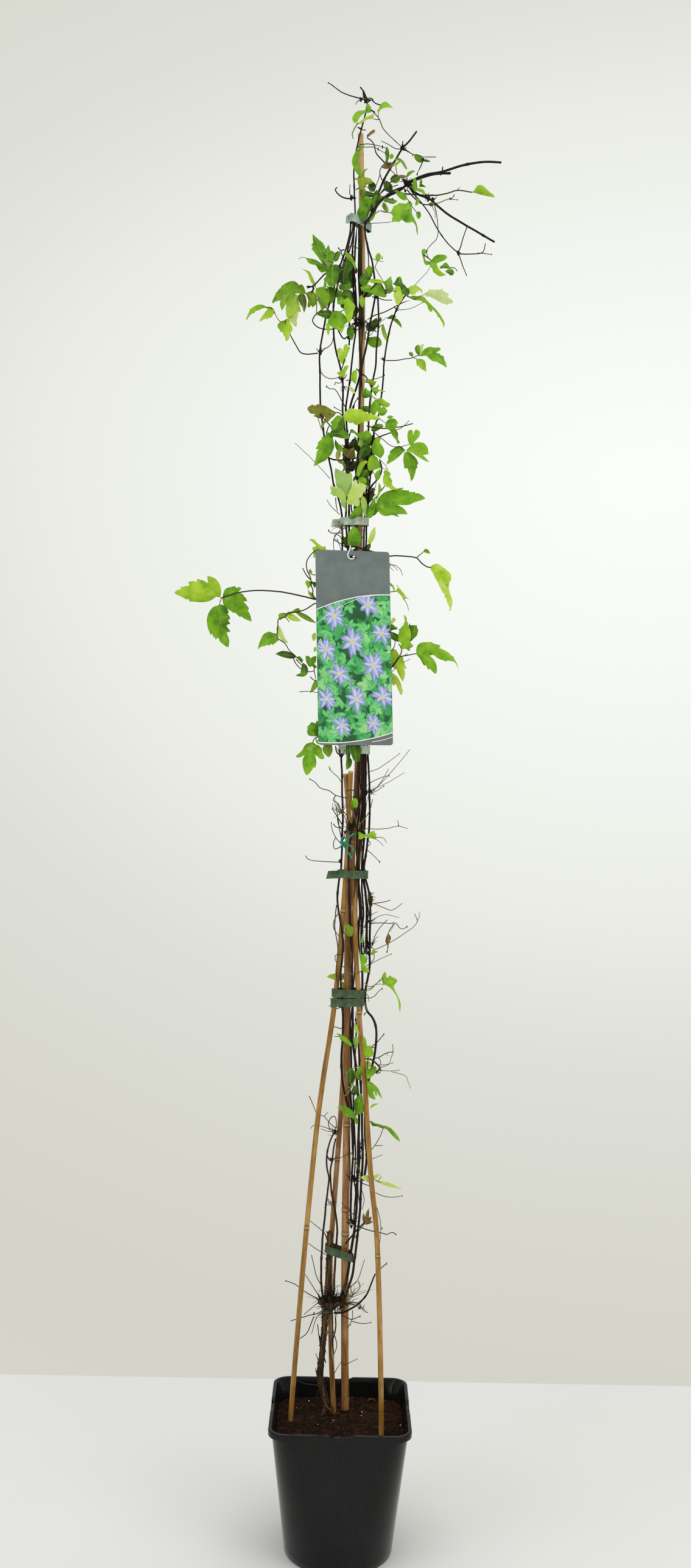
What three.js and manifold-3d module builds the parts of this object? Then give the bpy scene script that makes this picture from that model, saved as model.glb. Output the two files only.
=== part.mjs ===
// A clematis trained up bamboo canes in a square-topped nursery pot, with its ties and plant label.
// Millimetres, +Z up, origin at the centre of the pot's underside, the label facing -Y.
import * as THREE from "three";
import Module from "manifold-3d";

// ---- driving dimensions -------------------------------------------------------------------------
const POT_HEIGHT = 195;
const POT_BASE_RADIUS = 73.5;
const POT_BODY_HALF = 91;
const POT_BODY_CORNER = 30;
const POT_RIM_HALF = 95;
const POT_RIM_CORNER = 22;
const POT_RIM_DEPTH = 8;
const POT_WALL = 1.8;
const POT_FLOOR = 3;
const RIM_NOTCH_LENGTH = 29;
const RIM_NOTCH_DEPTH = 2.6;
const SOIL_TOP = 168;

const CANE_RADIUS = 3.7;
const LONG_CANE_RADII = [5.6, 3.9];
const TAPE_WIDTH = 11;
const TAPE_THICK = 0.8;
const TAPE_SLACK = 0.5;
const LABEL_WIDTH = 100.5;
const LABEL_HEIGHT = 263;
const LABEL_THICK = 0.8;
const LABEL_CORNER = 4;
const LABEL_LEAN_DEG = -2;
const LEAF_THICK = 1;
const PETIOLE_RADIUS = 0.8;
const GAP = 0.35;
const SMOOTHING = 0.12;

// Places are given on a front elevation [x, z], drawn from a viewpoint in front of the plant, with the
// depth y as a third number. Moving a point in depth keeps its place on that elevation.
const VIEW_X = -7.6;
const VIEW_Z = 1046;
const VIEW_DISTANCE = 1965;

const wasm = await Module();
wasm.setup();
const { Manifold, CrossSection } = wasm;

function at([x, z, y]) {
  const spread = 1 + y / VIEW_DISTANCE;
  return new THREE.Vector3(VIEW_X + (x - VIEW_X) * spread, y, VIEW_Z + (z - VIEW_Z) * spread);
}

// ---- solids -------------------------------------------------------------------------------------
function solidFrom(vertices, triangles) {
  const mesh = new wasm.Mesh({
    numProp: 3,
    vertProperties: new Float32Array(vertices.flat()),
    triVerts: new Uint32Array(triangles.flat()),
  });
  return new Manifold(mesh);
}

// A closed skin over rings of points: the first and the last ring are capped.
function loft(rings) {
  const count = rings[0].length;
  const vertices = rings.flat();
  const triangles = [];
  for (let level = 0; level < rings.length - 1; level++) {
    for (let i = 0; i < count; i++) {
      const a = level * count + i;
      const b = level * count + ((i + 1) % count);
      triangles.push([a, b, b + count], [a, b + count, a + count]);
    }
  }
  const last = (rings.length - 1) * count;
  for (let i = 1; i < count - 1; i++) {
    triangles.push([0, i + 1, i], [last, last + i, last + i + 1]);
  }
  return solidFrom(vertices, triangles);
}

// A round stem through points, its radius running from radii[0] to radii[1].
function tube(points, radii, sides, grow = 0) {
  const curve = new THREE.CatmullRomCurve3(points, false, "centripetal");
  const spans = points.length - 1;
  const stations = spans === 1 || spans > 7 ? spans : spans * 2;
  const tangent = curve.getTangent(0);
  const across = new THREE.Vector3(1, 0, 0);
  if (Math.abs(tangent.x) > 0.7) across.set(0, 0, 1);
  const normal = across.cross(tangent).normalize();
  const turn = new THREE.Quaternion();
  const rings = [];
  for (let s = 0; s <= stations; s++) {
    const t = s / stations;
    const ahead = curve.getTangent(t);
    normal.applyQuaternion(turn.setFromUnitVectors(tangent, ahead));
    tangent.copy(ahead);
    const binormal = tangent.clone().cross(normal);
    const reach = s === 0 ? -grow : s === stations ? grow : 0;
    const centre = curve.getPoint(t).addScaledVector(tangent, reach);
    const radius = radii[0] + (radii[1] - radii[0]) * t + grow;
    const ring = [];
    for (let i = 0; i < sides; i++) {
      const angle = (2 * Math.PI * i) / sides;
      const p = centre
        .clone()
        .addScaledVector(normal, radius * Math.cos(angle))
        .addScaledVector(binormal, radius * Math.sin(angle));
      ring.push([p.x, p.y, p.z]);
    }
    rings.push(ring);
  }
  return loft(rings);
}

// A leaf blade from its base to its tip, widest near the first third.
const BLADE_OUTLINE = [
  [0, 0.06],
  [0.2, 0.44],
  [0.45, 0.47],
  [0.8, 0.2],
  [1, 0.02],
];
function blade(base, tip, width, grow = 0) {
  const along = tip.clone().sub(base);
  const side = new THREE.Vector3(along.z, 0, -along.x).normalize();
  const face = side.clone().cross(along).normalize();
  const corners = [];
  for (const [t, half] of BLADE_OUTLINE) {
    for (const sideways of [-1, 1]) {
      for (const through of [-1, 1]) {
        const p = base
          .clone()
          .addScaledVector(along, t)
          .addScaledVector(side, sideways * (half * width + grow))
          .addScaledVector(face, through * (LEAF_THICK / 2 + grow));
        corners.push([p.x, p.y, p.z]);
      }
    }
  }
  return Manifold.hull(corners);
}

function ball([x, z, y, radius], grow) {
  const centre = at([x, z, y]);
  return Manifold.sphere(radius + grow, 12).translate([centre.x, centre.y, centre.z]);
}

function largestBody(solid) {
  return solid.decompose().sort((a, b) => b.volume() - a.volume())[0];
}

// ---- pieces -------------------------------------------------------------------------------------
const plant = new THREE.Group();
plant.name = "potted_clematis";
const built = new Map();

const FINISHES = {
  pot: { color: 0x1c1f20, roughness: 0.55 },
  soil: { color: 0x33231a, roughness: 1 },
  bamboo: { color: 0xa9803a, roughness: 0.5 },
  old_bark: { color: 0x5a3d28, roughness: 0.9 },
  stem: { color: 0x2a1d18, roughness: 0.6 },
  leaf: { color: 0x6fa52c, roughness: 0.5 },
  dark_tape: { color: 0x33503f, roughness: 0.45 },
  pale_tape: { color: 0x9db3a6, roughness: 0.4 },
  twine: { color: 0x17907a, roughness: 0.8 },
  label: { color: 0x6f7f7d, roughness: 0.35 },
  white_plastic: { color: 0xf2f2ee, roughness: 0.4 },
};

// Adds a piece. grown is the same piece GAP wider all round, which later pieces keep clear of.
function add(name, finish, solid, grown) {
  const result = solid.getMesh();
  const geometry = new THREE.BufferGeometry();
  geometry.setAttribute("position", new THREE.BufferAttribute(result.vertProperties, 3));
  geometry.setIndex(new THREE.BufferAttribute(result.triVerts, 1));
  const mesh = new THREE.Mesh(geometry, new THREE.MeshStandardMaterial({ ...FINISHES[finish],
    metalness: 0 }));
  mesh.name = name;
  plant.add(mesh);
  built.set(name, grown ?? solid);
}

// Takes every earlier piece, and its gap, out of a solid, and keeps the part that is left whole.
function clearOfBuilt(solid, except = []) {
  for (const [name, grown] of built) {
    if (!except.includes(name)) solid = solid.subtract(grown);
  }
  return largestBody(solid.simplify(SMOOTHING));
}

// ---- pot and soil -------------------------------------------------------------------------------
const CORNER_POINTS = 8;
function roundedSquare(half, corner, z) {
  const ring = [];
  for (let quarter = 0; quarter < 4; quarter++) {
    const turn = (quarter * Math.PI) / 2;
    const cx = (half - corner) * Math.SQRT2 * Math.cos(turn + Math.PI / 4);
    const cy = (half - corner) * Math.SQRT2 * Math.sin(turn + Math.PI / 4);
    for (let i = 0; i < CORNER_POINTS; i++) {
      const angle = turn + ((i + 0.5) / CORNER_POINTS) * (Math.PI / 2);
      ring.push([cx + corner * Math.cos(angle), cy + corner * Math.sin(angle), z]);
    }
  }
  return ring;
}

// The body's section at a height, round at the base and square at the top, moved in by inset.
function bodySection(z, inset) {
  const t = z / (POT_HEIGHT - POT_RIM_DEPTH);
  const half = POT_BASE_RADIUS + (POT_BODY_HALF - POT_BASE_RADIUS) * t;
  const corner = POT_BASE_RADIUS + (POT_BODY_CORNER - POT_BASE_RADIUS) * t;
  return roundedSquare(half - inset, corner - inset, z);
}

function makePot() {
  const under = POT_HEIGHT - POT_RIM_DEPTH;
  let pot = loft([
    bodySection(0, 1.5),
    bodySection(1.5, 0),
    bodySection(under, 0),
    roundedSquare(POT_RIM_HALF, POT_RIM_CORNER, under + 0.6),
    roundedSquare(POT_RIM_HALF, POT_RIM_CORNER, POT_HEIGHT - 1.2),
    roundedSquare(POT_RIM_HALF - 1.2, POT_RIM_CORNER - 1.2, POT_HEIGHT),
    roundedSquare(POT_RIM_HALF - 4.6, POT_RIM_CORNER - 1, POT_HEIGHT),
    bodySection(under, POT_WALL),
    bodySection(POT_FLOOR, POT_WALL),
  ]);
  for (let quarter = 0; quarter < 4; quarter++) {
    const notch = Manifold.cube([RIM_NOTCH_LENGTH, 12, 10], true).translate([
      0,
      POT_RIM_HALF,
      POT_HEIGHT + 5 - RIM_NOTCH_DEPTH,
    ]);
    const eye = Manifold.cube([6.5, 2.4, 30], true).translate([11, POT_RIM_HALF - 2.1, POT_HEIGHT]);
    pot = pot.subtract(notch.add(eye).rotate([0, 0, quarter * 90]));
  }
  return pot;
}

// ---- canes and stems ----------------------------------------------------------------------------
// Each route runs from the lower end to the upper end.
const CANES = {
  left_cane: {
    radii: [CANE_RADIUS, CANE_RADIUS - 0.3],
    route: [
      [-74, 80, 10], [-68, 172, 9], [-62.5, 260, 7], [-50, 440, 5], [-37.2, 590, 2], [-31.3, 640, 1],
      [-22.9, 700, 0], [-17.9, 740, -1], [-12.6, 800, -2], [-6.3, 900, -4], [-3.6, 950, -6],
      [-0.8, 1064, -6],
    ],
  },
  right_cane: {
    radii: [CANE_RADIUS, CANE_RADIUS - 0.3],
    route: [
      [59, 62, -28], [57, 156, -26], [54, 260, -23], [48.9, 380, -18], [45, 440, -16], [37.6, 500, -12],
      [29.6, 590, -8], [26, 640, -6], [21.8, 680, -4], [17.3, 720, -2], [15.2, 760, -1], [11.7, 800, 0],
      [6.7, 900, 1], [3.2, 945, 2], [-7.6, 1060, 2],
    ],
  },
  long_cane: {
    radii: LONG_CANE_RADII,
    route: [
      [7, 60, 56], [6.8, 189, 48], [5.2, 260, 39], [3.1, 400, 26], [2.2, 590, 17], [0.3, 700, 13],
      [-0.3, 780, 11], [-0.6, 880, 11.5], [3, 950, 12], [8.5, 1050, 9], [7, 1250, 6], [5, 1450, 5],
      [4.5, 1650, 4], [2, 1800, 3], [-2.5, 1937, 3],
    ],
  },
  middle_cane: {
    radii: [CANE_RADIUS + 0.1, CANE_RADIUS - 0.2],
    route: [
      [-6, 60, 41], [-9, 185, 39], [-13.2, 260, 37], [-16, 340, 34.5], [-17.2, 400, 33], [-14.6, 450, 32],
      [-11.6, 500, 31], [-6.5, 590, 28.5], [-2, 680, 25], [1.5, 755, 21.5], [11, 930, 21.5],
      [16.5, 1010, 20], [18, 1085, 18],
    ],
  },
};

const STEMS = {
  left_short_stems: {
    radii: [1.6, 1.1],
    route: [
      [-11, 352, 22], [-11, 380, 23], [-8.8, 421, 24], [-8.2, 435, 24], [-10.3, 455, 25.5],
      [-16, 480, 25.5], [-18.2, 500, 24.5], [-18.8, 519, 24], [-16.4, 532, 24], [-15, 548, 23.5],
      [-12.6, 560, 22.5],
    ],
    branches: [
      [[-27.5, 349, 23], [-29.2, 372, 22], [-28.3, 420, 22], [-25.8, 449, 23], [-23, 484, 24],
        [-20.9, 505, 24], [-23.7, 520, 24], [-24, 540, 24], [-19.5, 558, 23], [-14, 570, 22]],
      [[-24, 537, 24], [-20.4, 530, 24], [-17, 530, 24]],
    ],
  },
  side_runner_stem: {
    radii: [1.4, 1],
    route: [
      [-11, 321, 21], [2.2, 322, 19], [11.8, 327, 15], [22, 334, 8], [29.4, 341.5, 2], [34.5, 349, -3],
      [38.2, 358.3, -8], [44.2, 374.4, -13],
    ],
  },
  left_leader_stem: {
    radii: [1.5, 1.2],
    route: [
      [10.4, 447, 14], [9.4, 480, 13], [9.9, 500, 12], [11.8, 545, 10], [10.8, 580, 9], [5.3, 600, 8],
      [-1, 620, 7], [-6, 650, 6.5], [-6.5, 670, 6], [-5.5, 720, 3], [-7, 745, 0], [-9, 770, -5.5],
      [-9.2, 790, -8], [-7.4, 810, -8.6], [-6.9, 830, -9.2], [-10.9, 855, -9.4], [-13.9, 872, -7],
      [-15.8, 890, -5], [-14.6, 908, -6], [-11.9, 930, -8], [-11, 970, -8], [-10.6, 1000, -8],
      [-11.8, 1030, -8], [-12.7, 1060, -8], [-15, 1095, -8], [-16.5, 1200, -7], [-17, 1300, -6],
      [-17.5, 1380, -5], [-18.5, 1408, -5], [-21.9, 1430, -5], [-30.4, 1455, -5], [-35.5, 1480, -5],
      [-44.8, 1520, -5], [-50.3, 1560, -5], [-52.3, 1600, -5], [-53, 1636, -5], [-48.3, 1670, -5],
      [-44.7, 1690, -5], [-38.5, 1712, -6], [-31, 1745, -7], [-21, 1775, -7], [-14.5, 1800, -6],
      [-13.6, 1826, -6],
    ],
  },
  second_stem: {
    radii: [1.9, 1.2],
    route: [
      [1, 347, 18.5], [6.2, 370, 16], [10.4, 402, 14], [14.8, 432, 12], [17.4, 462, 10], [18.3, 500, 8],
      [19.4, 524, 6], [18.6, 560, 5], [18.5, 600, 4], [14.8, 640, 4], [13.2, 660, 4], [8.8, 690, 3],
      [7.6, 730, 2], [6.2, 780, 1], [4.6, 820, -1], [1.4, 870, -4], [-0.4, 905, -10.5], [-1.5, 935, -13],
      [-0.5, 960, -13.5], [3, 987, -13], [8, 1003, -11], [13, 1024, -8], [14.6, 1045, -6],
      [13.8, 1075, -6], [13, 1095, -6], [4, 1200, -10], [-6, 1300, -10], [-11, 1380, -10],
      [-13.5, 1408, -10], [-13.2, 1450, -10], [-14.7, 1495, -10], [-17, 1530, -10], [-20.8, 1562, -10],
      [-20.3, 1582, -10], [-22, 1604, -10], [-26.7, 1625, -10], [-31.5, 1641, -10], [-34.6, 1662, -10],
      [-36.2, 1682, -11], [-35.2, 1702, -12], [-31.5, 1724, -12], [-26, 1748, -12], [-18.5, 1772, -12],
      [-15.6, 1788, -11], [-11, 1806, -11.5], [-10, 1824, -11.5],
    ],
  },
  centre_leader_stem: {
    radii: [1.7, 1],
    route: [
      [26.4, 822, 1], [25, 845, 1], [24.6, 875, 1], [22.3, 898, 1], [18.8, 915, 2.5], [17, 930, 3],
      [17.6, 950, 2], [19, 975, 1], [19.5, 1005, 0], [20, 1040, 0], [18.6, 1090, 0], [8, 1200, -3],
      [-3, 1300, -5], [-9, 1400, -4], [-9.2, 1450, -4], [-11, 1490, -4], [-14, 1530, -4],
      [-16, 1558, -4], [-13.9, 1580, -4], [-11, 1602, -4], [-7.5, 1640, -4], [-4.8, 1662, -4],
      [-4.6, 1682, -4], [-5.4, 1705, -4], [-9.8, 1740, -4], [-10.6, 1774, -3.5], [-9.2, 1802, -2],
      [-8, 1825, -2], [-9.2, 1850, -2], [-10.3, 1870, -2], [-10.7, 1890, -2], [-9.4, 1905, -2],
      [-6.8, 1920, -5], [-2.5, 1940, -5], [2.5, 1960, -2], [5.8, 1974, 0], [4.6, 1985, 0],
      [0.5, 1995, 0], [-4, 2001, 0],
    ],
  },
  front_stems: {
    radii: [1.5, 1.2],
    route: [
      [12.6, 1096, -2], [11, 1200, -5], [4, 1300, -8], [1, 1400, -8], [1.2, 1440, -9], [2, 1500, -10],
      [2.5, 1560, -10], [3, 1590, -10], [3.6, 1612, -8.6], [2.4, 1632, -9.6], [1.2, 1652, -10],
      [0.2, 1670, -9.5], [0.4, 1700, -9], [-0.4, 1740, -9], [-2, 1775, -9], [-2.6, 1800, -8],
      [-1.8, 1824, -8],
    ],
    branches: [
      [[-12.2, 1552, -1], [-9, 1569, -3], [-1.9, 1590, -5], [3.8, 1612, -7], [7.1, 1630, -6.5],
        [11.3, 1650, -6], [15.6, 1680, -6], [18.8, 1700, -6], [21.6, 1718, -6], [20, 1740, -6],
        [16.4, 1762, -6], [10.8, 1780, -6], [6.4, 1800, -6], [5.4, 1824, -6]],
    ],
    joints: [[3.7, 1612, -7.8, 2.6]],
  },
  right_inner_stem: {
    radii: [1.7, 1.2],
    route: [
      [5, 345, 14], [12.6, 370, 11], [16.6, 400, 9], [20, 430, 6], [22.4, 465, 4], [23.5, 500, 3],
      [25, 530, 2], [24.3, 555, 2], [22.8, 590, 2], [20.1, 640, 4], [17.3, 690, 7], [18.5, 720, 7],
      [20.2, 748, 5.5], [20.4, 775, 4], [19.8, 800, 3], [17.6, 830, 3], [17.3, 860, 3],
      [16.6, 880, 2.5], [13.9, 900, 1], [12.3, 918, -1.5], [12, 935, -4], [13, 955, -5], [15, 980, -5],
      [17, 1010, -4], [17.6, 1040, -4], [16.6, 1090, -4], [14, 1200, -2], [12, 1300, -2],
      [12, 1400, -2], [14, 1450, -3], [15.6, 1510, -3], [15.8, 1555, -3], [17.7, 1580, -2],
      [20.6, 1600, -1], [23.5, 1620, -1], [24, 1640, -1], [25.7, 1660, -1], [26.6, 1680, -1],
      [26.2, 1700, -1.5], [24.9, 1716, -2],
    ],
  },
  right_outer_stem: {
    radii: [1.7, 1.1],
    route: [
      [26.8, 503, 0], [29.4, 520, 1], [29.9, 540, 2], [27.6, 565, 3], [27.2, 590, 3.5], [28, 620, 4],
      [31.4, 640, 4], [35.7, 660, 3], [38.6, 675, 3], [40.5, 692, 3], [40.5, 708, 2], [38.6, 719, 2],
      [34.2, 728, 4], [27.9, 735, 7], [24.6, 745, 9], [24.2, 756, 9], [25, 767, 6], [27.5, 781, 1],
      [29.9, 798, -2], [29.6, 818, -2], [29.6, 850, -2], [29.3, 880, -2], [26.5, 900, -1],
      [22.6, 915, -1], [20, 928, -2], [21.4, 944, -2], [23.7, 962, -2], [25.6, 985, -2],
      [26, 1005, -2], [25.4, 1030, -2], [24.8, 1050, -2], [22.3, 1088, -2], [20, 1200, 0],
      [16, 1300, 2], [15, 1400, 3], [17, 1440, 3], [19.2, 1472, 3], [21.4, 1515, 3], [24, 1535, 3],
      [28.6, 1552, 3], [32, 1576, 3], [34.2, 1600, 3], [35.5, 1625, 3], [38.4, 1650, 3],
      [42, 1670, 3], [48.4, 1690, 3], [51.6, 1699, 3], [58, 1710, 3], [63.5, 1718, 3],
    ],
  },
  right_top_branches: {
    radii: [1.8, 1.5],
    route: [
      [10.4, 1802, 4], [12.4, 1824, 3], [22.6, 1840, 2], [32, 1850, 1], [51.3, 1860, 0],
      [63.6, 1870, -1], [77.9, 1877, 0], [99.5, 1883.6, 0], [122, 1885.4, 0],
    ],
    branches: [
      [[64, 1872, -2], [88, 1882.4, -4.6], [109.7, 1887, -5], [135.4, 1895.6, -5.5],
        [155.9, 1900.2, -6], [172.3, 1901.8, -7], [191, 1901.2, -8]],
      [[63, 1868, -2], [75.9, 1856.4, -6], [94.4, 1849.2, -8], [104.6, 1840.3, -9], [122, 1827, -11],
        [143.6, 1814.6, -14], [183.6, 1792, -20]],
      [[63, 1868, 0], [73.8, 1853.6, 5], [84, 1842.3, 6], [94.4, 1828, 8], [104.6, 1809.5, 10],
        [116.9, 1792, 12], [126.5, 1782.5, 13], [134.4, 1776, 14]],
    ],
    joints: [[63.6, 1870, -1, 3.6]],
  },
  rising_top_branch: {
    radii: [1.6, 1.2],
    route: [
      [13.6, 1831, -1], [18.6, 1846, -3.5], [22.6, 1855.6, -5], [34.9, 1883.3, -6], [43, 1896.7, -6],
      [55.4, 1918.2, -6], [65.6, 1929.5, -7], [74.3, 1941.8, -8],
    ],
    branches: [
      [[7.6, 1974, -3], [16.4, 1965.4, -4], [22.6, 1958, -5], [27.7, 1945.9, -6], [39, 1933.6, -7],
        [55, 1919.5, -6]],
    ],
    joints: [[55, 1919, -6, 2.6]],
  },
};

const CANE_SIDES = 10;
const STEM_SIDES = 5;
const STALK_SIDES = 4;
function makeStem(stem, grow) {
  let solid = tube(stem.route.map(at), stem.radii, STEM_SIDES, grow);
  for (const branch of stem.branches ?? []) {
    solid = solid.add(tube(branch.map(at), stem.radii, STEM_SIDES, grow));
  }
  for (const joint of stem.joints ?? []) solid = solid.add(ball(joint, grow));
  return solid;
}

// The old woody foot of the plant: a leaning trunk with two roots at its base and the knots of old buds
// that the shoots break from.
const OLD_WOOD = {
  trunk: { radii: [4.6, 3.9], route: [[-19, 198, 36], [-28.4, 232, 33], [-26.2, 262, 30], [-23.6, 302, 26],
    [-21, 345, 23], [-19, 400, 21.5], [-18.6, 432, 21.5]] },
  outer_root: { radii: [2, 1.6], route: [[-23, 208, 34], [-22, 194, 31], [-24.5, 178, 26]] },
  inner_root: { radii: [2.4, 1.6], route: [[-20, 200, 34], [-17, 190, 31], [-11.5, 179, 27]] },
  knots: [[-26, 336, 23, 7], [-17, 332, 20, 7.5], [-9, 335, 19, 6], [-2, 334, 17, 4.5]],
};

function makeOldWood(grow) {
  let wood = tube(OLD_WOOD.trunk.route.map(at), OLD_WOOD.trunk.radii, 8, grow);
  for (const root of [OLD_WOOD.outer_root, OLD_WOOD.inner_root]) {
    wood = wood.add(tube(root.route.map(at), root.radii, 6, grow));
  }
  for (const knot of OLD_WOOD.knots) wood = wood.add(ball(knot, grow));
  return wood;
}

// ---- ties, twine and label ----------------------------------------------------------------------
// Each tape goes round the canes and stems it names, at a height on the elevation. rise is how much the
// tape climbs from left to right, and flap is the length of its loose end, to the left.
const TAPES = {
  foot_tie: { finish: "dark_tape", z: 316, rise: 0, flap: 0, around: ["old_wood", "middle_cane"] },
  lower_tie: {
    finish: "dark_tape", z: 395, rise: -0.24, flap: 0,
    around: ["old_wood", "middle_cane", "long_cane", "left_short_stems", "second_stem"],
  },
  double_tie: {
    finish: "dark_tape", z: 747, rise: 0, flap: 0, secondTurn: 13,
    around: ["left_cane", "right_cane", "long_cane", "middle_cane", "left_leader_stem", "second_stem",
      "right_inner_stem"],
  },
  middle_tie: {
    finish: "dark_tape", z: 923.5, rise: -0.06, flap: 15,
    around: ["left_cane", "right_cane", "long_cane", "middle_cane", "left_leader_stem", "second_stem",
      "centre_leader_stem", "right_inner_stem", "right_outer_stem"],
  },
  label_foot_tie: {
    finish: "pale_tape", z: 1093, rise: 0, flap: 0,
    around: ["long_cane", "left_leader_stem", "second_stem", "centre_leader_stem", "front_stems",
      "right_inner_stem", "right_outer_stem"],
  },
  upper_tie: {
    finish: "pale_tape", z: 1405, rise: 0.06, flap: 11,
    around: ["long_cane", "left_leader_stem", "second_stem", "centre_leader_stem", "front_stems",
      "right_inner_stem", "right_outer_stem"],
  },
  top_tie: {
    finish: "pale_tape", z: 1812, rise: -0.25, flap: 4,
    around: ["long_cane", "left_leader_stem", "second_stem", "centre_leader_stem", "front_stems",
      "right_top_branches"],
  },
};

const CURVE_STEPS = 400;
const RUNS = { ...CANES, ...STEMS, old_wood: OLD_WOOD.trunk };
function sectionPoints(run, low, high) {
  const curve = new THREE.CatmullRomCurve3(run.route.map(at), false, "centripetal");
  const found = [];
  for (const [step, p] of curve.getPoints(CURVE_STEPS).entries()) {
    if (p.z < low || p.z > high) continue;
    const radius = THREE.MathUtils.lerp(...run.radii, step / CURVE_STEPS) + TAPE_SLACK;
    for (let i = 0; i < 12; i++) {
      const angle = (2 * Math.PI * i) / 12;
      found.push([p.x + radius * Math.cos(angle), p.y + radius * Math.sin(angle)]);
    }
  }
  return found;
}

function makeTape(tape, grow) {
  const z = at([0, tape.z, 0]).z;
  const reach = TAPE_WIDTH / 2 + 2 + Math.abs(tape.rise) * 8;
  const bundle = CrossSection.hull(
    tape.around.flatMap((name) => sectionPoints(RUNS[name], z - reach, z + reach)),
  ).simplify(0.4);
  const outside = bundle.offset(TAPE_THICK + grow, "Round", 2, 16);
  const skin = outside.subtract(bundle.offset(-grow, "Round", 2, 16));
  const height = TAPE_WIDTH + 2 * grow;
  let band = skin.extrude(height, 0, 0, [1, 1], true);
  if (tape.secondTurn) {
    const left = bundle.bounds().min[0];
    const crossing = skin
      .extrude(tape.secondTurn + height, 0, 0, [1, 1], true)
      .intersect(Manifold.cube([26, 200, 60], true).translate([left + 4, 0, 0]))
      .translate([0, 0, tape.secondTurn / 2]);
    band = band.add(band.translate([0, 0, tape.secondTurn])).add(crossing);
  }
  if (tape.flap) {
    const [x, y] = bundle.toPolygons()[0].reduce((a, b) => (b[0] < a[0] ? b : a));
    const loose = Manifold.cube([tape.flap + 2 * grow, TAPE_THICK + 2 * grow, height], true);
    band = band.add(loose.translate([x - TAPE_THICK / 2 - tape.flap / 2, y, -1.5]));
  }
  return band.transform([1, 0, tape.rise, 0, 0, 1, 0, 0, 0, 0, 1, 0, 0, 0, z, 1]);
}

// Green twine tied round the two short canes where they cross, with a bow in front.
const TWINE_RADIUS = 1.1;
const TWINE = {
  loop: [[-9, 963, -12.5], [-12.5, 966, -4], [-9, 971, 5.6], [0, 976, 7.6], [7.5, 978, 3], [6.5, 978, -8],
    [3, 977, -16.4], [-3, 971, -16.8]],
  ends: [[[-8.6, 962.5, -14], [-4, 953, -16.8], [2, 944, -17.5]], [[-8.6, 963.5, -14], [-2, 962, -18],
    [4, 955.5, -18]]],
  knot: [-8.4, 963, -14.2, 3],
};

function makeTwine(grow) {
  const radius = TWINE_RADIUS;
  const corners = TWINE.loop.map(at);
  corners.push(corners[0].clone());
  let twine = tube(corners, [radius, radius], 6, grow);
  for (const end of TWINE.ends) {
    twine = twine.add(tube(end.map(at), [radius, radius], 6, grow));
  }
  return twine.add(ball(TWINE.knot, grow));
}

// The label hangs by a white wire hook that goes through its hole, over its top edge and over a leaf stalk.
const LABEL_CENTRE = [0.8, 1232.8, -25];
const LABEL_HOLE = { centre: [-2.6, 1358.2], width: 9, height: 4.8 };
const HOOK_RADIUS = 0.9;
const HOOK_FRONT = [
  [-6.2, 1374, -17], [-6.6, 1372, -21.5], [-7.2, 1367.4, -27.4], [-9.4, 1361.4, -27.4], [-9.6, 1358, -27.4],
  [-7.4, 1355.2, -27.4], [-3.6, 1354.8, -27.4], [-1.4, 1356.4, -26.8], [-1.2, 1358.2, -23],
];
const HOOK_BACK = [
  [-1.2, 1358.2, -24], [-1.6, 1359.4, -21.6], [-4, 1365, -16], [-5.6, 1370, -13.6], [-6.2, 1374, -17.5],
];

function makeLabel(grow) {
  const centre = at(LABEL_CENTRE);
  const card = CrossSection.square([LABEL_WIDTH - 2 * LABEL_CORNER, LABEL_HEIGHT - 2 * LABEL_CORNER], true)
    .offset(LABEL_CORNER + grow, "Round", 2, 24)
    .extrude(LABEL_THICK + 2 * grow, 0, 0, [1, 1], true)
    .rotate([90, 0, 0])
    .rotate([0, LABEL_LEAN_DEG, 0])
    .translate([centre.x, centre.y, centre.z]);
  const hole = at([...LABEL_HOLE.centre, LABEL_CENTRE[2]]);
  const end = LABEL_HOLE.height / 2;
  const cutter = CrossSection.square([LABEL_HOLE.width - 2 * end, 0.02], true)
    .offset(end - grow, "Round", 2, 16)
    .extrude(20, 0, 0, [1, 1], true)
    .rotate([90, 0, 0])
    .translate([hole.x, centre.y, hole.z]);
  return card.subtract(cutter);
}

function makeHook(grow) {
  const front = tube(HOOK_FRONT.map(at), [HOOK_RADIUS, HOOK_RADIUS], 6, grow);
  return front.add(tube(HOOK_BACK.map(at), [HOOK_RADIUS, HOOK_RADIUS], 6, grow));
}

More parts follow.
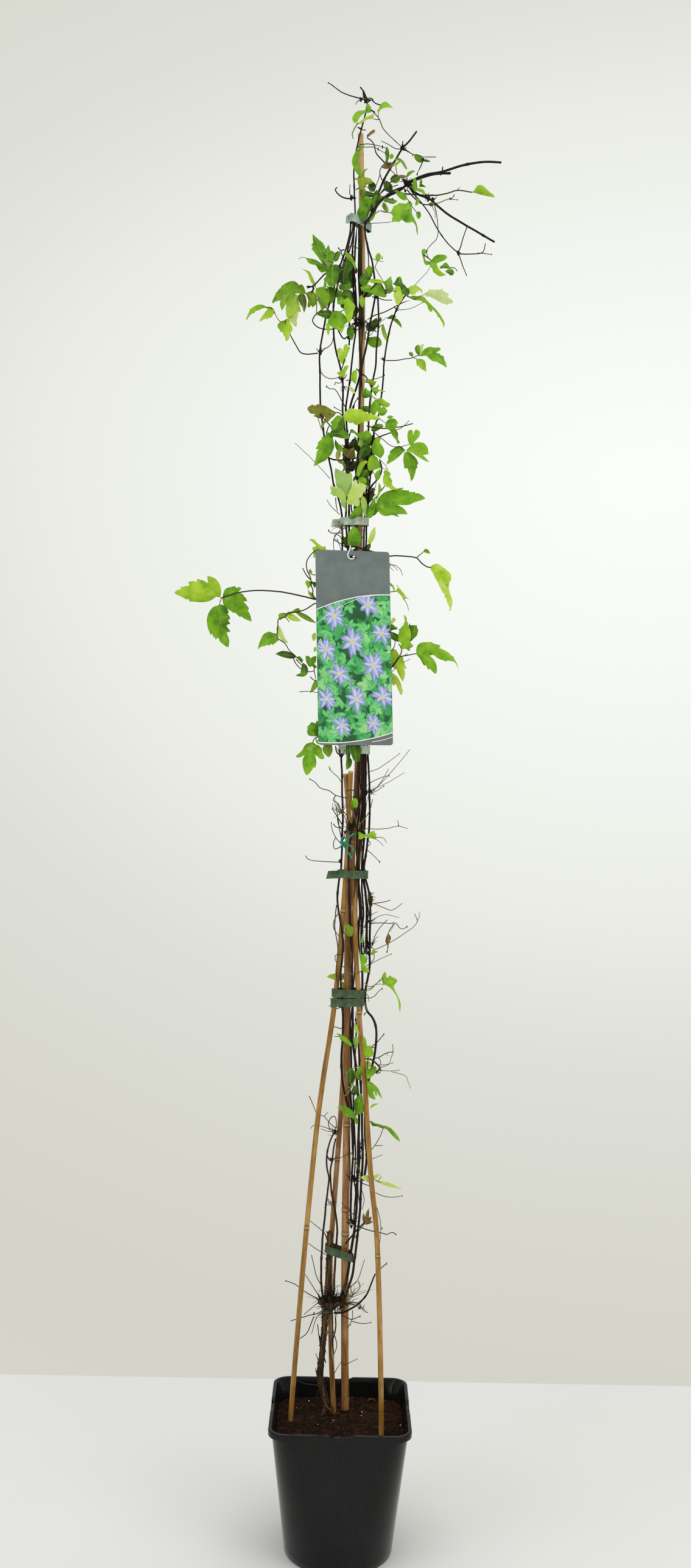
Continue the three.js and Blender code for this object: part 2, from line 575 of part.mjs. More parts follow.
// ---- leaves -------------------------------------------------------------------------------------
// A spray is a leaf stalk with its leaflets. A blade is [base x, base z, tip x, tip z, width], at the
// spray's depth, with its own stalk from the end of the leaf stalk, or from the place named by from.
const SPRAYS = {
  far_left_spray: {
    depth: -14,
    stalk: [[-19, 1291, -7], [-54, 1298, -10], [-104, 1308, -14], [-142, 1308, -14], [-181, 1297, -14]],
    blades: [[-184, 1302, -246, 1306, 33], [-180, 1300, -143, 1268, 33], [-183, 1290, -174, 1232, 32]],
  },
  second_left_spray: {
    depth: -12,
    stalk: [[-19.4, 1280, -9], [-53, 1291, -11], [-72, 1282, -12], [-88, 1278, -12], [-101, 1275, -12],
      [-103, 1250, -12], [-90, 1231, -12], [-76, 1219, -12], [-70, 1206, -12], [-52, 1192, -12]],
    blades: [[-91, 1277, -72, 1284, 13, -88, 1278], [-77, 1275, -51, 1266, 8, -72, 1282],
      [-103, 1262, -88, 1238, 11, -103, 1264], [-104, 1250, -131, 1228, 20, -103, 1250],
      [-76, 1220, -106, 1222, 12, -76, 1219], [-66, 1214, -53, 1218, 15, -70, 1206],
      [-58, 1195, -79, 1194, 12, -52, 1192], [-50, 1190, -58, 1170, 13]],
  },
  label_foot_left_leaf: {
    depth: -20,
    stalk: [[-17.6, 1099, -9], [-34, 1104, -14], [-46, 1106, -18], [-54, 1102, -20]],
    blades: [[-54, 1103, -77, 1081, 22], [-54, 1103, -61, 1057, 26], [-50, 1102, -36, 1080, 20],
      [-36, 1100, -29, 1083, 16], [-54, 1108, -55, 1130, 19]],
  },
  label_head_left_leaves: {
    depth: -16,
    stalk: [[-19.5, 1308, -8], [-40, 1310, -13], [-55, 1311, -16], [-61, 1326, -16], [-64, 1340, -16],
      [-56, 1362, -16], [-50, 1367, -16]],
    blades: [[-57, 1312, -67, 1322, 13, -55, 1311], [-61, 1328, -62, 1339, 8, -61, 1326],
      [-46, 1368, -63, 1381, 14], [-52, 1371, -58, 1353, 12]],
  },
  right_high_spray: {
    depth: -16,
    stalk: [[-14, 1371.6, -14], [-2, 1371.2, -18.4], [20, 1366, -18], [47.5, 1359, -16], [68, 1359.6, -16],
      [84, 1357.5, -16], [92, 1351, -16], [104, 1345, -16]],
    blades: [[104, 1345, 130, 1286, 24], [88, 1361, 103, 1366, 10, 84, 1357.5]],
  },
  right_folded_leaves: {
    depth: -17,
    stalk: [[18.6, 1312, -3], [38, 1316, -12], [50, 1316, -17]],
    blades: [[49, 1322, 58, 1311, 7], [56, 1316, 74, 1289, 13], [48, 1346, 65, 1334, 6]],
  },
  right_label_spray: {
    depth: -13,
    stalk: [[21.2, 1186, -4], [34, 1190, -8], [52, 1206, -13], [64, 1221.8, -13], [73, 1223.6, -13],
      [86, 1226.3, -13]],
    twigs: [[[64, 1221.8, -13], [61, 1232, -13], [62, 1244, -13]]],
    blades: [[86, 1226, 144, 1206, 28], [88, 1225, 115, 1199, 20], [62, 1242, 69, 1279, 20, 62, 1242],
      [66, 1243, 88, 1262, 24, 62, 1242], [66, 1246, 77, 1229, 18, 62, 1243],
        [60, 1248, 52, 1268, 13, 62, 1243],
      [60, 1229, 69, 1188, 22, 64, 1221.8], [53, 1202, 66, 1170, 17, 52, 1206]],
  },
  label_foot_leaf: {
    depth: -21,
    stalk: [[1.4, 1106, -14], [0.6, 1101, -18], [0, 1098, -21]],
    blades: [[1, 1102, 8, 1077, 17], [-3, 1101, -4, 1065, 11]],
  },
  pale_leaves: {
    depth: -26,
    stalk: [[-14, 1424, -12.6], [-14, 1422, -20], [-13, 1424, -26]],
    blades: [[-13, 1426, -35, 1452, 20], [-12, 1427, -1, 1463, 24], [-13, 1440, -20, 1478, 24],
      [-2, 1428, 15, 1455, 16]],
  },
  big_bright_leaf: {
    depth: -24,
    stalk: [[16.6, 1430, 0], [18, 1424, -12], [26, 1424, -22], [30, 1427, -24]],
    blades: [[29, 1427, 95, 1440, 36], [29, 1425, 71, 1417, 20]],
  },
  small_right_leaves: {
    depth: -32,
    stalk: [[19, 1466, 0], [24, 1470, -14], [30, 1478, -28], [34, 1490, -32]],
    blades: [[27, 1521, 33, 1492, 21, 34, 1490], [17, 1477, 32, 1487, 15], [32, 1480, 30, 1463, 9],
      [41, 1477, 54, 1452, 12]],
  },
  fan_spray: {
    depth: -14,
    stalk: [[22.4, 1529, 0], [31.8, 1521.4, -6], [43, 1511.8, -12], [54, 1508.6, -14], [64.6, 1505, -14]],
    blades: [[64, 1504, 41, 1484.6, 16], [66, 1502, 76, 1462, 21], [67, 1504, 100, 1489, 15],
      [68, 1506, 96, 1510, 19], [72, 1512, 80, 1532, 17]],
  },
  round_right_leaves: {
    depth: -24,
    stalk: [[29.8, 1548, 0], [34, 1548, -12], [38, 1545, -24]],
    twigs: [[[36, 1552, -24], [26, 1572, -24], [20, 1585, -24]]],
    blades: [[38, 1546, 55, 1540, 17], [44, 1540, 57, 1518, 11], [38, 1545, 28, 1572, 19],
      [36, 1552, 44, 1568, 15], [21, 1585, 5, 1577, 16, 20, 1585], [20, 1586, 37, 1585, 12, 20, 1585]],
  },
  left_green_leaves: {
    depth: -22,
    stalk: [[-19, 1548, -12.6], [-19, 1546, -22], [-20, 1536, -22], [-27, 1524, -22]],
    twigs: [[[-19, 1546, -22], [-25, 1550, -20], [-31, 1553, -18]]],
    blades: [[-24, 1522, -38, 1545, 22], [-12, 1524, -44, 1524, 13], [-30, 1524, -58, 1481, 27],
      [-31, 1553, -69, 1560, 19, -29, 1552], [-33, 1551, -47, 1537, 12, -29, 1552],
        [-20, 1551, 29, 1547, 26, -19, 1546]],
  },
  small_upper_leaves: {
    depth: -20,
    stalk: [[-24.4, 1606, -12.6], [-23.5, 1608, -17], [-22, 1612, -20]],
    blades: [[-24, 1603, -14, 1619, 15], [-18, 1616, -28, 1640, 15], [-21, 1622, -11, 1646, 12]],
  },
  long_stalk_right_spray: {
    depth: -10,
    stalk: [[38, 1627, 1], [52, 1627, -6], [68.5, 1631, -10], [83, 1634.8, -10]],
    blades: [[85, 1636, 121, 1619, 23], [84, 1636, 80, 1651, 14], [81, 1631, 93, 1613, 13],
      [70, 1632, 72, 1640, 7]],
  },
  far_upper_left_spray: {
    depth: -16,
    stalk: [[-55.6, 1635.5, -7], [-71, 1634, -12], [-79, 1635.5, -14], [-86, 1645, -16], [-97, 1664, -16],
      [-102, 1678, -16], [-114, 1686, -16], [-119, 1697, -16]],
    blades: [[-119, 1697, -137, 1678, 13], [-125, 1697, -154, 1681, 13],
      [-101, 1680, -99, 1652, 20, -101, 1677],
      [-98, 1678, -86, 1692, 12, -101, 1677]],
  },
  upper_left_leaves: {
    depth: -24,
    stalk: [[-27.4, 1745, -14.6], [-32, 1743, -20], [-44, 1743, -24], [-54, 1737.8, -24], [-63, 1728, -24],
      [-72, 1720, -24]],
    blades: [[-74, 1716, -119, 1704, 34], [-72, 1716, -104, 1693, 20], [-66, 1718, -76, 1691, 16],
      [-64, 1720, -60, 1697, 14, -65, 1724], [-61, 1724, -77, 1750, 9, -63, 1728],
        [-38, 1738, -65, 1798, 30, -44, 1743],
      [-40, 1740, -76, 1766, 20, -44, 1743], [-36, 1740, -24, 1776, 26, -44, 1743],
      [-40, 1742, -22, 1722, 22, -44, 1743], [-44, 1736, -62, 1706, 24, -44, 1743]],
  },
  upper_centre_leaves: {
    depth: -34,
    stalk: [[-6.5, 1708, -6.4], [-12, 1706, -20], [-22, 1702, -34]],
    blades: [[-26, 1696, -60, 1688, 22], [-22, 1700, -36, 1667, 26], [-16, 1720, -14, 1676, 13],
      [-22, 1702, -27, 1727, 14]],
  },
  upper_right_leaves: {
    depth: -16,
    stalk: [[23.4, 1722, -8], [30, 1724, -12], [38, 1724, -16], [50, 1722, -16], [64, 1722, -16]],
    blades: [[14, 1733, 38, 1714, 21, 30, 1724], [44, 1720, 42, 1743, 15, 44, 1722],
      [62, 1722, 52, 1742, 16],
      [50, 1722, 52, 1701, 13, 50, 1722], [64, 1722, 86, 1722, 12]],
  },
  far_right_pair: {
    depth: -6,
    stalk: [[65, 1716, 1], [74, 1714, -3], [84, 1712, -6], [92, 1720, -6]],
    blades: [[92, 1720, 128, 1710, 21], [80, 1713, 104, 1700, 10, 84, 1712],
      [100, 1703, 117, 1674, 8, 84, 1712]],
  },
  lower_middle_right_leaves: {
    depth: 14,
    stalk: [[27.5, 1672, 6], [28, 1674, 10], [30, 1672, 14]],
    blades: [[30, 1672, 38, 1654, 11], [28, 1656, 12, 1654, 14], [28, 1674, 10, 1680, 16]],
  },
  top_tip_leaves: {
    depth: -12,
    stalk: [[16, 1967, -5.5], [14, 1969, -9], [12, 1970, -12]],
    twigs: [[[16, 1967, -7], [20, 1966, -10], [21, 1970, -12]]],
    blades: [[12, 1969, -14, 1954, 16], [8, 1967, 8, 1981, 8, 12, 1970], [14, 1966, 0, 1955, 9, 12, 1970],
      [-11, 1952, -14, 1932, 5], [21, 1970, 42, 1973, 11, 20, 1968]],
  },
  top_cane_leaf: {
    depth: -14,
    stalk: [[-9.6, 1876, -3.6], [-8, 1874, -9], [-5, 1877, -14]],
    blades: [[-3, 1878, -6, 1922, 16], [0, 1874, 9, 1890, 10, -5, 1877]],
  },
  top_green_leaves: {
    depth: -12,
    stalk: [[12, 1836, -1], [10, 1838, -6], [8, 1840, -12]],
    blades: [[14, 1852, 2, 1816, 24, 8, 1840], [10, 1850, 24, 1868, 18, 8, 1840],
      [16, 1846, 20, 1822, 9, 8, 1840]],
  },
  top_bright_leaf: {
    depth: -16,
    stalk: [[52, 1858, -2], [53, 1853, -8], [56, 1846, -16]],
    blades: [[58, 1848, 50, 1819, 22], [60, 1846, 68, 1820, 20], [67, 1836, 78, 1799, 9, 64, 1838],
      [55, 1849, 62, 1854, 9, 56, 1846]],
  },
  long_stalk_top_leaf: {
    depth: -8,
    stalk: [[66, 1857, 3.6], [80, 1854, 0], [100, 1854, -6], [120, 1858, -8], [133, 1862, -8],
      [152, 1860, -8]],
    blades: [[152, 1860, 183, 1853, 19]],
  },
  hanging_top_spray: {
    depth: 2,
    stalk: [[100, 1843, -6], [102.6, 1833, -3], [105.6, 1812.6, 0], [104.6, 1794, 2], [94.4, 1782.8, 2],
      [91, 1768, 2], [98, 1765, 2]],
    blades: [[87, 1781, 94, 1760, 10, 91, 1768], [99, 1765, 119, 1772, 11], [98, 1765, 114, 1745, 14],
      [110, 1757, 132, 1752, 12, 98, 1765]],
  },
  small_top_leaves: {
    depth: -12,
    stalk: [[44, 1900, -8], [44, 1903, -10], [46, 1904, -12]],
    blades: [[44, 1899, 61, 1890, 8], [38, 1900, 33, 1919, 9, 46, 1904],
      [44, 1897, 48, 1876, 12, 46, 1904]],
  },
  low_right_leaves: {
    depth: -12,
    stalk: [[28.6, 632, 1.6], [36, 642, -6], [40, 652, -12]],
    blades: [[42, 660, 28, 643, 15, 40, 654], [30, 640, 50, 615, 12, 40, 652],
      [30, 640, 42, 616, 14, 40, 652],
      [36, 674, 26, 700, 14, 40, 652]],
  },
  low_centre_leaves: {
    depth: -8,
    stalk: [[18.2, 604, 2], [17, 600, -4], [16, 596, -8]],
    blades: [[18, 589, -10, 603, 13], [15, 600, 19, 622, 17], [12, 624, 10, 656, 14]],
  },
  trailing_leaf: {
    depth: -8,
    stalk: [[23, 774, -3.4], [32, 772, -6], [42, 774, -8], [50, 780, -8]],
    blades: [[47, 780, 68, 777, 15], [50, 772, 50, 789, 11], [60, 772, 71, 752, 7, 50, 780],
      [70, 756, 72, 735, 4, 50, 780]],
  },
  bright_side_leaf: {
    depth: -12,
    stalk: [[30, 818, -3.8], [28, 814, -8], [24, 812, -12]],
    blades: [[24, 814, 20, 790, 20], [28, 814, 41, 817, 7, 24, 812]],
  },
};

// ---- assembly -----------------------------------------------------------------------------------
const caneHoles = Object.values(CANES).map((cane) => tube(cane.route.map(at), cane.radii, CANE_SIDES, GAP));
const soilBlock = loft([
  bodySection(POT_FLOOR + GAP, POT_WALL + GAP),
  bodySection(SOIL_TOP, POT_WALL + GAP),
]);
const soil = [...caneHoles, makeOldWood(GAP)].reduce((block, hole) => block.subtract(hole), soilBlock);
add("pot", "pot", makePot());
add("potting_soil", "soil", largestBody(soil));
for (const [name, cane] of Object.entries(CANES)) {
  const points = cane.route.map(at);
  add(name, "bamboo", tube(points, cane.radii, CANE_SIDES), tube(points, cane.radii, CANE_SIDES, GAP));
}
add("old_wood", "old_bark", clearOfBuilt(makeOldWood(0), ["potting_soil"]), makeOldWood(GAP));
for (const [name, stem] of Object.entries(STEMS)) {
  add(name, "stem", clearOfBuilt(makeStem(stem, 0)), makeStem(stem, GAP));
}
for (const [name, tape] of Object.entries(TAPES)) {
  add(name, tape.finish, clearOfBuilt(makeTape(tape, 0)), makeTape(tape, GAP));
}
add("green_twine", "twine", clearOfBuilt(makeTwine(0)), makeTwine(GAP));
add("plant_label", "label", clearOfBuilt(makeLabel(0)), makeLabel(GAP));
add("label_hook", "white_plastic", clearOfBuilt(makeHook(0)), makeHook(GAP));

function makeSpray(spray, grow) {
  const stalk = spray.stalk.map(at);
  const [endX, endZ] = spray.stalk.at(-1);
  let leaf = tube(stalk, [PETIOLE_RADIUS, PETIOLE_RADIUS], STALK_SIDES, grow);
  for (const twig of spray.twigs ?? []) {
    leaf = leaf.add(tube(twig.map(at), [PETIOLE_RADIUS, PETIOLE_RADIUS], STALK_SIDES, grow));
  }
  for (const [baseX, baseZ, tipX, tipZ, width, fromX = endX, fromZ = endZ] of spray.blades) {
    const from = at([fromX, fromZ, spray.depth]);
    const base = at([baseX, baseZ, spray.depth]);
    const tip = at([tipX, tipZ, spray.depth]);
    const inside = base.clone().lerp(tip, 0.15);
    leaf = leaf.add(blade(base, tip, width, grow)).add(tube([from, inside],
      [PETIOLE_RADIUS, PETIOLE_RADIUS], STALK_SIDES, grow));
  }
  return leaf;
}
for (const [name, spray] of Object.entries(SPRAYS)) {
  add(name, "leaf", clearOfBuilt(makeSpray(spray, 0)), makeSpray(spray, GAP));
}

export default plant;
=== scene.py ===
import math

import bmesh
import bpy
import numpy as np
from mathutils import Matrix, Vector, noise
from mathutils.geometry import delaunay_2d_cdt


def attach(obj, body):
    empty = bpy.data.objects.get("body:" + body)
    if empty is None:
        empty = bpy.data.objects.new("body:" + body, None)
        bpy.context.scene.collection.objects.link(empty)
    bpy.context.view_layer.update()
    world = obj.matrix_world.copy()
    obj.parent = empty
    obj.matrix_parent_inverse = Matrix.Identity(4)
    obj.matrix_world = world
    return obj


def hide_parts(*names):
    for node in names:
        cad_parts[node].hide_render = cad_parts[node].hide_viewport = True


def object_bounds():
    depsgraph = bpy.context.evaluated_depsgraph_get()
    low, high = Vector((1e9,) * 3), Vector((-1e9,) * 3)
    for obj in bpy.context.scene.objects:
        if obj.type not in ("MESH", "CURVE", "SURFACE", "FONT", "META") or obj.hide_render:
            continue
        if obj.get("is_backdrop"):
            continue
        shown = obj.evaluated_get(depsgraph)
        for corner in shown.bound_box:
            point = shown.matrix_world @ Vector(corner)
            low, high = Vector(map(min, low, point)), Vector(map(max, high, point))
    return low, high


bl_info = {
    "name": "Clematis on bamboo canes",
    "version": (1, 0, 0),
    "blender": (4, 5, 0),
    "location": "View3D > Sidebar > Clematis",
    "description": "Builds a potted clematis tied to bamboo canes around its packed model",
    "category": "Add Mesh",
}

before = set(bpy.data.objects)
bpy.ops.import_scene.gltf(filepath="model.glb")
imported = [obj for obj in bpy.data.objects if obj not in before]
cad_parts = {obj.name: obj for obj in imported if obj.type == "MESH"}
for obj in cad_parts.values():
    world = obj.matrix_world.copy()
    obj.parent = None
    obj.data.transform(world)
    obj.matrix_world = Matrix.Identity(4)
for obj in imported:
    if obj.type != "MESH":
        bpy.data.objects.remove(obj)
CAD_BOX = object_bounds()

MM = 0.001
BODY = "root"
SEED = 11
# Noise vectors follow the clock unless they have a seed of their own. This one settles how the shoots
# and stalks sway.
SWAY_SEED = 1795515038

# Places are given on a front elevation (x, z) in millimetres, as seen from a viewpoint in front of the
# plant, with the depth y as a third number. Moving a point in depth keeps its place on the elevation.
VIEW_X, VIEW_Z, VIEW_DISTANCE = -7.6, 1046.0, 1965.0


def place(points):
    """Turns elevation points (x, z, y) in millimetres into model points in metres."""
    p = np.asarray(points, float).reshape(-1, 3)
    spread = 1 + p[:, 2] / VIEW_DISTANCE
    x = VIEW_X + (p[:, 0] - VIEW_X) * spread
    z = VIEW_Z + (p[:, 1] - VIEW_Z) * spread
    return np.column_stack([x, p[:, 2], z]) * MM


# ---- curves and carrier meshes ------------------------------------------------------------------
def smooth(points, steps):
    """A smooth curve through the points, with an even number of steps between each two of them."""
    p = np.asarray(points, float)
    if len(p) == 2:
        return p[0] + (p[1] - p[0]) * np.linspace(0, 1, steps + 1)[:, None]
    gaps = np.maximum(np.linalg.norm(np.diff(p, axis=0), axis=1), 1e-6) ** 0.5
    knots = np.concatenate([[0], np.cumsum(gaps)])
    slope = np.gradient(p, knots, axis=0)
    out = []
    for i in range(len(p) - 1):
        t = np.linspace(0, 1, steps, endpoint=False)[:, None]
        h = knots[i + 1] - knots[i]
        out.append((2 * t**3 - 3 * t**2 + 1) * p[i] + (t**3 - 2 * t**2 + t) * h * slope[i]
                   + (3 * t**2 - 2 * t**3) * p[i + 1] + (t**3 - t**2) * h * slope[i + 1])
    return np.vstack(out + [p[-1:]])


def even(points, step):
    """The same line with its points a step apart."""
    p = np.asarray(points, float)
    run = np.concatenate([[0], np.cumsum(np.linalg.norm(np.diff(p[:, :3], axis=0), axis=1))])
    count = max(3, int(round(run[-1] / step)) + 1)
    at = np.linspace(0, run[-1], count)
    return np.column_stack([np.interp(at, run, p[:, i]) for i in range(p.shape[1])])


class Shape:
    """Collects closed skins, and bare paths that a node tree thickens into round stems."""

    def __init__(self):
        self.points, self.faces, self.edges, self.finish = [], [], [], []
        self.girth, self.tint, self.grain = [], [], []

    def add(self, points, girth, tint, grain):
        first = sum(len(p) for p in self.points)
        count = len(points)
        self.points.append(np.asarray(points, float))
        self.girth.append(np.broadcast_to(np.asarray(girth, float), count))
        self.tint.append(np.broadcast_to(np.asarray(tint, float), (count, 3)))
        self.grain.append(np.broadcast_to(np.asarray(grain, float), (count, 3)))
        return first

    def skin(self, points, faces, tint=(0, 0, 0), grain=(0, 0, 0), finish=0):
        first = self.add(points, 0, tint, grain)
        self.faces += [[first + i for i in face] for face in faces]
        self.finish += [finish] * len(faces)

    def path(self, points, radii, tint=(0, 0, 0)):
        """A stem along model points, in metres, with its radius at each of them."""
        first = self.add(points, np.asarray(radii, float), tint, (0, 0, 0))
        self.edges += [(first + i, first + i + 1) for i in range(len(points) - 1)]

    def mesh(self, name):
        mesh = bpy.data.meshes.new(name)
        mesh.from_pydata(np.vstack(self.points).tolist(), self.edges, self.faces)
        for key, kind, slot, values in (
            ("girth", "FLOAT", "value", self.girth),
            ("tint", "FLOAT_VECTOR", "vector", self.tint),
            ("grain", "FLOAT_VECTOR", "vector", self.grain),
        ):
            attribute = mesh.attributes.new(key, kind, "POINT")
            attribute.data.foreach_set(slot, np.concatenate(values).astype(np.float32).ravel())
        mesh.polygons.foreach_set("material_index", self.finish)
        return mesh


def new_object(name, mesh, finishes=()):
    piece = bpy.data.objects.new(name, mesh)
    bpy.context.scene.collection.objects.link(piece)
    for finish in finishes:
        mesh.materials.append(finish)
    return piece


def bake(piece, sharp=50):
    """Turns the evaluated modifiers into a plain mesh, smooth except over sharp corners."""
    graph = bpy.context.evaluated_depsgraph_get()
    plain = bpy.data.meshes.new_from_object(piece.evaluated_get(graph))
    piece.modifiers.clear()
    piece.data = plain
    slots = np.zeros(len(plain.polygons), np.int32)
    plain.polygons.foreach_get("material_index", slots)
    used, slots = np.unique(slots, return_inverse=True)
    kept = [plain.materials[i] for i in used]
    plain.materials.clear()
    for made in kept:
        plain.materials.append(made)
    plain.polygons.foreach_set("material_index", slots.astype(np.int32))
    plain.shade_smooth()
    plain.set_sharp_from_angle(angle=math.radians(sharp))
    return piece


def hand_over(piece, slot, *nodes):
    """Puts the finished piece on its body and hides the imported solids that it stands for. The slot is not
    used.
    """
    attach(piece, BODY)
    if nodes:
        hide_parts(*nodes)
    return piece


# ---- node trees ---------------------------------------------------------------------------------
def add(tree, kind, inputs=None, stops=None, **settings):
    """Adds a node with its settings, its input values or links, and the stops of a colour ramp."""
    made = tree.nodes.new(kind)
    for key, value in settings.items():
        setattr(made, key, value)
    for key, value in (inputs or {}).items():
        socket = made.inputs[key]
        if isinstance(value, bpy.types.NodeSocket):
            tree.links.new(value, socket)
        else:
            socket.default_value = value
    if stops:
        ramp = made.color_ramp.elements
        while len(ramp) < len(stops):
            ramp.new(0.5)
        for element, (position, colour) in zip(ramp, stops):
            element.position = position
            element.color = linear(colour)
    return made


def tree_of(name, **sockets):
    """A new geometry tree with named inputs, each given as (socket type, default)."""
    tree = bpy.data.node_groups.new(name, "GeometryNodeTree")
    tree.interface.new_socket("Geometry", in_out="INPUT", socket_type="NodeSocketGeometry")
    for label, (kind, default) in sockets.items():
        socket = tree.interface.new_socket(label.replace("_", " "), in_out="INPUT", socket_type=kind)
        if default is not None:
            socket.default_value = default
    tree.interface.new_socket("Geometry", in_out="OUTPUT", socket_type="NodeSocketGeometry")
    return tree, add(tree, "NodeGroupInput").outputs, add(tree, "NodeGroupOutput")


def use_tree(piece, tree, **values):
    """Puts a tree on a piece and sets its inputs by their identifiers."""
    modifier = piece.modifiers.new(tree.name, "NODES")
    modifier.node_group = tree
    for item in tree.interface.items_tree:
        key = item.name.replace(" ", "_")
        if item.in_out == "INPUT" and key in values:
            modifier[item.identifier] = values[key]
    return piece


def sweep_tree():
    """Thickens the bare paths of a carrier mesh into round stems and leaves its skins as they are."""
    tree, given, out = tree_of("grow_stems", Sides=("NodeSocketInt", 8), Bark=("NodeSocketMaterial", None))
    girth = add(tree, "GeometryNodeInputNamedAttribute", {"Name": "girth"}, data_type="FLOAT").outputs[0]
    bare = add(tree, "FunctionNodeCompare", {0: girth, 1: 0.0}, data_type="FLOAT", operation="GREATER_THAN")
    parts = add(tree, "GeometryNodeSeparateGeometry",
                {"Geometry": given["Geometry"], "Selection": bare.outputs[0]}, domain="POINT")
    lines = add(tree, "GeometryNodeMeshToCurve", {"Mesh": parts.outputs["Selection"]})
    length = add(tree, "GeometryNodeSplineParameter").outputs["Length"]
    lines = add(tree, "GeometryNodeStoreNamedAttribute",
                {"Geometry": lines.outputs[0], "Name": "along", "Value": length}, data_type="FLOAT")
    ring = add(tree, "GeometryNodeCurvePrimitiveCircle", {"Resolution": given["Sides"], "Radius": 1.0})
    spot = add(tree, "GeometryNodeInputPosition").outputs[0]
    ring = add(tree, "GeometryNodeStoreNamedAttribute",
               {"Geometry": ring.outputs[0], "Name": "around", "Value": spot}, data_type="FLOAT_VECTOR")
    stems = add(tree, "GeometryNodeCurveToMesh",
                {"Curve": lines.outputs[0], "Profile Curve": ring.outputs[0], "Scale": girth,
                 "Fill Caps": True})
    around = add(tree, "GeometryNodeInputNamedAttribute", {"Name": "around"}, data_type="FLOAT_VECTOR")
    along = add(tree, "GeometryNodeInputNamedAttribute", {"Name": "along"}, data_type="FLOAT")
    round_part = add(tree, "ShaderNodeVectorMath", {0: around.outputs[0], "Scale": girth}, operation="SCALE")
    long_part = add(tree, "ShaderNodeCombineXYZ", {"Z": along.outputs[0]})
    grain = add(tree, "ShaderNodeVectorMath", {0: round_part.outputs[0], 1: long_part.outputs[0]})
    stems = add(tree, "GeometryNodeStoreNamedAttribute",
                {"Geometry": stems.outputs[0], "Name": "grain", "Value": grain.outputs[0]},
                data_type="FLOAT_VECTOR")
    both = add(tree, "GeometryNodeJoinGeometry", {"Geometry": stems.outputs[0]})
    tree.links.new(parts.outputs["Inverted"], both.inputs[0])
    real = add(tree, "GeometryNodeRealizeInstances", {"Geometry": both.outputs[0]})
    done = add(tree, "GeometryNodeSetMaterial", {"Geometry": real.outputs[0], "Selection": bare.outputs[0],
                                                 "Material": given["Bark"]})
    tree.links.new(done.outputs[0], out.inputs[0])
    return tree


# ---- materials ----------------------------------------------------------------------------------
def linear(colour, alpha=1.0):
    """An sRGB colour such as #7f8f3a as linear red, green, blue and alpha."""
    parts = [int(colour[i:i + 2], 16) / 255 for i in (1, 3, 5)]
    return tuple(c / 12.92 if c <= 0.04045 else ((c + 0.055) / 1.055) ** 2.4 for c in parts) + (alpha,)


def surface(name, roughness, ior=1.5, **values):
    """A new material: its node tree and its shader, with the values that are the same all over."""
    made = bpy.data.materials.new(name)
    made.use_nodes = True
    shader = made.node_tree.nodes["Principled BSDF"]
    shader.inputs["Roughness"].default_value = roughness
    shader.inputs["IOR"].default_value = ior
    for key, value in values.items():
        shader.inputs[key.replace("_", " ")].default_value = value
    return made, made.node_tree, shader


def spots(tree, where, size_mm, detail=4, stretch=(1, 1, 1), **more):
    """Noise whose features are about size_mm across, on metre coordinates."""
    scaled = add(tree, "ShaderNodeMapping", {"Vector": where, "Scale": stretch})
    return add(tree, "ShaderNodeTexNoise", {"Vector": scaled.outputs[0], "Scale": 1 / (size_mm * MM),
                                            "Detail": detail, **more}).outputs[0]


def ramp(tree, factor, *stops):
    return add(tree, "ShaderNodeValToRGB", {"Fac": factor}, stops=stops).outputs["Color"]


def blend_colours(tree, factor, first, second, kind="MIX"):
    made = add(tree, "ShaderNodeMix", {0: factor, 6: first, 7: second}, data_type="RGBA", blend_type=kind)
    return made.outputs[2]


def maths(tree, operation, *values):
    made = add(tree, "ShaderNodeMath", dict(enumerate(values)), operation=operation, use_clamp=False)
    return made.outputs[0]


def relief(tree, shader, height, depth_mm, strength=1.0):
    """Bump of a real depth from a height between 0 and 1."""
    bump = add(tree, "ShaderNodeBump", {"Height": height, "Distance": depth_mm * MM, "Strength": strength})
    tree.links.new(bump.outputs[0], shader.inputs["Normal"])


def paint(tree, shader, colour, roughness=None):
    tree.links.new(colour, shader.inputs["Base Color"])
    if roughness is not None:
        tree.links.new(roughness, shader.inputs["Roughness"])


def coordinates(tree):
    return add(tree, "ShaderNodeTexCoord").outputs["Object"]


def attribute(tree, name):
    return add(tree, "ShaderNodeAttribute", attribute_name=name).outputs["Vector"]


def split(tree, vector):
    return add(tree, "ShaderNodeSeparateXYZ", {0: vector}).outputs


def moulded_polypropylene():
    """Black injection-moulded polypropylene: a soft grey sheen, a fine mould grain and a little dust."""
    made, tree, shader = surface("injection_moulded_polypropylene", 0.5, 1.49, Specular_IOR_Level=0.19)
    where = coordinates(tree)
    clouds = spots(tree, where, 60, 5)
    colour = ramp(tree, clouds, (0.3, "#050808"), (0.55, "#080c0d"), (0.75, "#0e1415"))
    dust = maths(tree, "MULTIPLY", spots(tree, where, 4, 6, stretch=(1, 1, 0.35)), 0.07)
    colour = blend_colours(tree, dust, colour, linear("#6d6c62"))
    grain = spots(tree, where, 0.9, 3)
    sheen = ramp(tree, clouds, (0.3, "#5c5c5c"), (0.7, "#7a7a7a"))
    paint(tree, shader, colour, sheen)
    relief(tree, shader, grain, 0.06, 0.5)
    return made


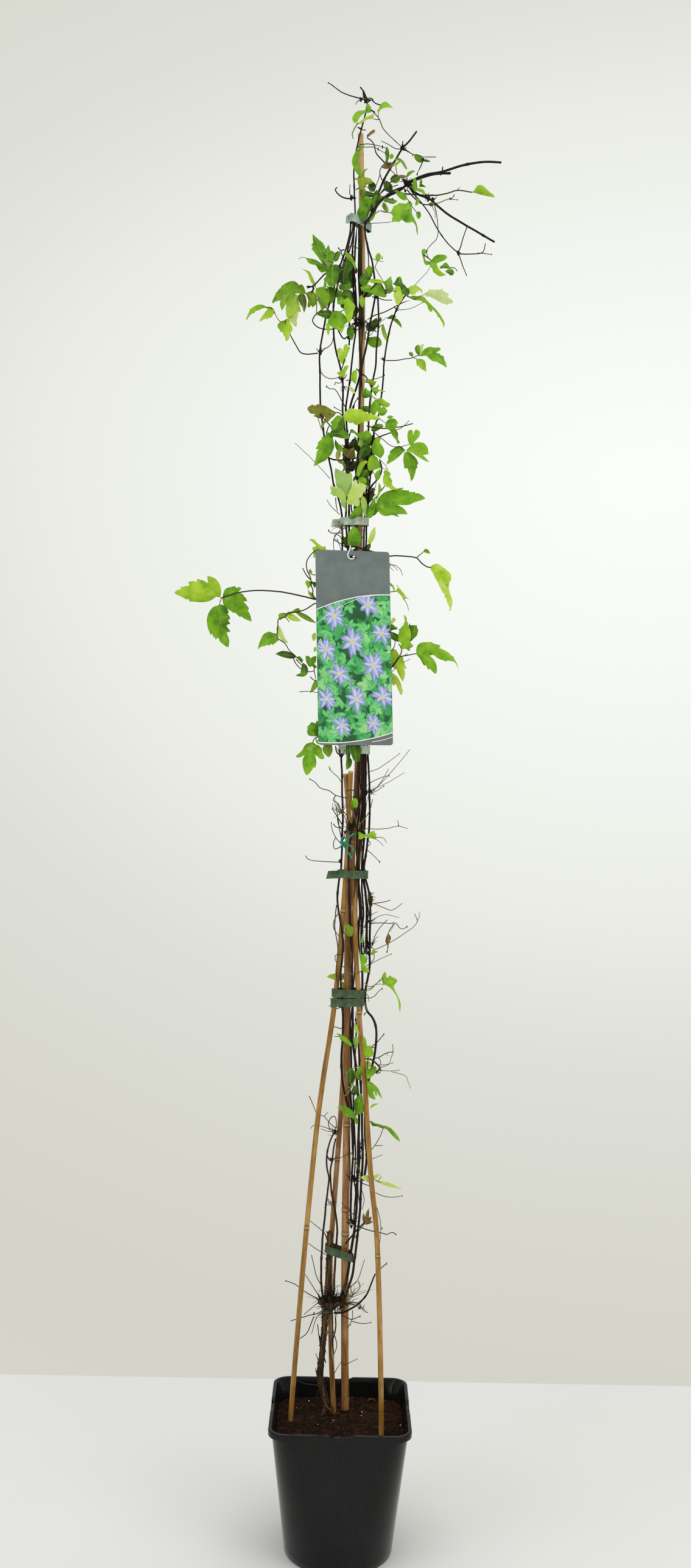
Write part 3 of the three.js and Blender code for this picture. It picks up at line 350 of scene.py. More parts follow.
def potting_mix():
    """Damp peat and bark potting mix: matt, dark red-brown, with paler crumbs and fibres."""
    made, tree, shader = surface("peat_potting_mix", 0.95, 1.4, Specular_IOR_Level=0.2)
    where = coordinates(tree)
    tint = split(tree, attribute(tree, "tint"))
    colour = ramp(tree, spots(tree, where, 9, 8), (0.3, "#0c0704"), (0.48, "#1d0f08"), (0.6, "#2c170c"),
                  (0.75, "#3f2b1b"))
    colour = blend_colours(tree, tint[0], colour, linear("#6e4a2e"))
    colour = blend_colours(tree, tint[1], colour, linear("#d8d4c8"))
    paint(tree, shader, colour)
    relief(tree, shader, spots(tree, where, 1.6, 8), 0.9)
    return made


def dried_bamboo(name, pale, mid, dark):
    """Dried bamboo culm: a waxy skin with fine fibres along it, scuffs, and brown scars at its nodes."""
    made, tree, shader = surface(name, 0.42, 1.5, Specular_IOR_Level=0.3)
    grain = attribute(tree, "grain")
    tint = split(tree, attribute(tree, "tint"))
    fibres = spots(tree, grain, 0.8, 4, stretch=(1, 1, 0.03))
    blotches = spots(tree, grain, 7, 6, stretch=(1, 1, 0.16))
    colour = ramp(tree, blotches, (0.28, dark), (0.46, mid), (0.66, pale))
    streaks = ramp(tree, fibres, (0.35, "#8c8c8c"), (0.6, "#ffffff"))
    colour = blend_colours(tree, 0.38, colour, streaks, "MULTIPLY")
    scuffs = maths(tree, "GREATER_THAN", spots(tree, grain, 5, 7, stretch=(1, 1, 0.5)), 0.63)
    colour = blend_colours(tree, maths(tree, "MULTIPLY", scuffs, 0.3), colour, linear("#4a3018"))
    # tint x paints the brown scars at the nodes, and the painted shade of the plug in the sawn end.
    colour = blend_colours(tree, tint[0], colour, linear("#3c2612"))
    colour = blend_colours(tree, tint[1], colour, linear("#d6bd84"))
    height = split(tree, coordinates(tree))[2]
    bleached = add(tree, "ShaderNodeMapRange", {0: height, 1: 1.25, 2: 1.6, 3: 0.0, 4: 0.72}).outputs[0]
    colour = blend_colours(tree, bleached, colour, linear("#d4b274"))
    paint(tree, shader, colour, ramp(tree, blotches, (0.3, "#8a8a8a"), (0.7, "#565656")))
    relief(tree, shader, fibres, 0.12, 0.6)
    return made


def peeling_bark():
    """Old clematis wood: stringy bark that splits along the stem and peels in papery strips."""
    made, tree, shader = surface("peeling_clematis_bark", 0.88, 1.45, Specular_IOR_Level=0.25)
    grain = attribute(tree, "grain")
    fibres = spots(tree, grain, 1.4, 6, stretch=(1, 1, 0.05))
    colour = ramp(tree, fibres, (0.3, "#15100b"), (0.45, "#3a2a1d"), (0.6, "#664b33"), (0.75, "#a1835c"))
    paint(tree, shader, colour)
    relief(tree, shader, fibres, 0.8)
    return made


def clematis_shoot():
    """Clematis shoots and tendrils: ribbed along their length, from near black through brown to straw."""
    made, tree, shader = surface("ripened_clematis_shoot", 0.55, 1.45, Specular_IOR_Level=0.22)
    grain = attribute(tree, "grain")
    tint = split(tree, attribute(tree, "tint"))
    ribs = spots(tree, grain, 0.7, 3, stretch=(1, 1, 0.04))
    mottle = spots(tree, grain, 6, 4, stretch=(1, 1, 0.25))
    tone = maths(tree, "ADD", tint[0], maths(tree, "MULTIPLY", maths(tree, "SUBTRACT", mottle, 0.5), 0.35))
    colour = ramp(tree, tone, (0.0, "#100f13"), (0.22, "#221713"), (0.42, "#42291b"), (0.62, "#6f4c2e"),
                  (0.82, "#a98c58"), (1.0, "#c2b387"))
    colour = blend_colours(tree, tint[1], colour, linear("#8aa046"))
    # Painted shade: the colour is darkened in the furrows, where the rib bump dips.
    furrow_shade = ramp(tree, ribs, (0.35, "#777777"), (0.65, "#ffffff"))
    colour = blend_colours(tree, 0.4, colour, furrow_shade, "MULTIPLY")
    paint(tree, shader, colour)
    relief(tree, shader, ribs, 0.2, 0.7)
    return made


def leaf_blade():
    """Clematis leaf: a soft satin green, paler along its veins and underneath, puckered between them."""
    made, tree, shader = surface("clematis_leaf_blade", 0.5, 1.42, Specular_IOR_Level=0.22)
    grain = split(tree, attribute(tree, "grain"))
    tint = split(tree, attribute(tree, "tint"))
    where = coordinates(tree)
    across = maths(tree, "ABSOLUTE", grain[1])
    midrib = maths(tree, "LESS_THAN", across, 0.35 * MM)
    side = maths(tree, "DIVIDE", maths(tree, "SUBTRACT", grain[0], across), 5.6 * MM)
    side = maths(tree, "ADD", side, maths(tree, "MULTIPLY", spots(tree, where, 9, 3), 1.3))
    wave = maths(tree, "ABSOLUTE", maths(tree, "SUBTRACT", maths(tree, "FRACT", side), 0.5))
    side_vein = maths(tree, "MULTIPLY", maths(tree, "GREATER_THAN", wave, 0.465), 0.4)
    vein = maths(tree, "MAXIMUM", midrib, side_vein)
    net = add(tree, "ShaderNodeTexVoronoi", {"Vector": attribute(tree, "grain"), "Scale": 420.0},
              feature="DISTANCE_TO_EDGE").outputs["Distance"]
    # tint x is each leaf's tone, which carries painted light: one half of each blade is lighter than the
    # other.
    tone = maths(tree, "ADD", tint[0], maths(tree, "MULTIPLY", maths(tree, "SUBTRACT",
                                                                      spots(tree, where, 11, 4), 0.5), 0.4))
    colour = ramp(tree, tone, (0.0, "#122208"), (0.2, "#28460a"), (0.35, "#46720e"), (0.5, "#72ab17"),
                  (0.62, "#8fbe26"), (0.75, "#b2d334"), (1.0, "#dde8a0"))
    edge_brown = maths(tree, "MULTIPLY", tint[1], spots(tree, where, 8, 5, Roughness=0.7))
    colour = blend_colours(tree, maths(tree, "MULTIPLY", edge_brown, 1.8), colour, linear("#7c5a2c"))
    colour = blend_colours(tree, maths(tree, "MULTIPLY", tint[2], 0.45), colour, linear("#cfdfa4"))
    colour = blend_colours(tree, maths(tree, "MULTIPLY", vein, 0.26), colour, linear("#c9e07a"))
    paint(tree, shader, colour)
    cells = maths(tree, "MINIMUM", maths(tree, "MULTIPLY", net, 3.0), 1.0)
    relief(tree, shader, maths(tree, "SUBTRACT", cells, maths(tree, "MULTIPLY", vein, 0.8)), 0.2, 0.8)
    return made


def tie_tape(name, dark, mid, pale, roughness, **values):
    """Stretchy polyethylene tie tape: creased across, hazy where it is stretched thin."""
    made, tree, shader = surface(name, roughness, 1.5, **values)
    grain = attribute(tree, "grain")
    creases = spots(tree, grain, 3.0, 5, stretch=(1, 0.12, 1))
    haze = spots(tree, grain, 9, 4)
    colour = ramp(tree, haze, (0.32, dark), (0.5, mid), (0.7, pale))
    # Painted shade: the colour is darkened where the crease bump dips.
    crease_shade = ramp(tree, creases, (0.35, "#7d7d7d"), (0.6, "#ffffff"))
    colour = blend_colours(tree, 0.35, colour, crease_shade, "MULTIPLY")
    paint(tree, shader, colour)
    relief(tree, shader, creases, 0.5, 0.7)
    return made


def twisted_twine():
    """Twisted polypropylene twine: bright teal strands with fine fibres along the twist."""
    made, tree, shader = surface("twisted_polypropylene_twine", 0.6, 1.49)
    fibres = spots(tree, attribute(tree, "grain"), 0.35, 3, stretch=(1, 1, 0.1))
    paint(tree, shader, ramp(tree, fibres, (0.3, "#0c5f4f"), (0.55, "#159a80"), (0.75, "#4cc9ae")))
    relief(tree, shader, fibres, 0.25)
    return made


def printed_card(name, base, other, roughness=0.32):
    """Laminated printed card: smooth ink under a thin film, with a trace of paper tooth."""
    made, tree, shader = surface(name, roughness, 1.5)
    where = coordinates(tree)
    ink = spots(tree, where, 14, 4)
    paint(tree, shader, ramp(tree, ink, (0.35, base), (0.65, other)))
    relief(tree, shader, spots(tree, where, 0.8, 2), 0.02, 0.5)
    return made


def white_plastic():
    """White moulded plastic wire: smooth, slightly waxy."""
    made, tree, shader = surface("white_moulded_plastic", 0.35, 1.49)
    where = coordinates(tree)
    paint(tree, shader, ramp(tree, spots(tree, where, 6, 3), (0.3, "#e4e4de"), (0.7, "#f7f7f3")))
    relief(tree, shader, spots(tree, where, 1.5, 2), 0.05)
    return made


def backdrop_cloth():
    """The pale floor: a plain matt cloth sheet with a very fine even tooth."""
    made, tree, shader = surface("pale_floor", 0.9, 1.45)
    where = coordinates(tree)
    paint(tree, shader, ramp(tree, spots(tree, where, 700, 3), (0.3, "#f5f5f0"), (0.7, "#fbfaf6")))
    relief(tree, shader, spots(tree, where, 3, 3), 0.1, 0.4)
    return made


FINISHES = {}


def finish(name):
    """The material of that name, made the first time that it is asked for."""
    recipes = {
        "pot": moulded_polypropylene,
        "soil": potting_mix,
        "golden_cane": lambda: dried_bamboo("dried_bamboo_golden", "#c69a50", "#a67834", "#845a22"),
        "brown_cane": lambda: dried_bamboo("dried_bamboo_brown", "#c4965c", "#a6733f", "#84542c"),
        "bark": peeling_bark,
        "shoot": clematis_shoot,
        "leaf": leaf_blade,
        "dark_tape": lambda: tie_tape("dark_green_tie_tape", "#364d32", "#435b3d", "#55704c", 0.45,
                                      Specular_IOR_Level=0.35),
        "pale_tape": lambda: tie_tape("pale_stretched_tie_tape", "#9fb59c", "#bfd0ba", "#dbe6d7", 0.4),
        "faded_tape": lambda: tie_tape("faded_green_tie_tape", "#7f9c88", "#93ad9a", "#b2c6b6", 0.4),
        "twine": twisted_twine,
        "label_grey": lambda: printed_card("printed_card_grey", "#6c7773", "#77827e"),
        "label_white": lambda: printed_card("printed_card_white", "#eceee9", "#f6f7f3"),
        "white_plastic": white_plastic,
        "floor": backdrop_cloth,
    }
    if name not in FINISHES:
        FINISHES[name] = recipes[name]()
    return FINISHES[name]


# ---- pot and soil -------------------------------------------------------------------------------
POT_RIM_DEPTH, POT_BODY_CORNER, POT_RIM_CORNER = 8.0, 30.0, 22.0
POT_FLOOR = 3.0
NOTCH_HALF, NOTCH_DEPTH = 14.5, 2.6
# The slot cut through the folded rim in each side: its size, and its place from the side's middle and edge.
SLOT_WIDTH, SLOT_REACH, SLOT_HEIGHT = 6.5, 2.4, 30
SLOT_ASIDE, SLOT_INSET = 11, 2.1
CORNER_STEPS, SIDE_STEPS = 14, 24


def rounded_square(half, corner):
    """A ring of (x, y) points with the same count whatever its size."""
    arcs = []
    for quarter in range(4):
        turn = quarter * math.pi / 2
        centre = (half - corner) * math.sqrt(2) * np.array([math.cos(turn + math.pi / 4),
                                                            math.sin(turn + math.pi / 4)])
        a = turn + np.linspace(0, math.pi / 2, CORNER_STEPS)
        arcs.append(centre + corner * np.column_stack([np.cos(a), np.sin(a)]))
    ring = []
    for quarter, arc in enumerate(arcs):
        t = np.linspace(0, 1, SIDE_STEPS + 1)[1:-1, None]
        ring += [arc, arc[-1] + (arcs[(quarter + 1) % 4][0] - arc[-1]) * t]
    return np.vstack(ring)


def pot_section(pot, z, inset):
    """The body's ring at a height: round at the base and square at the top, moved in by inset."""
    t = z / (pot.height - POT_RIM_DEPTH)
    half = pot.base_radius + (pot.body_half - pot.base_radius) * t
    corner = pot.base_radius + (POT_BODY_CORNER - pot.base_radius) * t
    return rounded_square(half - inset, corner - inset)


def ring_skin(rings):
    """The points and faces of a closed skin over rings of one count, the first and last one capped."""
    count = len(rings[0])
    faces = [list(range(count))[::-1]]
    for level in range(len(rings) - 1):
        for i in range(count):
            a, b = level * count + i, level * count + (i + 1) % count
            faces.append([a, b, b + count, a + count])
    last = (len(rings) - 1) * count
    faces.append([last + i for i in range(count)])
    return np.vstack(rings), faces


def flat_ring(ring, z):
    return np.column_stack([ring, np.broadcast_to(z, len(ring))])


def make_pot(pot):
    """The nursery pot: foot ring, body going from round to square, folded rim with notches and slots."""
    under, top = pot.height - POT_RIM_DEPTH, pot.height
    notch_edge = rounded_square(pot.rim_half, POT_RIM_CORNER)
    sideways = np.minimum(np.abs(notch_edge[:, 0]), np.abs(notch_edge[:, 1]))
    dip = NOTCH_DEPTH * np.clip((NOTCH_HALF + 1 - sideways) / 2, 0, 1)
    rings = [flat_ring(pot_section(pot, 0, 10), 2.0), flat_ring(pot_section(pot, 0, 8.5), 0.3),
             flat_ring(pot_section(pot, 0, 7.5), 0.0), flat_ring(pot_section(pot, 0, 2.4), 0.0),
             flat_ring(pot_section(pot, 0.5, 0.9), 0.5), flat_ring(pot_section(pot, 1.8, 0), 1.8)]
    for z in np.linspace(12, under - 3, 16):
        rings.append(flat_ring(pot_section(pot, z, 0), z))
    rings += [flat_ring(pot_section(pot, under - 0.8, 0), under - 0.8),
              flat_ring(pot_section(pot, under, -0.5), under - 0.1)]
    rim = pot.rim_half
    for half, z in ((rim - 0.9, under + 0.1), (rim - 0.15, under + 0.4), (rim, under + 1.1)):
        rings.append(flat_ring(rounded_square(half, POT_RIM_CORNER), z))
    for inset, z in ((0, 1.9), (0.1, 1.1), (0.5, 0.4), (1.3, 0), (3.9, 0), (4.5, 0.3), (4.9, 1.1)):
        rings.append(flat_ring(rounded_square(rim - inset, POT_RIM_CORNER - inset / 2), top - z - dip))
    for z in np.linspace(under - 1, POT_FLOOR + 2, 12):
        rings.append(flat_ring(pot_section(pot, z, pot.wall), z))
    rings.append(flat_ring(pot_section(pot, POT_FLOOR, pot.wall + 2), POT_FLOOR))
    points, faces = ring_skin(rings)
    shape = Shape()
    shape.skin(points * MM, faces)
    piece = new_object("pot", shape.mesh("pot"), [finish("pot")])
    slots = bmesh.new()
    for quarter in range(4):
        made = bmesh.ops.create_cube(slots, size=1.0)["verts"]
        for v in made:
            v.co = Vector((SLOT_ASIDE + v.co.x * SLOT_WIDTH, rim - SLOT_INSET + v.co.y * SLOT_REACH,
                           top + v.co.z * SLOT_HEIGHT)) * MM
        about = Matrix.Rotation(quarter * math.pi / 2, 3, "Z")
        bmesh.ops.rotate(slots, verts=made, cent=(0, 0, 0), matrix=about)
    cutter_mesh = bpy.data.meshes.new("eye_cutter")
    slots.to_mesh(cutter_mesh)
    cutter = new_object("eye_cutter", cutter_mesh)
    cut = piece.modifiers.new("eyes", "BOOLEAN")
    cut.object, cut.operation, cut.solver = cutter, "DIFFERENCE", "EXACT"
    bake(piece, 38)
    bpy.data.objects.remove(cutter)
    return piece


def soil_height(x, y):
    """How far the soil's surface stands above or below its level, in millimetres, at a point."""
    p = Vector((x, y, 0))
    mound = 2.2 * noise.noise(p / 55) + 1.6 * noise.noise(p / 21 + Vector((4, 0, 0)))
    return mound + 1.3 * noise.fractal(p / 6, 1.0, 2.0, 5)


def make_soil_block(pot, soil):
    """The potting mix itself: a block that fills the pot up to its rough, uneven surface."""
    low = POT_FLOOR + 0.4
    edge = pot_section(pot, soil.level, pot.wall + 0.5)
    rings = [flat_ring(pot_section(pot, low, pot.wall + 2.5), low)]
    heights = np.linspace(low + 3, soil.level - 8, 8)
    rings += [flat_ring(pot_section(pot, z, pot.wall + 0.5), z) for z in heights]
    for share in np.sqrt(np.linspace(1, 0.0004, 60)):
        ring = edge * share
        lift = np.array([soil_height(x, y) for x, y in ring]) * min(1, (1 - share) * 12 + 0.3)
        rings.append(flat_ring(ring, soil.level + lift))
    points, faces = ring_skin(rings)
    shape = Shape()
    shape.skin(points * MM, faces)
    return new_object("potting_soil", shape.mesh("potting_soil"), [finish("soil")])


def crumb_tree():
    """Scatters crumbs and fibres of peat over the upward side of a mesh, and joins them to it."""
    tree, given, out = tree_of(
        "scatter_crumbs", Level=("NodeSocketFloat", 0.15), Crumbs=("NodeSocketFloat", 60000.0),
        Fibres=("NodeSocketFloat", 9000.0), Crumb_size=("NodeSocketFloat", 0.0016),
        Fibre_length=("NodeSocketFloat", 0.011), Seed=("NodeSocketInt", SEED),
        Mix=("NodeSocketMaterial", None))
    facing = add(tree, "GeometryNodeInputNormal").outputs["Normal"]
    spot = add(tree, "GeometryNodeInputPosition").outputs[0]
    up = split(tree, facing)[2]
    high = split(tree, spot)[2]
    open_part = maths(tree, "MULTIPLY", maths(tree, "GREATER_THAN", up, 0.2),
                      maths(tree, "GREATER_THAN", high, given["Level"]))
    layers = [given["Geometry"]]
    for kind, density, seed in (("crumb", given["Crumbs"], 0), ("fibre", given["Fibres"], 5)):
        turned = maths(tree, "ADD", given["Seed"], seed)
        points = add(tree, "GeometryNodeDistributePointsOnFaces",
                     {"Mesh": given["Geometry"], "Selection": open_part, "Density": density, "Seed": turned})
        ball = add(tree, "GeometryNodeMeshIcoSphere", {"Radius": 1.0, "Subdivisions": 1})
        rough = add(tree, "FunctionNodeRandomValue",
                    {0: (-0.3, -0.3, -0.3), 1: (0.3, 0.3, 0.3), "Seed": turned}, data_type="FLOAT_VECTOR")
        ball = add(tree, "GeometryNodeSetPosition",
                   {"Geometry": ball.outputs[0], "Offset": rough.outputs[0]})
        grade = add(tree, "FunctionNodeRandomValue", {2: 0.0, 3: 1.0, "Seed": turned},
                    data_type="FLOAT").outputs[1]
        big = maths(tree, "POWER", grade, 3.0)
        if kind == "crumb":
            growth = maths(tree, "ADD", maths(tree, "MULTIPLY", big, 1.6), 0.35)
            size = maths(tree, "MULTIPLY", given["Crumb size"], growth)
            stretch = add(tree, "FunctionNodeRandomValue",
                          {0: (0.6, 0.6, 0.5), 1: (1.3, 1.3, 1.0), "Seed": turned},
                          data_type="FLOAT_VECTOR").outputs[0]
        else:
            growth = maths(tree, "ADD", maths(tree, "MULTIPLY", big, 0.9), 0.25)
            size = maths(tree, "MULTIPLY", given["Fibre length"], growth)
            stretch = (0.5, 0.035, 0.03)
        scale = add(tree, "ShaderNodeVectorMath", {0: stretch, "Scale": size}, operation="SCALE").outputs[0]
        tilt = 3.14 if kind == "crumb" else 0.3
        turn = add(tree, "FunctionNodeRandomValue",
                   {0: (-tilt, -tilt, -3.14), 1: (tilt, tilt, 3.14), "Seed": turned},
                   data_type="FLOAT_VECTOR").outputs[0]
        euler = add(tree, "FunctionNodeEulerToRotation", {0: turn}).outputs[0]
        spread = add(tree, "GeometryNodeInstanceOnPoints",
                     {"Points": points.outputs[0], "Instance": ball.outputs[0], "Rotation": euler,
                      "Scale": scale})
        palest = 1.0 if kind == "fibre" else 0.55
        shade = add(tree, "FunctionNodeRandomValue", {2: 0.0, 3: palest, "Seed": turned},
                    data_type="FLOAT").outputs[1]
        tint = add(tree, "ShaderNodeCombineXYZ", {"X": maths(tree, "POWER", shade, 2.0)})
        spread = add(tree, "GeometryNodeStoreNamedAttribute",
                     {"Geometry": spread.outputs[0], "Name": "tint", "Value": tint.outputs[0]},
                     data_type="FLOAT_VECTOR", domain="INSTANCE")
        layers.append(spread.outputs[0])
    both = add(tree, "GeometryNodeJoinGeometry", {0: layers[0]})
    for layer in layers[1:]:
        tree.links.new(layer, both.inputs[0])
    real = add(tree, "GeometryNodeRealizeInstances", {"Geometry": both.outputs[0]})
    done = add(tree, "GeometryNodeSetMaterial", {"Geometry": real.outputs[0], "Material": given["Mix"]})
    tree.links.new(done.outputs[0], out.inputs[0])
    return tree


# Pale grains and one curved chip of bark that lie on the soil: elevation place and size, in millimetres.
PALE_GRAINS = ((30, 186, 1.3), (29, 181, 1.1), (-9, 174, 1.2), (-43, 200, 1.2), (82, 202, 1.4),
               (83, 169, 1.3),
               (-60, 190, 0.8), (12, 204, 0.9), (60, 178, 0.8), (-30, 168, 0.8))
BARK_CHIP = ((38, 202), (43, 204.5), (48, 202))


def on_soil(z, level):
    """The depth at which the line of sight to an elevation place meets the soil's level."""
    return VIEW_DISTANCE * ((VIEW_Z - level) / (VIEW_Z - z) - 1)


# ---- canes --------------------------------------------------------------------------------------
# Each cane: radius at its foot and its top, its finish, the heights of its nodes, and its route.
CANES = {
    "left_cane": (3.7, 3.4, "golden_cane", (437, 872), (
        (-74, 80, 10), (-68, 172, 9), (-62.5, 260, 7), (-50, 440, 5), (-37.2, 590, 2), (-31.3, 640, 1),
        (-22.9, 700, 0), (-17.9, 740, -1), (-12.6, 800, -2), (-6.3, 900, -4), (-3.6, 950, -6),
        (-0.8, 1064, -6))),
    "right_cane": (3.7, 3.4, "golden_cane", (400, 733, 966), (
        (59, 62, -28), (57, 156, -26), (54, 260, -23), (48.9, 380, -18), (45, 440, -16), (37.6, 500, -12),
        (29.6, 590, -8), (26, 640, -6), (21.8, 680, -4), (17.3, 720, -2), (15.2, 760, -1), (11.7, 800, 0),
        (6.7, 900, 1), (3.2, 945, 2), (-7.6, 1060, 2))),
    "long_cane": (5.6, 3.9, "brown_cane", (430, 463, 579, 915, 1160, 1395, 1640, 1909), (
        (7, 60, 56), (6.8, 189, 48), (5.2, 260, 39), (3.1, 400, 26), (2.2, 590, 17), (0.3, 700, 13),
        (-0.3, 780, 11), (-0.6, 880, 11.5), (3, 950, 12), (8.5, 1050, 9), (7, 1250, 6), (5, 1450, 5),
        (4.5, 1650, 4), (2, 1800, 3), (-2.5, 1937, 3))),
    "middle_cane": (3.8, 3.5, "brown_cane", (532, 842, 1060), (
        (-6, 60, 41), (-9, 185, 39), (-13.2, 260, 37), (-16, 340, 34.5), (-17.2, 400, 33), (-14.6, 450, 32),
        (-11.6, 500, 31), (-6.5, 590, 28.5), (-2, 680, 25), (1.5, 755, 21.5), (11, 930, 21.5),
        (16.5, 1010, 20),
        (18, 1085, 18))),
}


def make_cane(name, thickness):
    """A bamboo culm with a slight bow, a ridge and a scar at each node, and a sawn end where a short dark
    plug of painted shade stands in for the hollow.
    """
    foot, top, skin, nodes, route = CANES[name]
    line = even(smooth(route, 24), 1.6)
    t = np.linspace(0, 1, len(line))
    radius = (foot + (top - foot) * t) * thickness
    tint = np.zeros((len(line), 3))
    for z in nodes:
        off = line[:, 1] - z
        radius = radius * (1 + 0.1 * np.exp(-(off / 2.0) ** 2) - 0.03 * np.exp(-((off - 4.5) / 2.2) ** 2))
        tint[:, 0] += np.exp(-((off + 1.4) / 1.1) ** 2) * 0.85 + np.exp(-((off - 3.4) / 1.4) ** 2) * 0.5
        tint[:, 1] += np.exp(-((off - 0.8) / 0.9) ** 2) * 0.6
    tint[-2:, 1] = 0.9
    path = place(line)
    shape = Shape()
    shape.path(path, radius * MM, np.clip(tint, 0, 1))
    # Painted shade: a short dark plug in the sawn end stands in for the shaded hollow of the cane.
    along = (path[-1] - path[-4]) / np.linalg.norm(path[-1] - path[-4])
    hollow_shade_plug = np.array([path[-1] - along * 2 * MM, path[-1] + along * 0.12 * MM])
    shape.path(hollow_shade_plug, [radius[-1] * 0.5 * MM] * 2, (1, 0, 0))
    piece = new_object(name, shape.mesh(name))
    return bake(use_tree(piece, sweep(), Sides=20, Bark=finish(skin)), 45)


TREES = {}


def sweep():
    """The stem-growing tree, made once."""
    if "sweep" not in TREES:
        TREES["sweep"] = sweep_tree()
    return TREES["sweep"]


# ---- old wood and stems -------------------------------------------------------------------------
OLD_WOOD = {
    "trunk": (4.6, 3.9, ((-19, 198, 36), (-28.4, 232, 33), (-26.2, 262, 30), (-23.6, 302, 26), (-21, 345, 23),
                         (-19, 400, 21.5), (-18.6, 432, 21.5))),
    "roots": ((2.0, 1.4, ((-23, 212, 34), (-21.5, 200, 32), (-18, 192, 30), (-11, 186, 28), (-8, 181, 27))),
              (2.2, 1.4, ((-20, 202, 34), (-20, 192, 31), (-23.5, 184, 28), (-25, 178, 26)))),
    "knots": ((-26, 336, 23, 6), (-17, 332, 20, 6.5), (-9, 335, 19, 5), (-2, 334, 17, 3.6)),
}


def lump(shape, centre, radius, seed, tint, squash=(1, 1, 1), rough=0.25):
    """A rough knot of wood round a model point."""
    ball = bmesh.new()
    bmesh.ops.create_icosphere(ball, subdivisions=3, radius=1.0)
    points = np.array([v.co for v in ball.verts])
    shift = Vector((seed * 3.1, seed * 1.7, 0))
    swell = np.array([1 + rough * noise.fractal(Vector(p) * 1.6 + shift, 1.0, 2.0, 4) for p in points])
    faces = [[v.index for v in f.verts] for f in ball.faces]
    ball.free()
    shape.skin(centre + points * swell[:, None] * np.array(squash) * radius, faces, tint, points * radius)


def bark_tree():
    """Lays thin strips of peeling bark along a stem, each lifted and turned a little at random."""
    tree, given, out = tree_of(
        "peel_bark", Strips=("NodeSocketFloat", 26000.0), Strip_length=("NodeSocketFloat", 0.012),
        Lean=("NodeSocketFloat", 0.22), Seed=("NodeSocketInt", SEED), Bark=("NodeSocketMaterial", None))
    points = add(tree, "GeometryNodeDistributePointsOnFaces",
                 {"Mesh": given["Geometry"], "Density": given["Strips"], "Seed": given["Seed"]})
    strip = add(tree, "GeometryNodeMeshCube", {"Size": (1.0, 0.12, 0.035), "Vertices X": 6, "Vertices Y": 2,
                                               "Vertices Z": 2})
    spot = add(tree, "GeometryNodeInputPosition").outputs[0]
    x = split(tree, spot)[0]
    bow = maths(tree, "MULTIPLY", maths(tree, "MULTIPLY", x, x), 0.42)
    raised = add(tree, "ShaderNodeCombineXYZ", {"Z": bow}).outputs[0]
    bent = add(tree, "GeometryNodeSetPosition", {"Geometry": strip.outputs[0], "Offset": raised})
    faced = add(tree, "FunctionNodeAlignRotationToVector", {"Vector": points.outputs["Normal"]}, axis="Z")
    laid = add(tree, "FunctionNodeAlignRotationToVector",
               {"Rotation": faced.outputs[0], "Vector": (0.0, 0.0, 1.0)}, axis="X", pivot_axis="Z")
    lean = add(tree, "FunctionNodeRandomValue",
               {0: (-1.0, -1.0, -1.0), 1: (1.0, 1.0, 1.0), "Seed": given["Seed"]},
               data_type="FLOAT_VECTOR").outputs[0]
    lean = add(tree, "ShaderNodeVectorMath", {0: lean, "Scale": given["Lean"]}, operation="SCALE").outputs[0]
    turn = add(tree, "FunctionNodeRotateRotation",
               {0: laid.outputs[0], 1: add(tree, "FunctionNodeEulerToRotation", {0: lean}).outputs[0]},
               rotation_space="LOCAL")
    grade = add(tree, "FunctionNodeRandomValue", {2: 0.35, 3: 1.4, "Seed": given["Seed"]},
                data_type="FLOAT").outputs[1]
    strips = add(tree, "GeometryNodeInstanceOnPoints",
                 {"Points": points.outputs[0], "Instance": bent.outputs[0], "Rotation": turn.outputs[0],
                  "Scale": maths(tree, "MULTIPLY", grade, given["Strip length"])})
    both = add(tree, "GeometryNodeJoinGeometry", {0: given["Geometry"]})
    tree.links.new(strips.outputs[0], both.inputs[0])
    real = add(tree, "GeometryNodeRealizeInstances", {"Geometry": both.outputs[0]})
    where = add(tree, "GeometryNodeInputPosition").outputs[0]
    bare = add(tree, "GeometryNodeInputNamedAttribute", {"Name": "grain"}, data_type="FLOAT_VECTOR")
    size = add(tree, "ShaderNodeVectorMath", {0: bare.outputs[0]}, operation="LENGTH").outputs["Value"]
    missing = maths(tree, "LESS_THAN", size, 1e-9)
    grained = add(tree, "GeometryNodeStoreNamedAttribute",
                  {"Geometry": real.outputs[0], "Selection": missing, "Name": "grain", "Value": where},
                  data_type="FLOAT_VECTOR")
    done = add(tree, "GeometryNodeSetMaterial", {"Geometry": grained.outputs[0], "Material": given["Bark"]})
    tree.links.new(done.outputs[0], out.inputs[0])
    return tree


def make_old_wood():
    """The leaning woody foot: stringy peeling bark, two roots, and the knots of old buds."""
    shape = Shape()
    foot, top, route = OLD_WOOD["trunk"]
    line = even(smooth(route, 20), 1.5)
    t = np.linspace(0, 1, len(line))
    rough = np.array([noise.noise(Vector((0, 0, s * 9))) for s in t])
    shape.path(place(line), (foot + (top - foot) * t) * (0.92 + 0.22 * rough) * MM, (0.5, 0, 0))
    for foot, top, route in OLD_WOOD["roots"]:
        line = even(smooth(route, 12), 1.5)
        shape.path(place(line), np.linspace(foot, top, len(line)) * MM, (0.6, 0, 0))
    for i, (x, z, y, radius) in enumerate(OLD_WOOD["knots"]):
        lump(shape, place((x, z, y))[0], radius * MM, i, (0.2, 0, 0), rough=0.5)
    piece = new_object("old_wood", shape.mesh("old_wood"), [finish("bark")])
    use_tree(piece, sweep(), Sides=14, Bark=finish("bark"))
    bake(piece)
    if "peel" not in TREES:
        TREES["peel"] = bark_tree()
    use_tree(piece, TREES["peel"], Bark=finish("bark"))
    return bake(piece)




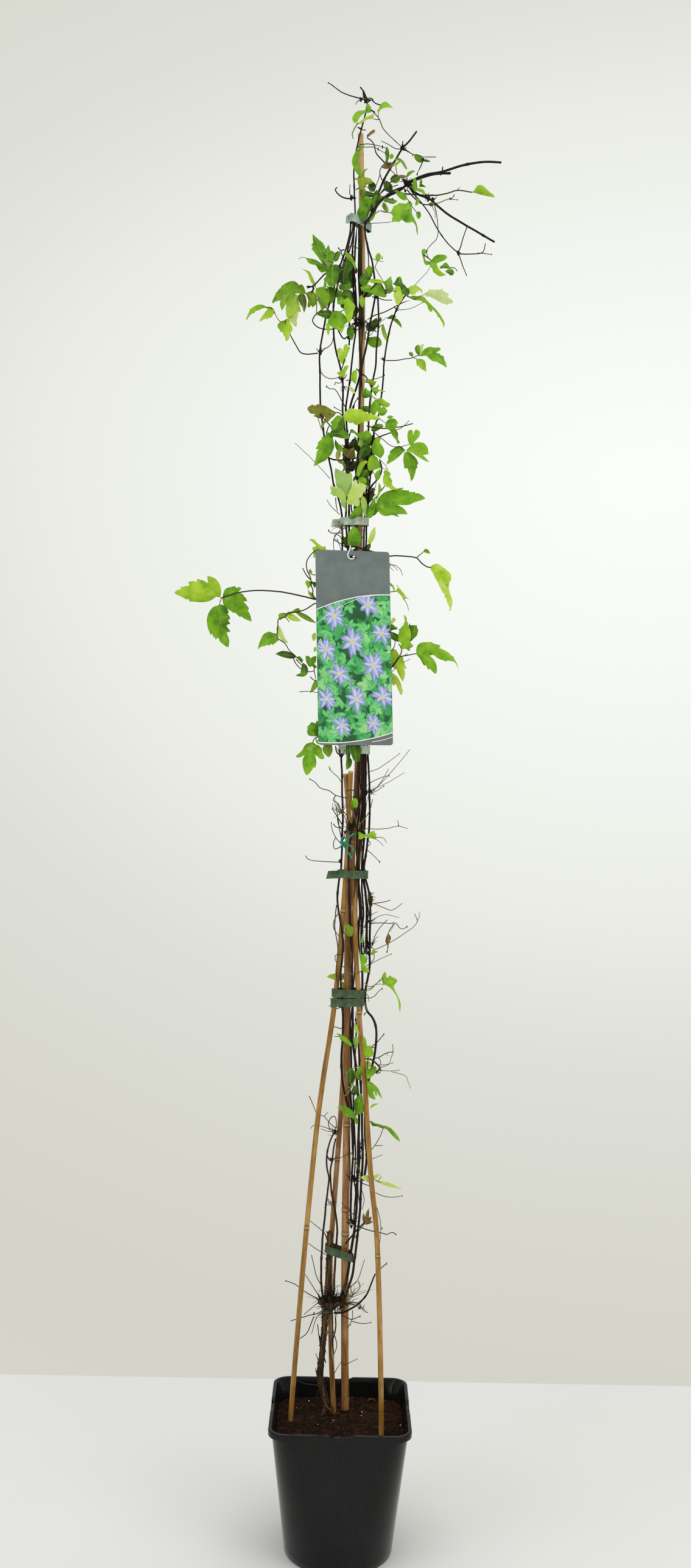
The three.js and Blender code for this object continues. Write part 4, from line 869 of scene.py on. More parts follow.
# Each shoot: radii at its foot and tip, its route, its side shoots and its swollen joints.
STEMS = {
  "left_short_stems": {
    "radii": [1.6, 1.1],
    "route": [
      [-11, 352, 22], [-11, 380, 23], [-8.8, 421, 24], [-8.2, 435, 24], [-10.3, 455, 25.5],
      [-16, 480, 25.5], [-18.2, 500, 24.5], [-18.8, 519, 24], [-16.4, 532, 24], [-15, 548, 23.5],
      [-12.6, 560, 22.5],
    ],
    "branches": [
      [[-27.5, 349, 23], [-29.2, 372, 22], [-28.3, 420, 22], [-25.8, 449, 23], [-23, 484, 24],
        [-20.9, 505, 24], [-23.7, 520, 24], [-24, 540, 24], [-19.5, 558, 23], [-14, 570, 22]],
      [[-24, 537, 24], [-20.4, 530, 24], [-17, 530, 24]],
    ],
  },
  "side_runner_stem": {
    "radii": [1.4, 1],
    "route": [
      [-11, 321, 21], [2.2, 322, 19], [11.8, 327, 15], [22, 334, 8], [29.4, 341.5, 2], [34.5, 349, -3],
      [38.2, 358.3, -8], [44.2, 374.4, -13],
    ],
  },
  "left_leader_stem": {
    "radii": [1.5, 1.2],
    "route": [
      [10.4, 447, 14], [9.4, 480, 13], [9.9, 500, 12], [11.8, 545, 10], [10.8, 580, 9], [5.3, 600, 8],
      [-1, 620, 7], [-6, 650, 6.5], [-6.5, 670, 6], [-5.5, 720, 3], [-7, 745, 0], [-9, 770, -5.5],
      [-9.2, 790, -8], [-7.4, 810, -8.6], [-6.9, 830, -9.2], [-10.9, 855, -9.4], [-13.9, 872, -7],
      [-15.8, 890, -5], [-14.6, 908, -6], [-11.9, 930, -8], [-11, 970, -8], [-10.6, 1000, -8],
      [-11.8, 1030, -8], [-12.7, 1060, -8], [-15, 1095, -8], [-16.5, 1200, -7], [-17, 1300, -6],
      [-17.5, 1380, -5], [-18.5, 1408, -5], [-21.9, 1430, -5], [-30.4, 1455, -5], [-35.5, 1480, -5],
      [-44.8, 1520, -5], [-50.3, 1560, -5], [-52.3, 1600, -5], [-53, 1636, -5], [-48.3, 1670, -5],
      [-44.7, 1690, -5], [-38.5, 1712, -6], [-31, 1745, -7], [-21, 1775, -7], [-14.5, 1800, -6],
      [-13.6, 1826, -6],
    ],
  },
  "second_stem": {
    "radii": [1.9, 1.2],
    "route": [
      [1, 347, 18.5], [6.2, 370, 16], [10.4, 402, 14], [14.8, 432, 12], [17.4, 462, 10], [18.3, 500, 8],
      [19.4, 524, 6], [18.6, 560, 5], [18.5, 600, 4], [14.8, 640, 4], [13.2, 660, 4], [8.8, 690, 3],
      [7.6, 730, 2], [6.2, 780, 1], [4.6, 820, -1], [1.4, 870, -4], [-0.4, 905, -10.5], [-1.5, 935, -13],
      [-0.5, 960, -13.5], [3, 987, -13], [8, 1003, -11], [13, 1024, -8], [14.6, 1045, -6],
      [13.8, 1075, -6], [13, 1095, -6], [4, 1200, -10], [-6, 1300, -10], [-11, 1380, -10],
      [-13.5, 1408, -10], [-13.2, 1450, -10], [-14.7, 1495, -10], [-17, 1530, -10], [-20.8, 1562, -10],
      [-20.3, 1582, -10], [-22, 1604, -10], [-26.7, 1625, -10], [-31.5, 1641, -10], [-34.6, 1662, -10],
      [-36.2, 1682, -11], [-35.2, 1702, -12], [-31.5, 1724, -12], [-26, 1748, -12], [-18.5, 1772, -12],
      [-15.6, 1788, -11], [-11, 1806, -11.5], [-10, 1824, -11.5],
    ],
  },
  "centre_leader_stem": {
    "radii": [1.7, 1],
    "route": [
      [26.4, 822, 1], [25, 845, 1], [24.6, 875, 1], [22.3, 898, 1], [18.8, 915, 2.5], [17, 930, 3],
      [17.6, 950, 2], [19, 975, 1], [19.5, 1005, 0], [20, 1040, 0], [18.6, 1090, 0], [8, 1200, -3],
      [-3, 1300, -5], [-9, 1400, -4], [-9.2, 1450, -4], [-11, 1490, -4], [-14, 1530, -4],
      [-16, 1558, -4], [-13.9, 1580, -4], [-11, 1602, -4], [-7.5, 1640, -4], [-4.8, 1662, -4],
      [-4.6, 1682, -4], [-5.4, 1705, -4], [-9.8, 1740, -4], [-10.6, 1774, -3.5], [-9.2, 1802, -2],
      [-8, 1825, -2], [-9.2, 1850, -2], [-10.3, 1870, -2], [-10.7, 1890, -2], [-9.4, 1905, -2],
      [-6.8, 1920, -5], [-2.5, 1940, -5], [2.5, 1960, -2], [5.8, 1974, 0], [4.6, 1985, 0],
      [0.5, 1995, 0], [-4, 2001, 0],
    ],
  },
  "front_stems": {
    "radii": [1.5, 1.2],
    "route": [
      [12.6, 1096, -2], [11, 1200, -5], [4, 1300, -8], [1, 1400, -8], [1.2, 1440, -9], [2, 1500, -10],
      [2.5, 1560, -10], [3, 1590, -10], [3.6, 1612, -8.6], [2.4, 1632, -9.6], [1.2, 1652, -10],
      [0.2, 1670, -9.5], [0.4, 1700, -9], [-0.4, 1740, -9], [-2, 1775, -9], [-2.6, 1800, -8],
      [-1.8, 1824, -8],
    ],
    "branches": [
      [[-12.2, 1552, -1], [-9, 1569, -3], [-1.9, 1590, -5], [3.8, 1612, -7], [7.1, 1630, -6.5],
        [11.3, 1650, -6], [15.6, 1680, -6], [18.8, 1700, -6], [21.6, 1718, -6], [20, 1740, -6],
        [16.4, 1762, -6], [10.8, 1780, -6], [6.4, 1800, -6], [5.4, 1824, -6]],
    ],
    "joints": [[3.7, 1612, -7.8, 2.6]],
  },
  "right_inner_stem": {
    "radii": [1.7, 1.2],
    "route": [
      [5, 345, 14], [12.6, 370, 11], [16.6, 400, 9], [20, 430, 6], [22.4, 465, 4], [23.5, 500, 3],
      [25, 530, 2], [24.3, 555, 2], [22.8, 590, 2], [20.1, 640, 4], [17.3, 690, 7], [18.5, 720, 7],
      [20.2, 748, 5.5], [20.4, 775, 4], [19.8, 800, 3], [17.6, 830, 3], [17.3, 860, 3],
      [16.6, 880, 2.5], [13.9, 900, 1], [12.3, 918, -1.5], [12, 935, -4], [13, 955, -5], [15, 980, -5],
      [17, 1010, -4], [17.6, 1040, -4], [16.6, 1090, -4], [14, 1200, -2], [12, 1300, -2],
      [12, 1400, -2], [14, 1450, -3], [15.6, 1510, -3], [15.8, 1555, -3], [17.7, 1580, -2],
      [20.6, 1600, -1], [23.5, 1620, -1], [24, 1640, -1], [25.7, 1660, -1], [26.6, 1680, -1],
      [26.2, 1700, -1.5], [24.9, 1716, -2],
    ],
  },
  "right_outer_stem": {
    "radii": [1.7, 1.1],
    "route": [
      [26.8, 503, 0], [29.4, 520, 1], [29.9, 540, 2], [27.6, 565, 3], [27.2, 590, 3.5], [28, 620, 4],
      [31.4, 640, 4], [35.7, 660, 3], [38.6, 675, 3], [40.5, 692, 3], [40.5, 708, 2], [38.6, 719, 2],
      [34.2, 728, 4], [27.9, 735, 7], [24.6, 745, 9], [24.2, 756, 9], [25, 767, 6], [27.5, 781, 1],
      [29.9, 798, -2], [29.6, 818, -2], [29.6, 850, -2], [29.3, 880, -2], [26.5, 900, -1],
      [22.6, 915, -1], [20, 928, -2], [21.4, 944, -2], [23.7, 962, -2], [25.6, 985, -2],
      [26, 1005, -2], [25.4, 1030, -2], [24.8, 1050, -2], [22.3, 1088, -2], [20, 1200, 0],
      [16, 1300, 2], [15, 1400, 3], [17, 1440, 3], [19.2, 1472, 3], [21.4, 1515, 3], [24, 1535, 3],
      [28.6, 1552, 3], [32, 1576, 3], [34.2, 1600, 3], [35.5, 1625, 3], [38.4, 1650, 3],
      [42, 1670, 3], [48.4, 1690, 3], [51.6, 1699, 3], [58, 1710, 3], [63.5, 1718, 3],
    ],
  },
  "right_top_branches": {
    "radii": [1.8, 1.5],
    "route": [
      [10.4, 1802, 4], [12.4, 1824, 3], [22.6, 1840, 2], [32, 1850, 1], [51.3, 1860, 0],
      [63.6, 1870, -1], [77.9, 1877, 0], [99.5, 1883.6, 0], [122, 1885.4, 0],
    ],
    "branches": [
      [[64, 1872, -2], [88, 1882.4, -4.6], [109.7, 1887, -5], [135.4, 1895.6, -5.5],
        [155.9, 1900.2, -6], [172.3, 1901.8, -7], [191, 1901.2, -8]],
      [[63, 1868, -2], [75.9, 1856.4, -6], [94.4, 1849.2, -8], [104.6, 1840.3, -9], [122, 1827, -11],
        [143.6, 1814.6, -14], [183.6, 1792, -20]],
      [[63, 1868, 0], [73.8, 1853.6, 5], [84, 1842.3, 6], [94.4, 1828, 8], [104.6, 1809.5, 10],
        [116.9, 1792, 12], [126.5, 1782.5, 13], [134.4, 1776, 14]],
    ],
    "joints": [[63.6, 1870, -1, 3.6]],
  },
  "rising_top_branch": {
    "radii": [1.6, 1.2],
    "route": [
      [13.6, 1831, -1], [18.6, 1846, -3.5], [22.6, 1855.6, -5], [34.9, 1883.3, -6], [43, 1896.7, -6],
      [55.4, 1918.2, -6], [65.6, 1929.5, -7], [74.3, 1941.8, -8],
    ],
    "branches": [
      [[7.6, 1974, -3], [16.4, 1965.4, -4], [22.6, 1958, -5], [27.7, 1945.9, -6], [39, 1933.6, -7],
        [55, 1919.5, -6]],
    ],
    "joints": [[55, 1919, -6, 2.6]],
  },
}

def stem_line(route, radii, wobble, seed, node_gap=110.0):
    """A shoot's line and radius: a slightly uneven course, thicker at its nodes, which repeat along it."""
    line = even(smooth(route, 14), 2.6)
    run = np.concatenate([[0], np.cumsum(np.linalg.norm(np.diff(line, axis=0), axis=1))])
    shift = Vector((seed * 7.3, 0, 0))
    sway = np.array([noise.noise_vector(shift + Vector((0, 0, s / 17))) for s in run])
    ends = np.clip(np.minimum(run, run[-1] - run) / 8, 0, 1)[:, None]
    line = line + sway * np.array([1, 0.3, 1]) * wobble * ends
    t = run / max(run[-1], 1e-6)
    radius = radii[0] + (radii[1] - radii[0]) * t
    node_gap = node_gap * (1 + 0.35 * math.sin(seed * 2.3))
    near = np.abs((run + seed * 19) % node_gap - node_gap / 2)
    radius = radius * (1 + 0.3 * np.exp(-(near / 2.2) ** 2))
    radius = radius * (1 + 0.08 * np.array([noise.noise(shift + Vector((3, 0, s / 5))) for s in run]))
    return line, radius


SHOOT_TONES = {"right_top_branches": 0.04, "rising_top_branch": 0.06, "left_short_stems": 0.42,
               "side_runner_stem": 0.14}
# Side shoots that are thinner than their stem: stem and number, counted from its own line.
SLIM = {("rising_top_branch", 1): 0.42, ("right_top_branches", 3): 0.5, ("right_top_branches", 2): 0.9,
        ("left_short_stems", 2): 0.6}


def make_stem(name, thickness, wobble):
    """One shoot with its side shoots and swollen joints."""
    stem = STEMS[name]
    shape = Shape()
    tone = SHOOT_TONES.get(name, 0.24)
    for i, route in enumerate([stem["route"], *stem.get("branches", [])]):
        line, radius = stem_line(route, stem["radii"], wobble, len(name) + i)
        drift = np.array([noise.noise(Vector((i, len(name), z / 60))) for z in line[:, 1]])
        tint = np.column_stack([tone + 0.16 * drift, 0 * drift, 0 * drift])
        shape.path(place(line), radius * thickness * SLIM.get((name, i), 1.0) * MM, tint)
    for i, (x, z, y, radius) in enumerate(stem.get("joints", [])):
        lump(shape, place((x, z, y))[0], radius * MM, i, (tone, 0, 0), rough=0.3)
    piece = new_object(name, shape.mesh(name), [finish("shoot")])
    return bake(use_tree(piece, sweep(), Sides=9, Bark=finish("shoot")))


# ---- ties and twine -----------------------------------------------------------------------------
# Each tape: finish, height, climb from left to right, loose end, and the canes and stems it goes round.
TAPES = {
    "foot_tie": ("dark_tape", 319, 0.0, 0, ("old_wood", "middle_cane")),
    "lower_tie": ("dark_tape", 396, -0.26, 0,
                  ("old_wood", "middle_cane", "long_cane", "left_short_stems", "second_stem")),
    "double_tie": ("dark_tape", 747, 0.0, 0,
                   ("left_cane", "right_cane", "long_cane", "middle_cane", "left_leader_stem", "second_stem",
                    "right_inner_stem")),
    "middle_tie": ("dark_tape", 923, -0.03, 14,
                   ("left_cane", "right_cane", "long_cane", "middle_cane", "left_leader_stem", "second_stem",
                    "centre_leader_stem", "right_inner_stem", "right_outer_stem")),
    "label_foot_tie": ("pale_tape", 1093, 0.0, 0,
                       ("long_cane", "left_leader_stem", "second_stem", "centre_leader_stem", "front_stems",
                        "right_inner_stem", "right_outer_stem")),
    "upper_tie": ("pale_tape", 1405, 0.06, 11,
                  ("long_cane", "left_leader_stem", "second_stem", "centre_leader_stem", "front_stems",
                   "right_inner_stem", "right_outer_stem")),
    "top_tie": ("faded_tape", 1814, -0.3, 4,
                ("long_cane", "left_leader_stem", "second_stem", "centre_leader_stem", "front_stems",
                 "right_top_branches")),
}
SECOND_TURN = 12.6
TAPE_PLY = 0.35
TAPE_SLACK = 0.5


def run_of(name):
    """The radii and the line, in millimetres, of a cane or stem."""
    if name in CANES:
        foot, top, _, _, route = CANES[name]
    elif name == "old_wood":
        foot, top, route = OLD_WOOD["trunk"]
    else:
        (foot, top), route = STEMS[name]["radii"], STEMS[name]["route"]
    return foot, top, place(smooth(route, 14)) / MM


def hull(points):
    """The convex outline round 2D points, anticlockwise."""
    ordered = sorted(map(tuple, points))

    def half(sequence):
        kept = []
        for p in sequence:
            while len(kept) > 1 and ((kept[-1][0] - kept[-2][0]) * (p[1] - kept[-2][1])
                                     - (kept[-1][1] - kept[-2][1]) * (p[0] - kept[-2][0])) <= 0:
                kept.pop()
            kept.append(p)
        return kept[:-1]

    return np.array(half(ordered) + half(ordered[::-1]))


def bundle_outline(names, z, grow, count=150):
    """The tight line round the named stems at a height, as evenly spaced (x, y) points."""
    found = []
    a = np.linspace(0, 2 * math.pi, 24, endpoint=False)
    for name in names:
        foot, top, line = run_of(name)
        for i in np.flatnonzero(np.abs(line[:, 2] - z) < 9):
            radius = foot + (top - foot) * i / len(line) + TAPE_SLACK + grow
            found += list(zip(line[i, 0] + radius * np.cos(a), line[i, 1] + radius * np.sin(a)))
    loop = hull(found)
    loop = np.vstack([loop, loop[:1]])
    run = np.concatenate([[0], np.cumsum(np.linalg.norm(np.diff(loop, axis=0), axis=1))])
    at = np.linspace(0, run[-1], count, endpoint=False)
    return np.column_stack([np.interp(at, run, loop[:, 0]), np.interp(at, run, loop[:, 1])])


def tape_band(shape, names, z, climb, width, seed):
    """One turn of tape: a closed band with crosswise creases, wavy edges and a slightly dished middle."""
    outline = bundle_outline(names, z, 0.1)
    centre = outline.mean(axis=0)
    outward = outline - centre
    outward /= np.linalg.norm(outward, axis=1)[:, None]
    count, rows = len(outline), 9
    run = np.concatenate([[0], np.cumsum(np.linalg.norm(np.diff(outline, axis=0), axis=1))])
    rings, grain = [], []
    heights = np.linspace(-0.5, 0.5, rows)
    loop = [(h, 0.0) for h in heights] + [(h, TAPE_PLY) for h in heights[::-1]]
    for h, ply in loop:
        ring = []
        for i in range(count):
            about = 2 * math.pi * i / count
            wave = Vector((seed * 5.0, math.cos(about) * 2.4, math.sin(about) * 2.4))
            crease = 0.5 * max(0.0, noise.noise(wave * 5 + Vector((h * 0.8, 0, 0))))
            edge = 0.5 * noise.noise(wave * 2 + Vector((9, 0, 0))) * (1 if abs(h) > 0.3 else 0.4)
            lift = 0.3 + ply + crease + 0.35 * abs(h)
            x, y = outline[i] + outward[i] * lift
            ring.append((x, y, z + h * width + edge + climb * x))
        rings.append(ring)
        grain.append([(s * MM, h * width * MM, ply * MM) for s in run])
    points = np.array(rings).reshape(-1, 3) * MM
    faces = []
    total = len(loop)
    for level in range(total):
        for i in range(count):
            a, b = level * count + i, level * count + (i + 1) % count
            above = ((level + 1) % total - level) * count
            faces.append([a, b, b + above, a + above])
    shape.skin(points, [f[::-1] for f in faces], (0, 0, 0), np.array(grain).reshape(-1, 3))
    return outline


def tape_tail(shape, start, direction, length, width, droop, seed):
    """A loose end of tape: a thin curved strip with a slanting cut, from a model point in millimetres."""
    steps, rows = 14, 7
    along = np.array([*direction, 0.0]) / np.linalg.norm(direction)
    through = np.array([-along[1], along[0], 0.0])
    layers, grain = [], []
    for ply in (0.0, TAPE_PLY):
        for i in range(steps + 1):
            for j in range(rows):
                t, h = i / steps, j / (rows - 1) - 0.5
                reach = length * t * (1 - 0.16 * h)
                curl = 0.9 * math.sin(t * 2.6 + seed) + 0.5 * noise.noise(Vector((t * 3, h * 2, seed)))
                layers.append(np.array(start) + along * reach + through * (curl * t + ply)
                              + np.array([0, 0, h * width - droop * t * t]))
                grain.append((reach * MM, h * width * MM, 0))
    count = (steps + 1) * rows
    faces = []

    def quad(a, b, c, d):
        faces.append([a, b, c, d])

    for i in range(steps):
        for j in range(rows - 1):
            a = i * rows + j
            quad(a, a + rows, a + rows + 1, a + 1)
            quad(count + a, count + a + 1, count + a + rows + 1, count + a + rows)
    border = ([i * rows for i in range(steps)] + [steps * rows + j for j in range(rows - 1)]
              + [i * rows + rows - 1 for i in range(steps, 0, -1)] + list(range(rows - 1, 0, -1)))
    for a, b in zip(border, border[1:] + border[:1]):
        quad(a, a + count, b + count, b)
    shape.skin(np.array(layers) * MM, faces, (0, 0, 0), grain)


def outward_faces(mesh):
    """Recalculates a closed mesh's faces so that they all point outwards."""
    work = bmesh.new()
    work.from_mesh(mesh)
    bmesh.ops.recalc_face_normals(work, faces=work.faces)
    work.to_mesh(mesh)
    work.free()


def make_tape(name, width):
    skin, height, climb, flap, names = TAPES[name]
    z = place((0, height, 0))[0][2] / MM
    shape = Shape()
    turns = [(z, climb)]
    if name == "double_tie":
        turns = [(z, 0.03), (z + SECOND_TURN, -0.02)]
    for i, (level, slope) in enumerate(turns):
        outline = tape_band(shape, names, level, slope, width, len(name) + i)
        left = outline[outline[:, 0].argmin()]
        if flap:
            for side, seed in ((0.10, 1), (-0.14, 2)):
                start = (left[0] + 0.6, left[1] - 0.3 + side * 4, level + slope * left[0] - 1.2)
                tape_tail(shape, start, (-1, side), flap + 1.2 * seed - 1, width - 0.4, 0.8, seed + i)
    mesh = shape.mesh(name)
    outward_faces(mesh)
    return bake(new_object(name, mesh, [finish(skin)]), 60)


TWINE_RADIUS = 1.15
TWINE_LOOP = ((-9, 963, -12.5), (-12.5, 966, -4), (-9, 971, 5.6), (0, 976, 7.6), (7.5, 978, 3),
              (6.5, 978, -8),
              (3, 977, -16.4), (-3, 971, -16.8), (-9, 964, -14.5))
TWINE_ENDS = (((-8.6, 962.5, -14), (-5, 956, -17), (0, 949, -18), (2.5, 944, -17.5)),
              ((-8.6, 963.5, -14), (-3, 963, -18), (3, 959, -18.5), (4.5, 954, -18)),
              ((-9, 964, -15), (-12, 969, -17), (-9, 973, -18), (-5, 970, -17.5), (-8, 964, -16)))


def strands(shape, route, radius, twist_mm=5.0, plies=3):
    """A laid twine along a route: its plies wind round each other."""
    line = even(smooth(route, 14), 0.7)
    path = place(line)
    way = np.gradient(path, axis=0)
    way /= np.linalg.norm(way, axis=1)[:, None]
    side = np.cross(way, [0.3, 1.0, 0.2])
    side /= np.linalg.norm(side, axis=1)[:, None]
    over = np.cross(way, side)
    run = np.concatenate([[0], np.cumsum(np.linalg.norm(np.diff(path, axis=0), axis=1))]) / MM
    for ply in range(plies):
        a = (2 * math.pi * (run / twist_mm + ply / plies))[:, None]
        offset = (np.cos(a) * side + np.sin(a) * over) * radius * 0.5 * MM
        shape.path(path + offset, [radius * 0.56 * MM] * len(path))


def make_twine():
    shape = Shape()
    for route in (TWINE_LOOP, *TWINE_ENDS):
        strands(shape, route, TWINE_RADIUS)
    for turn in range(2):
        a = np.linspace(0, 2 * math.pi, 9)
        knot = np.column_stack([-8.6 + 3.1 * np.cos(a + turn), 963.4 + 2.6 * np.sin(a + turn),
                                -14.6 - 1.6 * np.cos(a * 2 + turn)])
        strands(shape, knot, TWINE_RADIUS)
    piece = new_object("green_twine", shape.mesh("green_twine"))
    return bake(use_tree(piece, sweep(), Sides=8, Bark=finish("twine")))


# ---- label --------------------------------------------------------------------------------------
# The card's corners on the elevation: bottom left, bottom right, top left, top right.
LABEL_CORNERS = ((-45.7, 1098.9), (56.6, 1100.0), (-54.7, 1366.7), (46.9, 1364.9))
LABEL_SIZE = (100.5, 263.0)
LABEL_DEPTH, LABEL_THICK, LABEL_ROUND = -25.0, 0.8, 4.0
LABEL_HOLE = (51.3, 254.4, 4.4, 2.5)
INK = 0.05
ARC_WIDTH = 1.5
# Cells of the printed ground, across and up the card.
GROUND_CELLS = (18, 30)


def on_label(points, lift=0.0):
    """Turns card places in millimetres, from its lower left corner, into model points just off its face."""
    p = np.asarray(points, float).reshape(-1, 2)
    s, t = (p / np.array(LABEL_SIZE)).T
    low_left, low_right, top_left, top_right = (np.array(c) for c in LABEL_CORNERS)
    s, t = s[:, None], t[:, None]
    flat = (1 - t) * ((1 - s) * low_left + s * low_right) + t * ((1 - s) * top_left + s * top_right)
    bow = 1.6 * (s[:, 0] * 2 - 1) ** 2 + 1.0 * np.sin(t[:, 0] * 2.6)
    return place(np.column_stack([flat, LABEL_DEPTH - LABEL_THICK / 2 + bow - lift]))


def clip_to(polygon, inside, cross):
    """One pass of polygon clipping: keeps what lies inside one boundary."""
    kept = []
    for i, p in enumerate(polygon):
        q = polygon[(i + 1) % len(polygon)]
        if inside(p):
            kept.append(p)
        if inside(p) != inside(q):
            kept.append(cross(p, q))
    return kept


def top_arc(x):
    """The height of the picture's upper edge on the card, at a distance from its left edge."""
    t = x / LABEL_SIZE[0]
    return 182 + 47 * t - 24.5 * t * t


def low_arc(x):
    t = x / LABEL_SIZE[0]
    return 3.5 - 7 * t + 21 * t * t


def printed_shape(shape, outline, level, ink):
    """A thin layer of ink: a closed sheet with that outline, cut off at the arcs and the card's edges."""
    polygon = [tuple(p) for p in outline]

    def between(test):
        def cross(p, q):
            lo, hi = 0.0, 1.0
            first = test(p)
            for _ in range(14):
                mid = (lo + hi) / 2
                if test((p[0] + (q[0] - p[0]) * mid, p[1] + (q[1] - p[1]) * mid)) == first:
                    lo = mid
                else:
                    hi = mid
            return (p[0] + (q[0] - p[0]) * lo, p[1] + (q[1] - p[1]) * lo)
        return cross

    for test in (lambda p: p[0] > 0.4, lambda p: p[0] < LABEL_SIZE[0] - 0.4,
                 lambda p: p[1] < top_arc(p[0]) - 0.4, lambda p: p[1] > low_arc(p[0]) + 0.4):
        polygon = clip_to(polygon, test, between(test))
        if len(polygon) < 3:
            return
    prism(shape, polygon, level * INK, ink)


def prism(shape, polygon, lift, ink, depth=INK * 0.9):
    """A closed sheet on the card's face with a given outline, its front lifted by lift millimetres."""
    area = sum(p[0] * q[1] - q[0] * p[1] for p, q in zip(polygon, polygon[1:] + polygon[:1]))
    if abs(area) < 0.02:
        return
    if area < 0:
        polygon = polygon[::-1]
    n = len(polygon)
    points = np.vstack([on_label(polygon, lift), on_label(polygon, lift - depth)])
    faces = [list(range(n)), [n + i for i in range(n)][::-1]]
    faces += [[(i + 1) % n, i, n + i, n + (i + 1) % n] for i in range(n)]
    shape.skin(points, faces, (0, 0, 0), (0, 0, 0), ink)


def pointed(centre, angle, length, width, belly=0.42, steps=7):
    """The outline of a pointed leaf or petal that starts at centre."""
    t = np.linspace(0, 1, steps)
    half = width / 2 * np.sin(np.pi * t ** (math.log(0.5) / math.log(belly)))
    side = np.concatenate([half, -half[::-1][1:-1]])
    along = np.concatenate([t, t[::-1][1:-1]]) * length
    c, s = math.cos(angle), math.sin(angle)
    return np.column_stack([centre[0] + along * c - side * s, centre[1] + along * s + side * c])


def label_card(shape):
    """The card: a rounded board with a slot near its top, grey in front and white behind."""
    w, h = LABEL_SIZE
    ring = []
    for cx, cy, turn in ((w - LABEL_ROUND, LABEL_ROUND, -90), (w - LABEL_ROUND, h - LABEL_ROUND, 0),
                         (LABEL_ROUND, h - LABEL_ROUND, 90), (LABEL_ROUND, LABEL_ROUND, 180)):
        for a in np.radians(turn + np.linspace(0, 90, 7)):
            ring.append((cx + LABEL_ROUND * math.cos(a), cy + LABEL_ROUND * math.sin(a)))
    grid = bmesh.new()
    x0, y0, half_w, half_h = LABEL_HOLE
    slot = []
    for side in (0, 1):
        for a in np.radians(side * 180 - 90 + np.linspace(0, 180, 9)):
            cx = x0 + (half_w - half_h) * (1 if side == 0 else -1)
            slot.append((cx + half_h * math.cos(a), y0 + half_h * math.sin(a)))
    dense = []
    for p, q in zip(ring, ring[1:] + ring[:1]):
        steps = max(1, int(math.dist(p, q) / 9))
        dense += [(p[0] + (q[0] - p[0]) * i / steps, p[1] + (q[1] - p[1]) * i / steps) for i in range(steps)]
    edges = []
    for loop in (dense, slot):
        verts = [grid.verts.new((x, y, 0)) for x, y in loop]
        edges += [grid.edges.new((a, b)) for a, b in zip(verts, verts[1:] + verts[:1])]
    bmesh.ops.triangle_fill(grid, use_beauty=True, use_dissolve=False, edges=edges, normal=(0, 0, 1))
    grid.verts.index_update()
    flat = [(v.co.x, v.co.y) for v in grid.verts]
    triangles = [[v.index for v in f.verts] for f in grid.faces]
    grid.free()
    n, hole = len(dense), len(slot)
    points = np.vstack([on_label(flat, 0), on_label(flat, -LABEL_THICK)])
    total = len(flat)
    shape.skin(points, triangles, finish=0)
    first = sum(len(p) for p in shape.points) - 2 * total
    backs = [[first + total + i for i in f][::-1] for f in triangles]
    rims = []
    for start, count in ((0, n), (n, hole)):
        for i in range(count):
            a, b = start + i, start + (i + 1) % count
            rims.append([first + b, first + a, first + total + a, first + total + b])
    shape.faces += backs + rims
    shape.finish += [1] * (len(backs) + len(rims))


# The inks of the printed picture, after the card's own grey and white.
INKS = (("ground", "#1c5228", "#286b37"), ("deep_green", "#2c8240", "#37964c"),
        ("green", "#3aa552", "#48b55f"),
        ("fresh_green", "#58c069", "#6ad07a"), ("pale_green", "#8cd882", "#a6e597"),
        ("violet", "#7886c0", "#8894cc"),
        ("pale_violet", "#9ba6da", "#adb7e6"), ("white_violet", "#c6cdee", "#d8def6"),
        ("cream", "#e9e6bb", "#dcdca0"))
# The printed blossoms: place on the card, size and turn.
BLOSSOMS = ((24, 174, 21, 0.2), (70, 190, 20, 1.0), (88, 152, 19, 0.5), (48, 140, 23, 0.1),
            (13, 128, 19, 0.8),
            (30, 96, 20, 1.2), (76, 108, 23, 0.35), (12, 62, 19, 0.6), (52, 62, 21, 0.2), (88, 66, 20, 1.1),
            (32, 26, 17, 0.9), (74, 30, 16, 0.4))


def printed_leaf(shape, x, y, turn, size, level, ink):
    """One printed leaf of three toothed leaflets, each with a paler midrib."""
    for spread, part in ((-0.95, 0.78), (0.95, 0.78), (0, 1.0)):
        a = turn + spread
        reach = size * part
        blade = pointed((x, y), a, reach, reach * 0.5, 0.46, 7)
        middle = np.array([x, y]) + reach * 0.5 * np.array([math.cos(a), math.sin(a)])
        blade[1::2] += (middle - blade[1::2]) * 0.12
        printed_shape(shape, blade, level, ink)
        midrib = pointed((x, y), a, reach * 0.85, reach * 0.08, 0.42, 4)
        printed_shape(shape, midrib, level + 0.6, min(6, ink + 1))


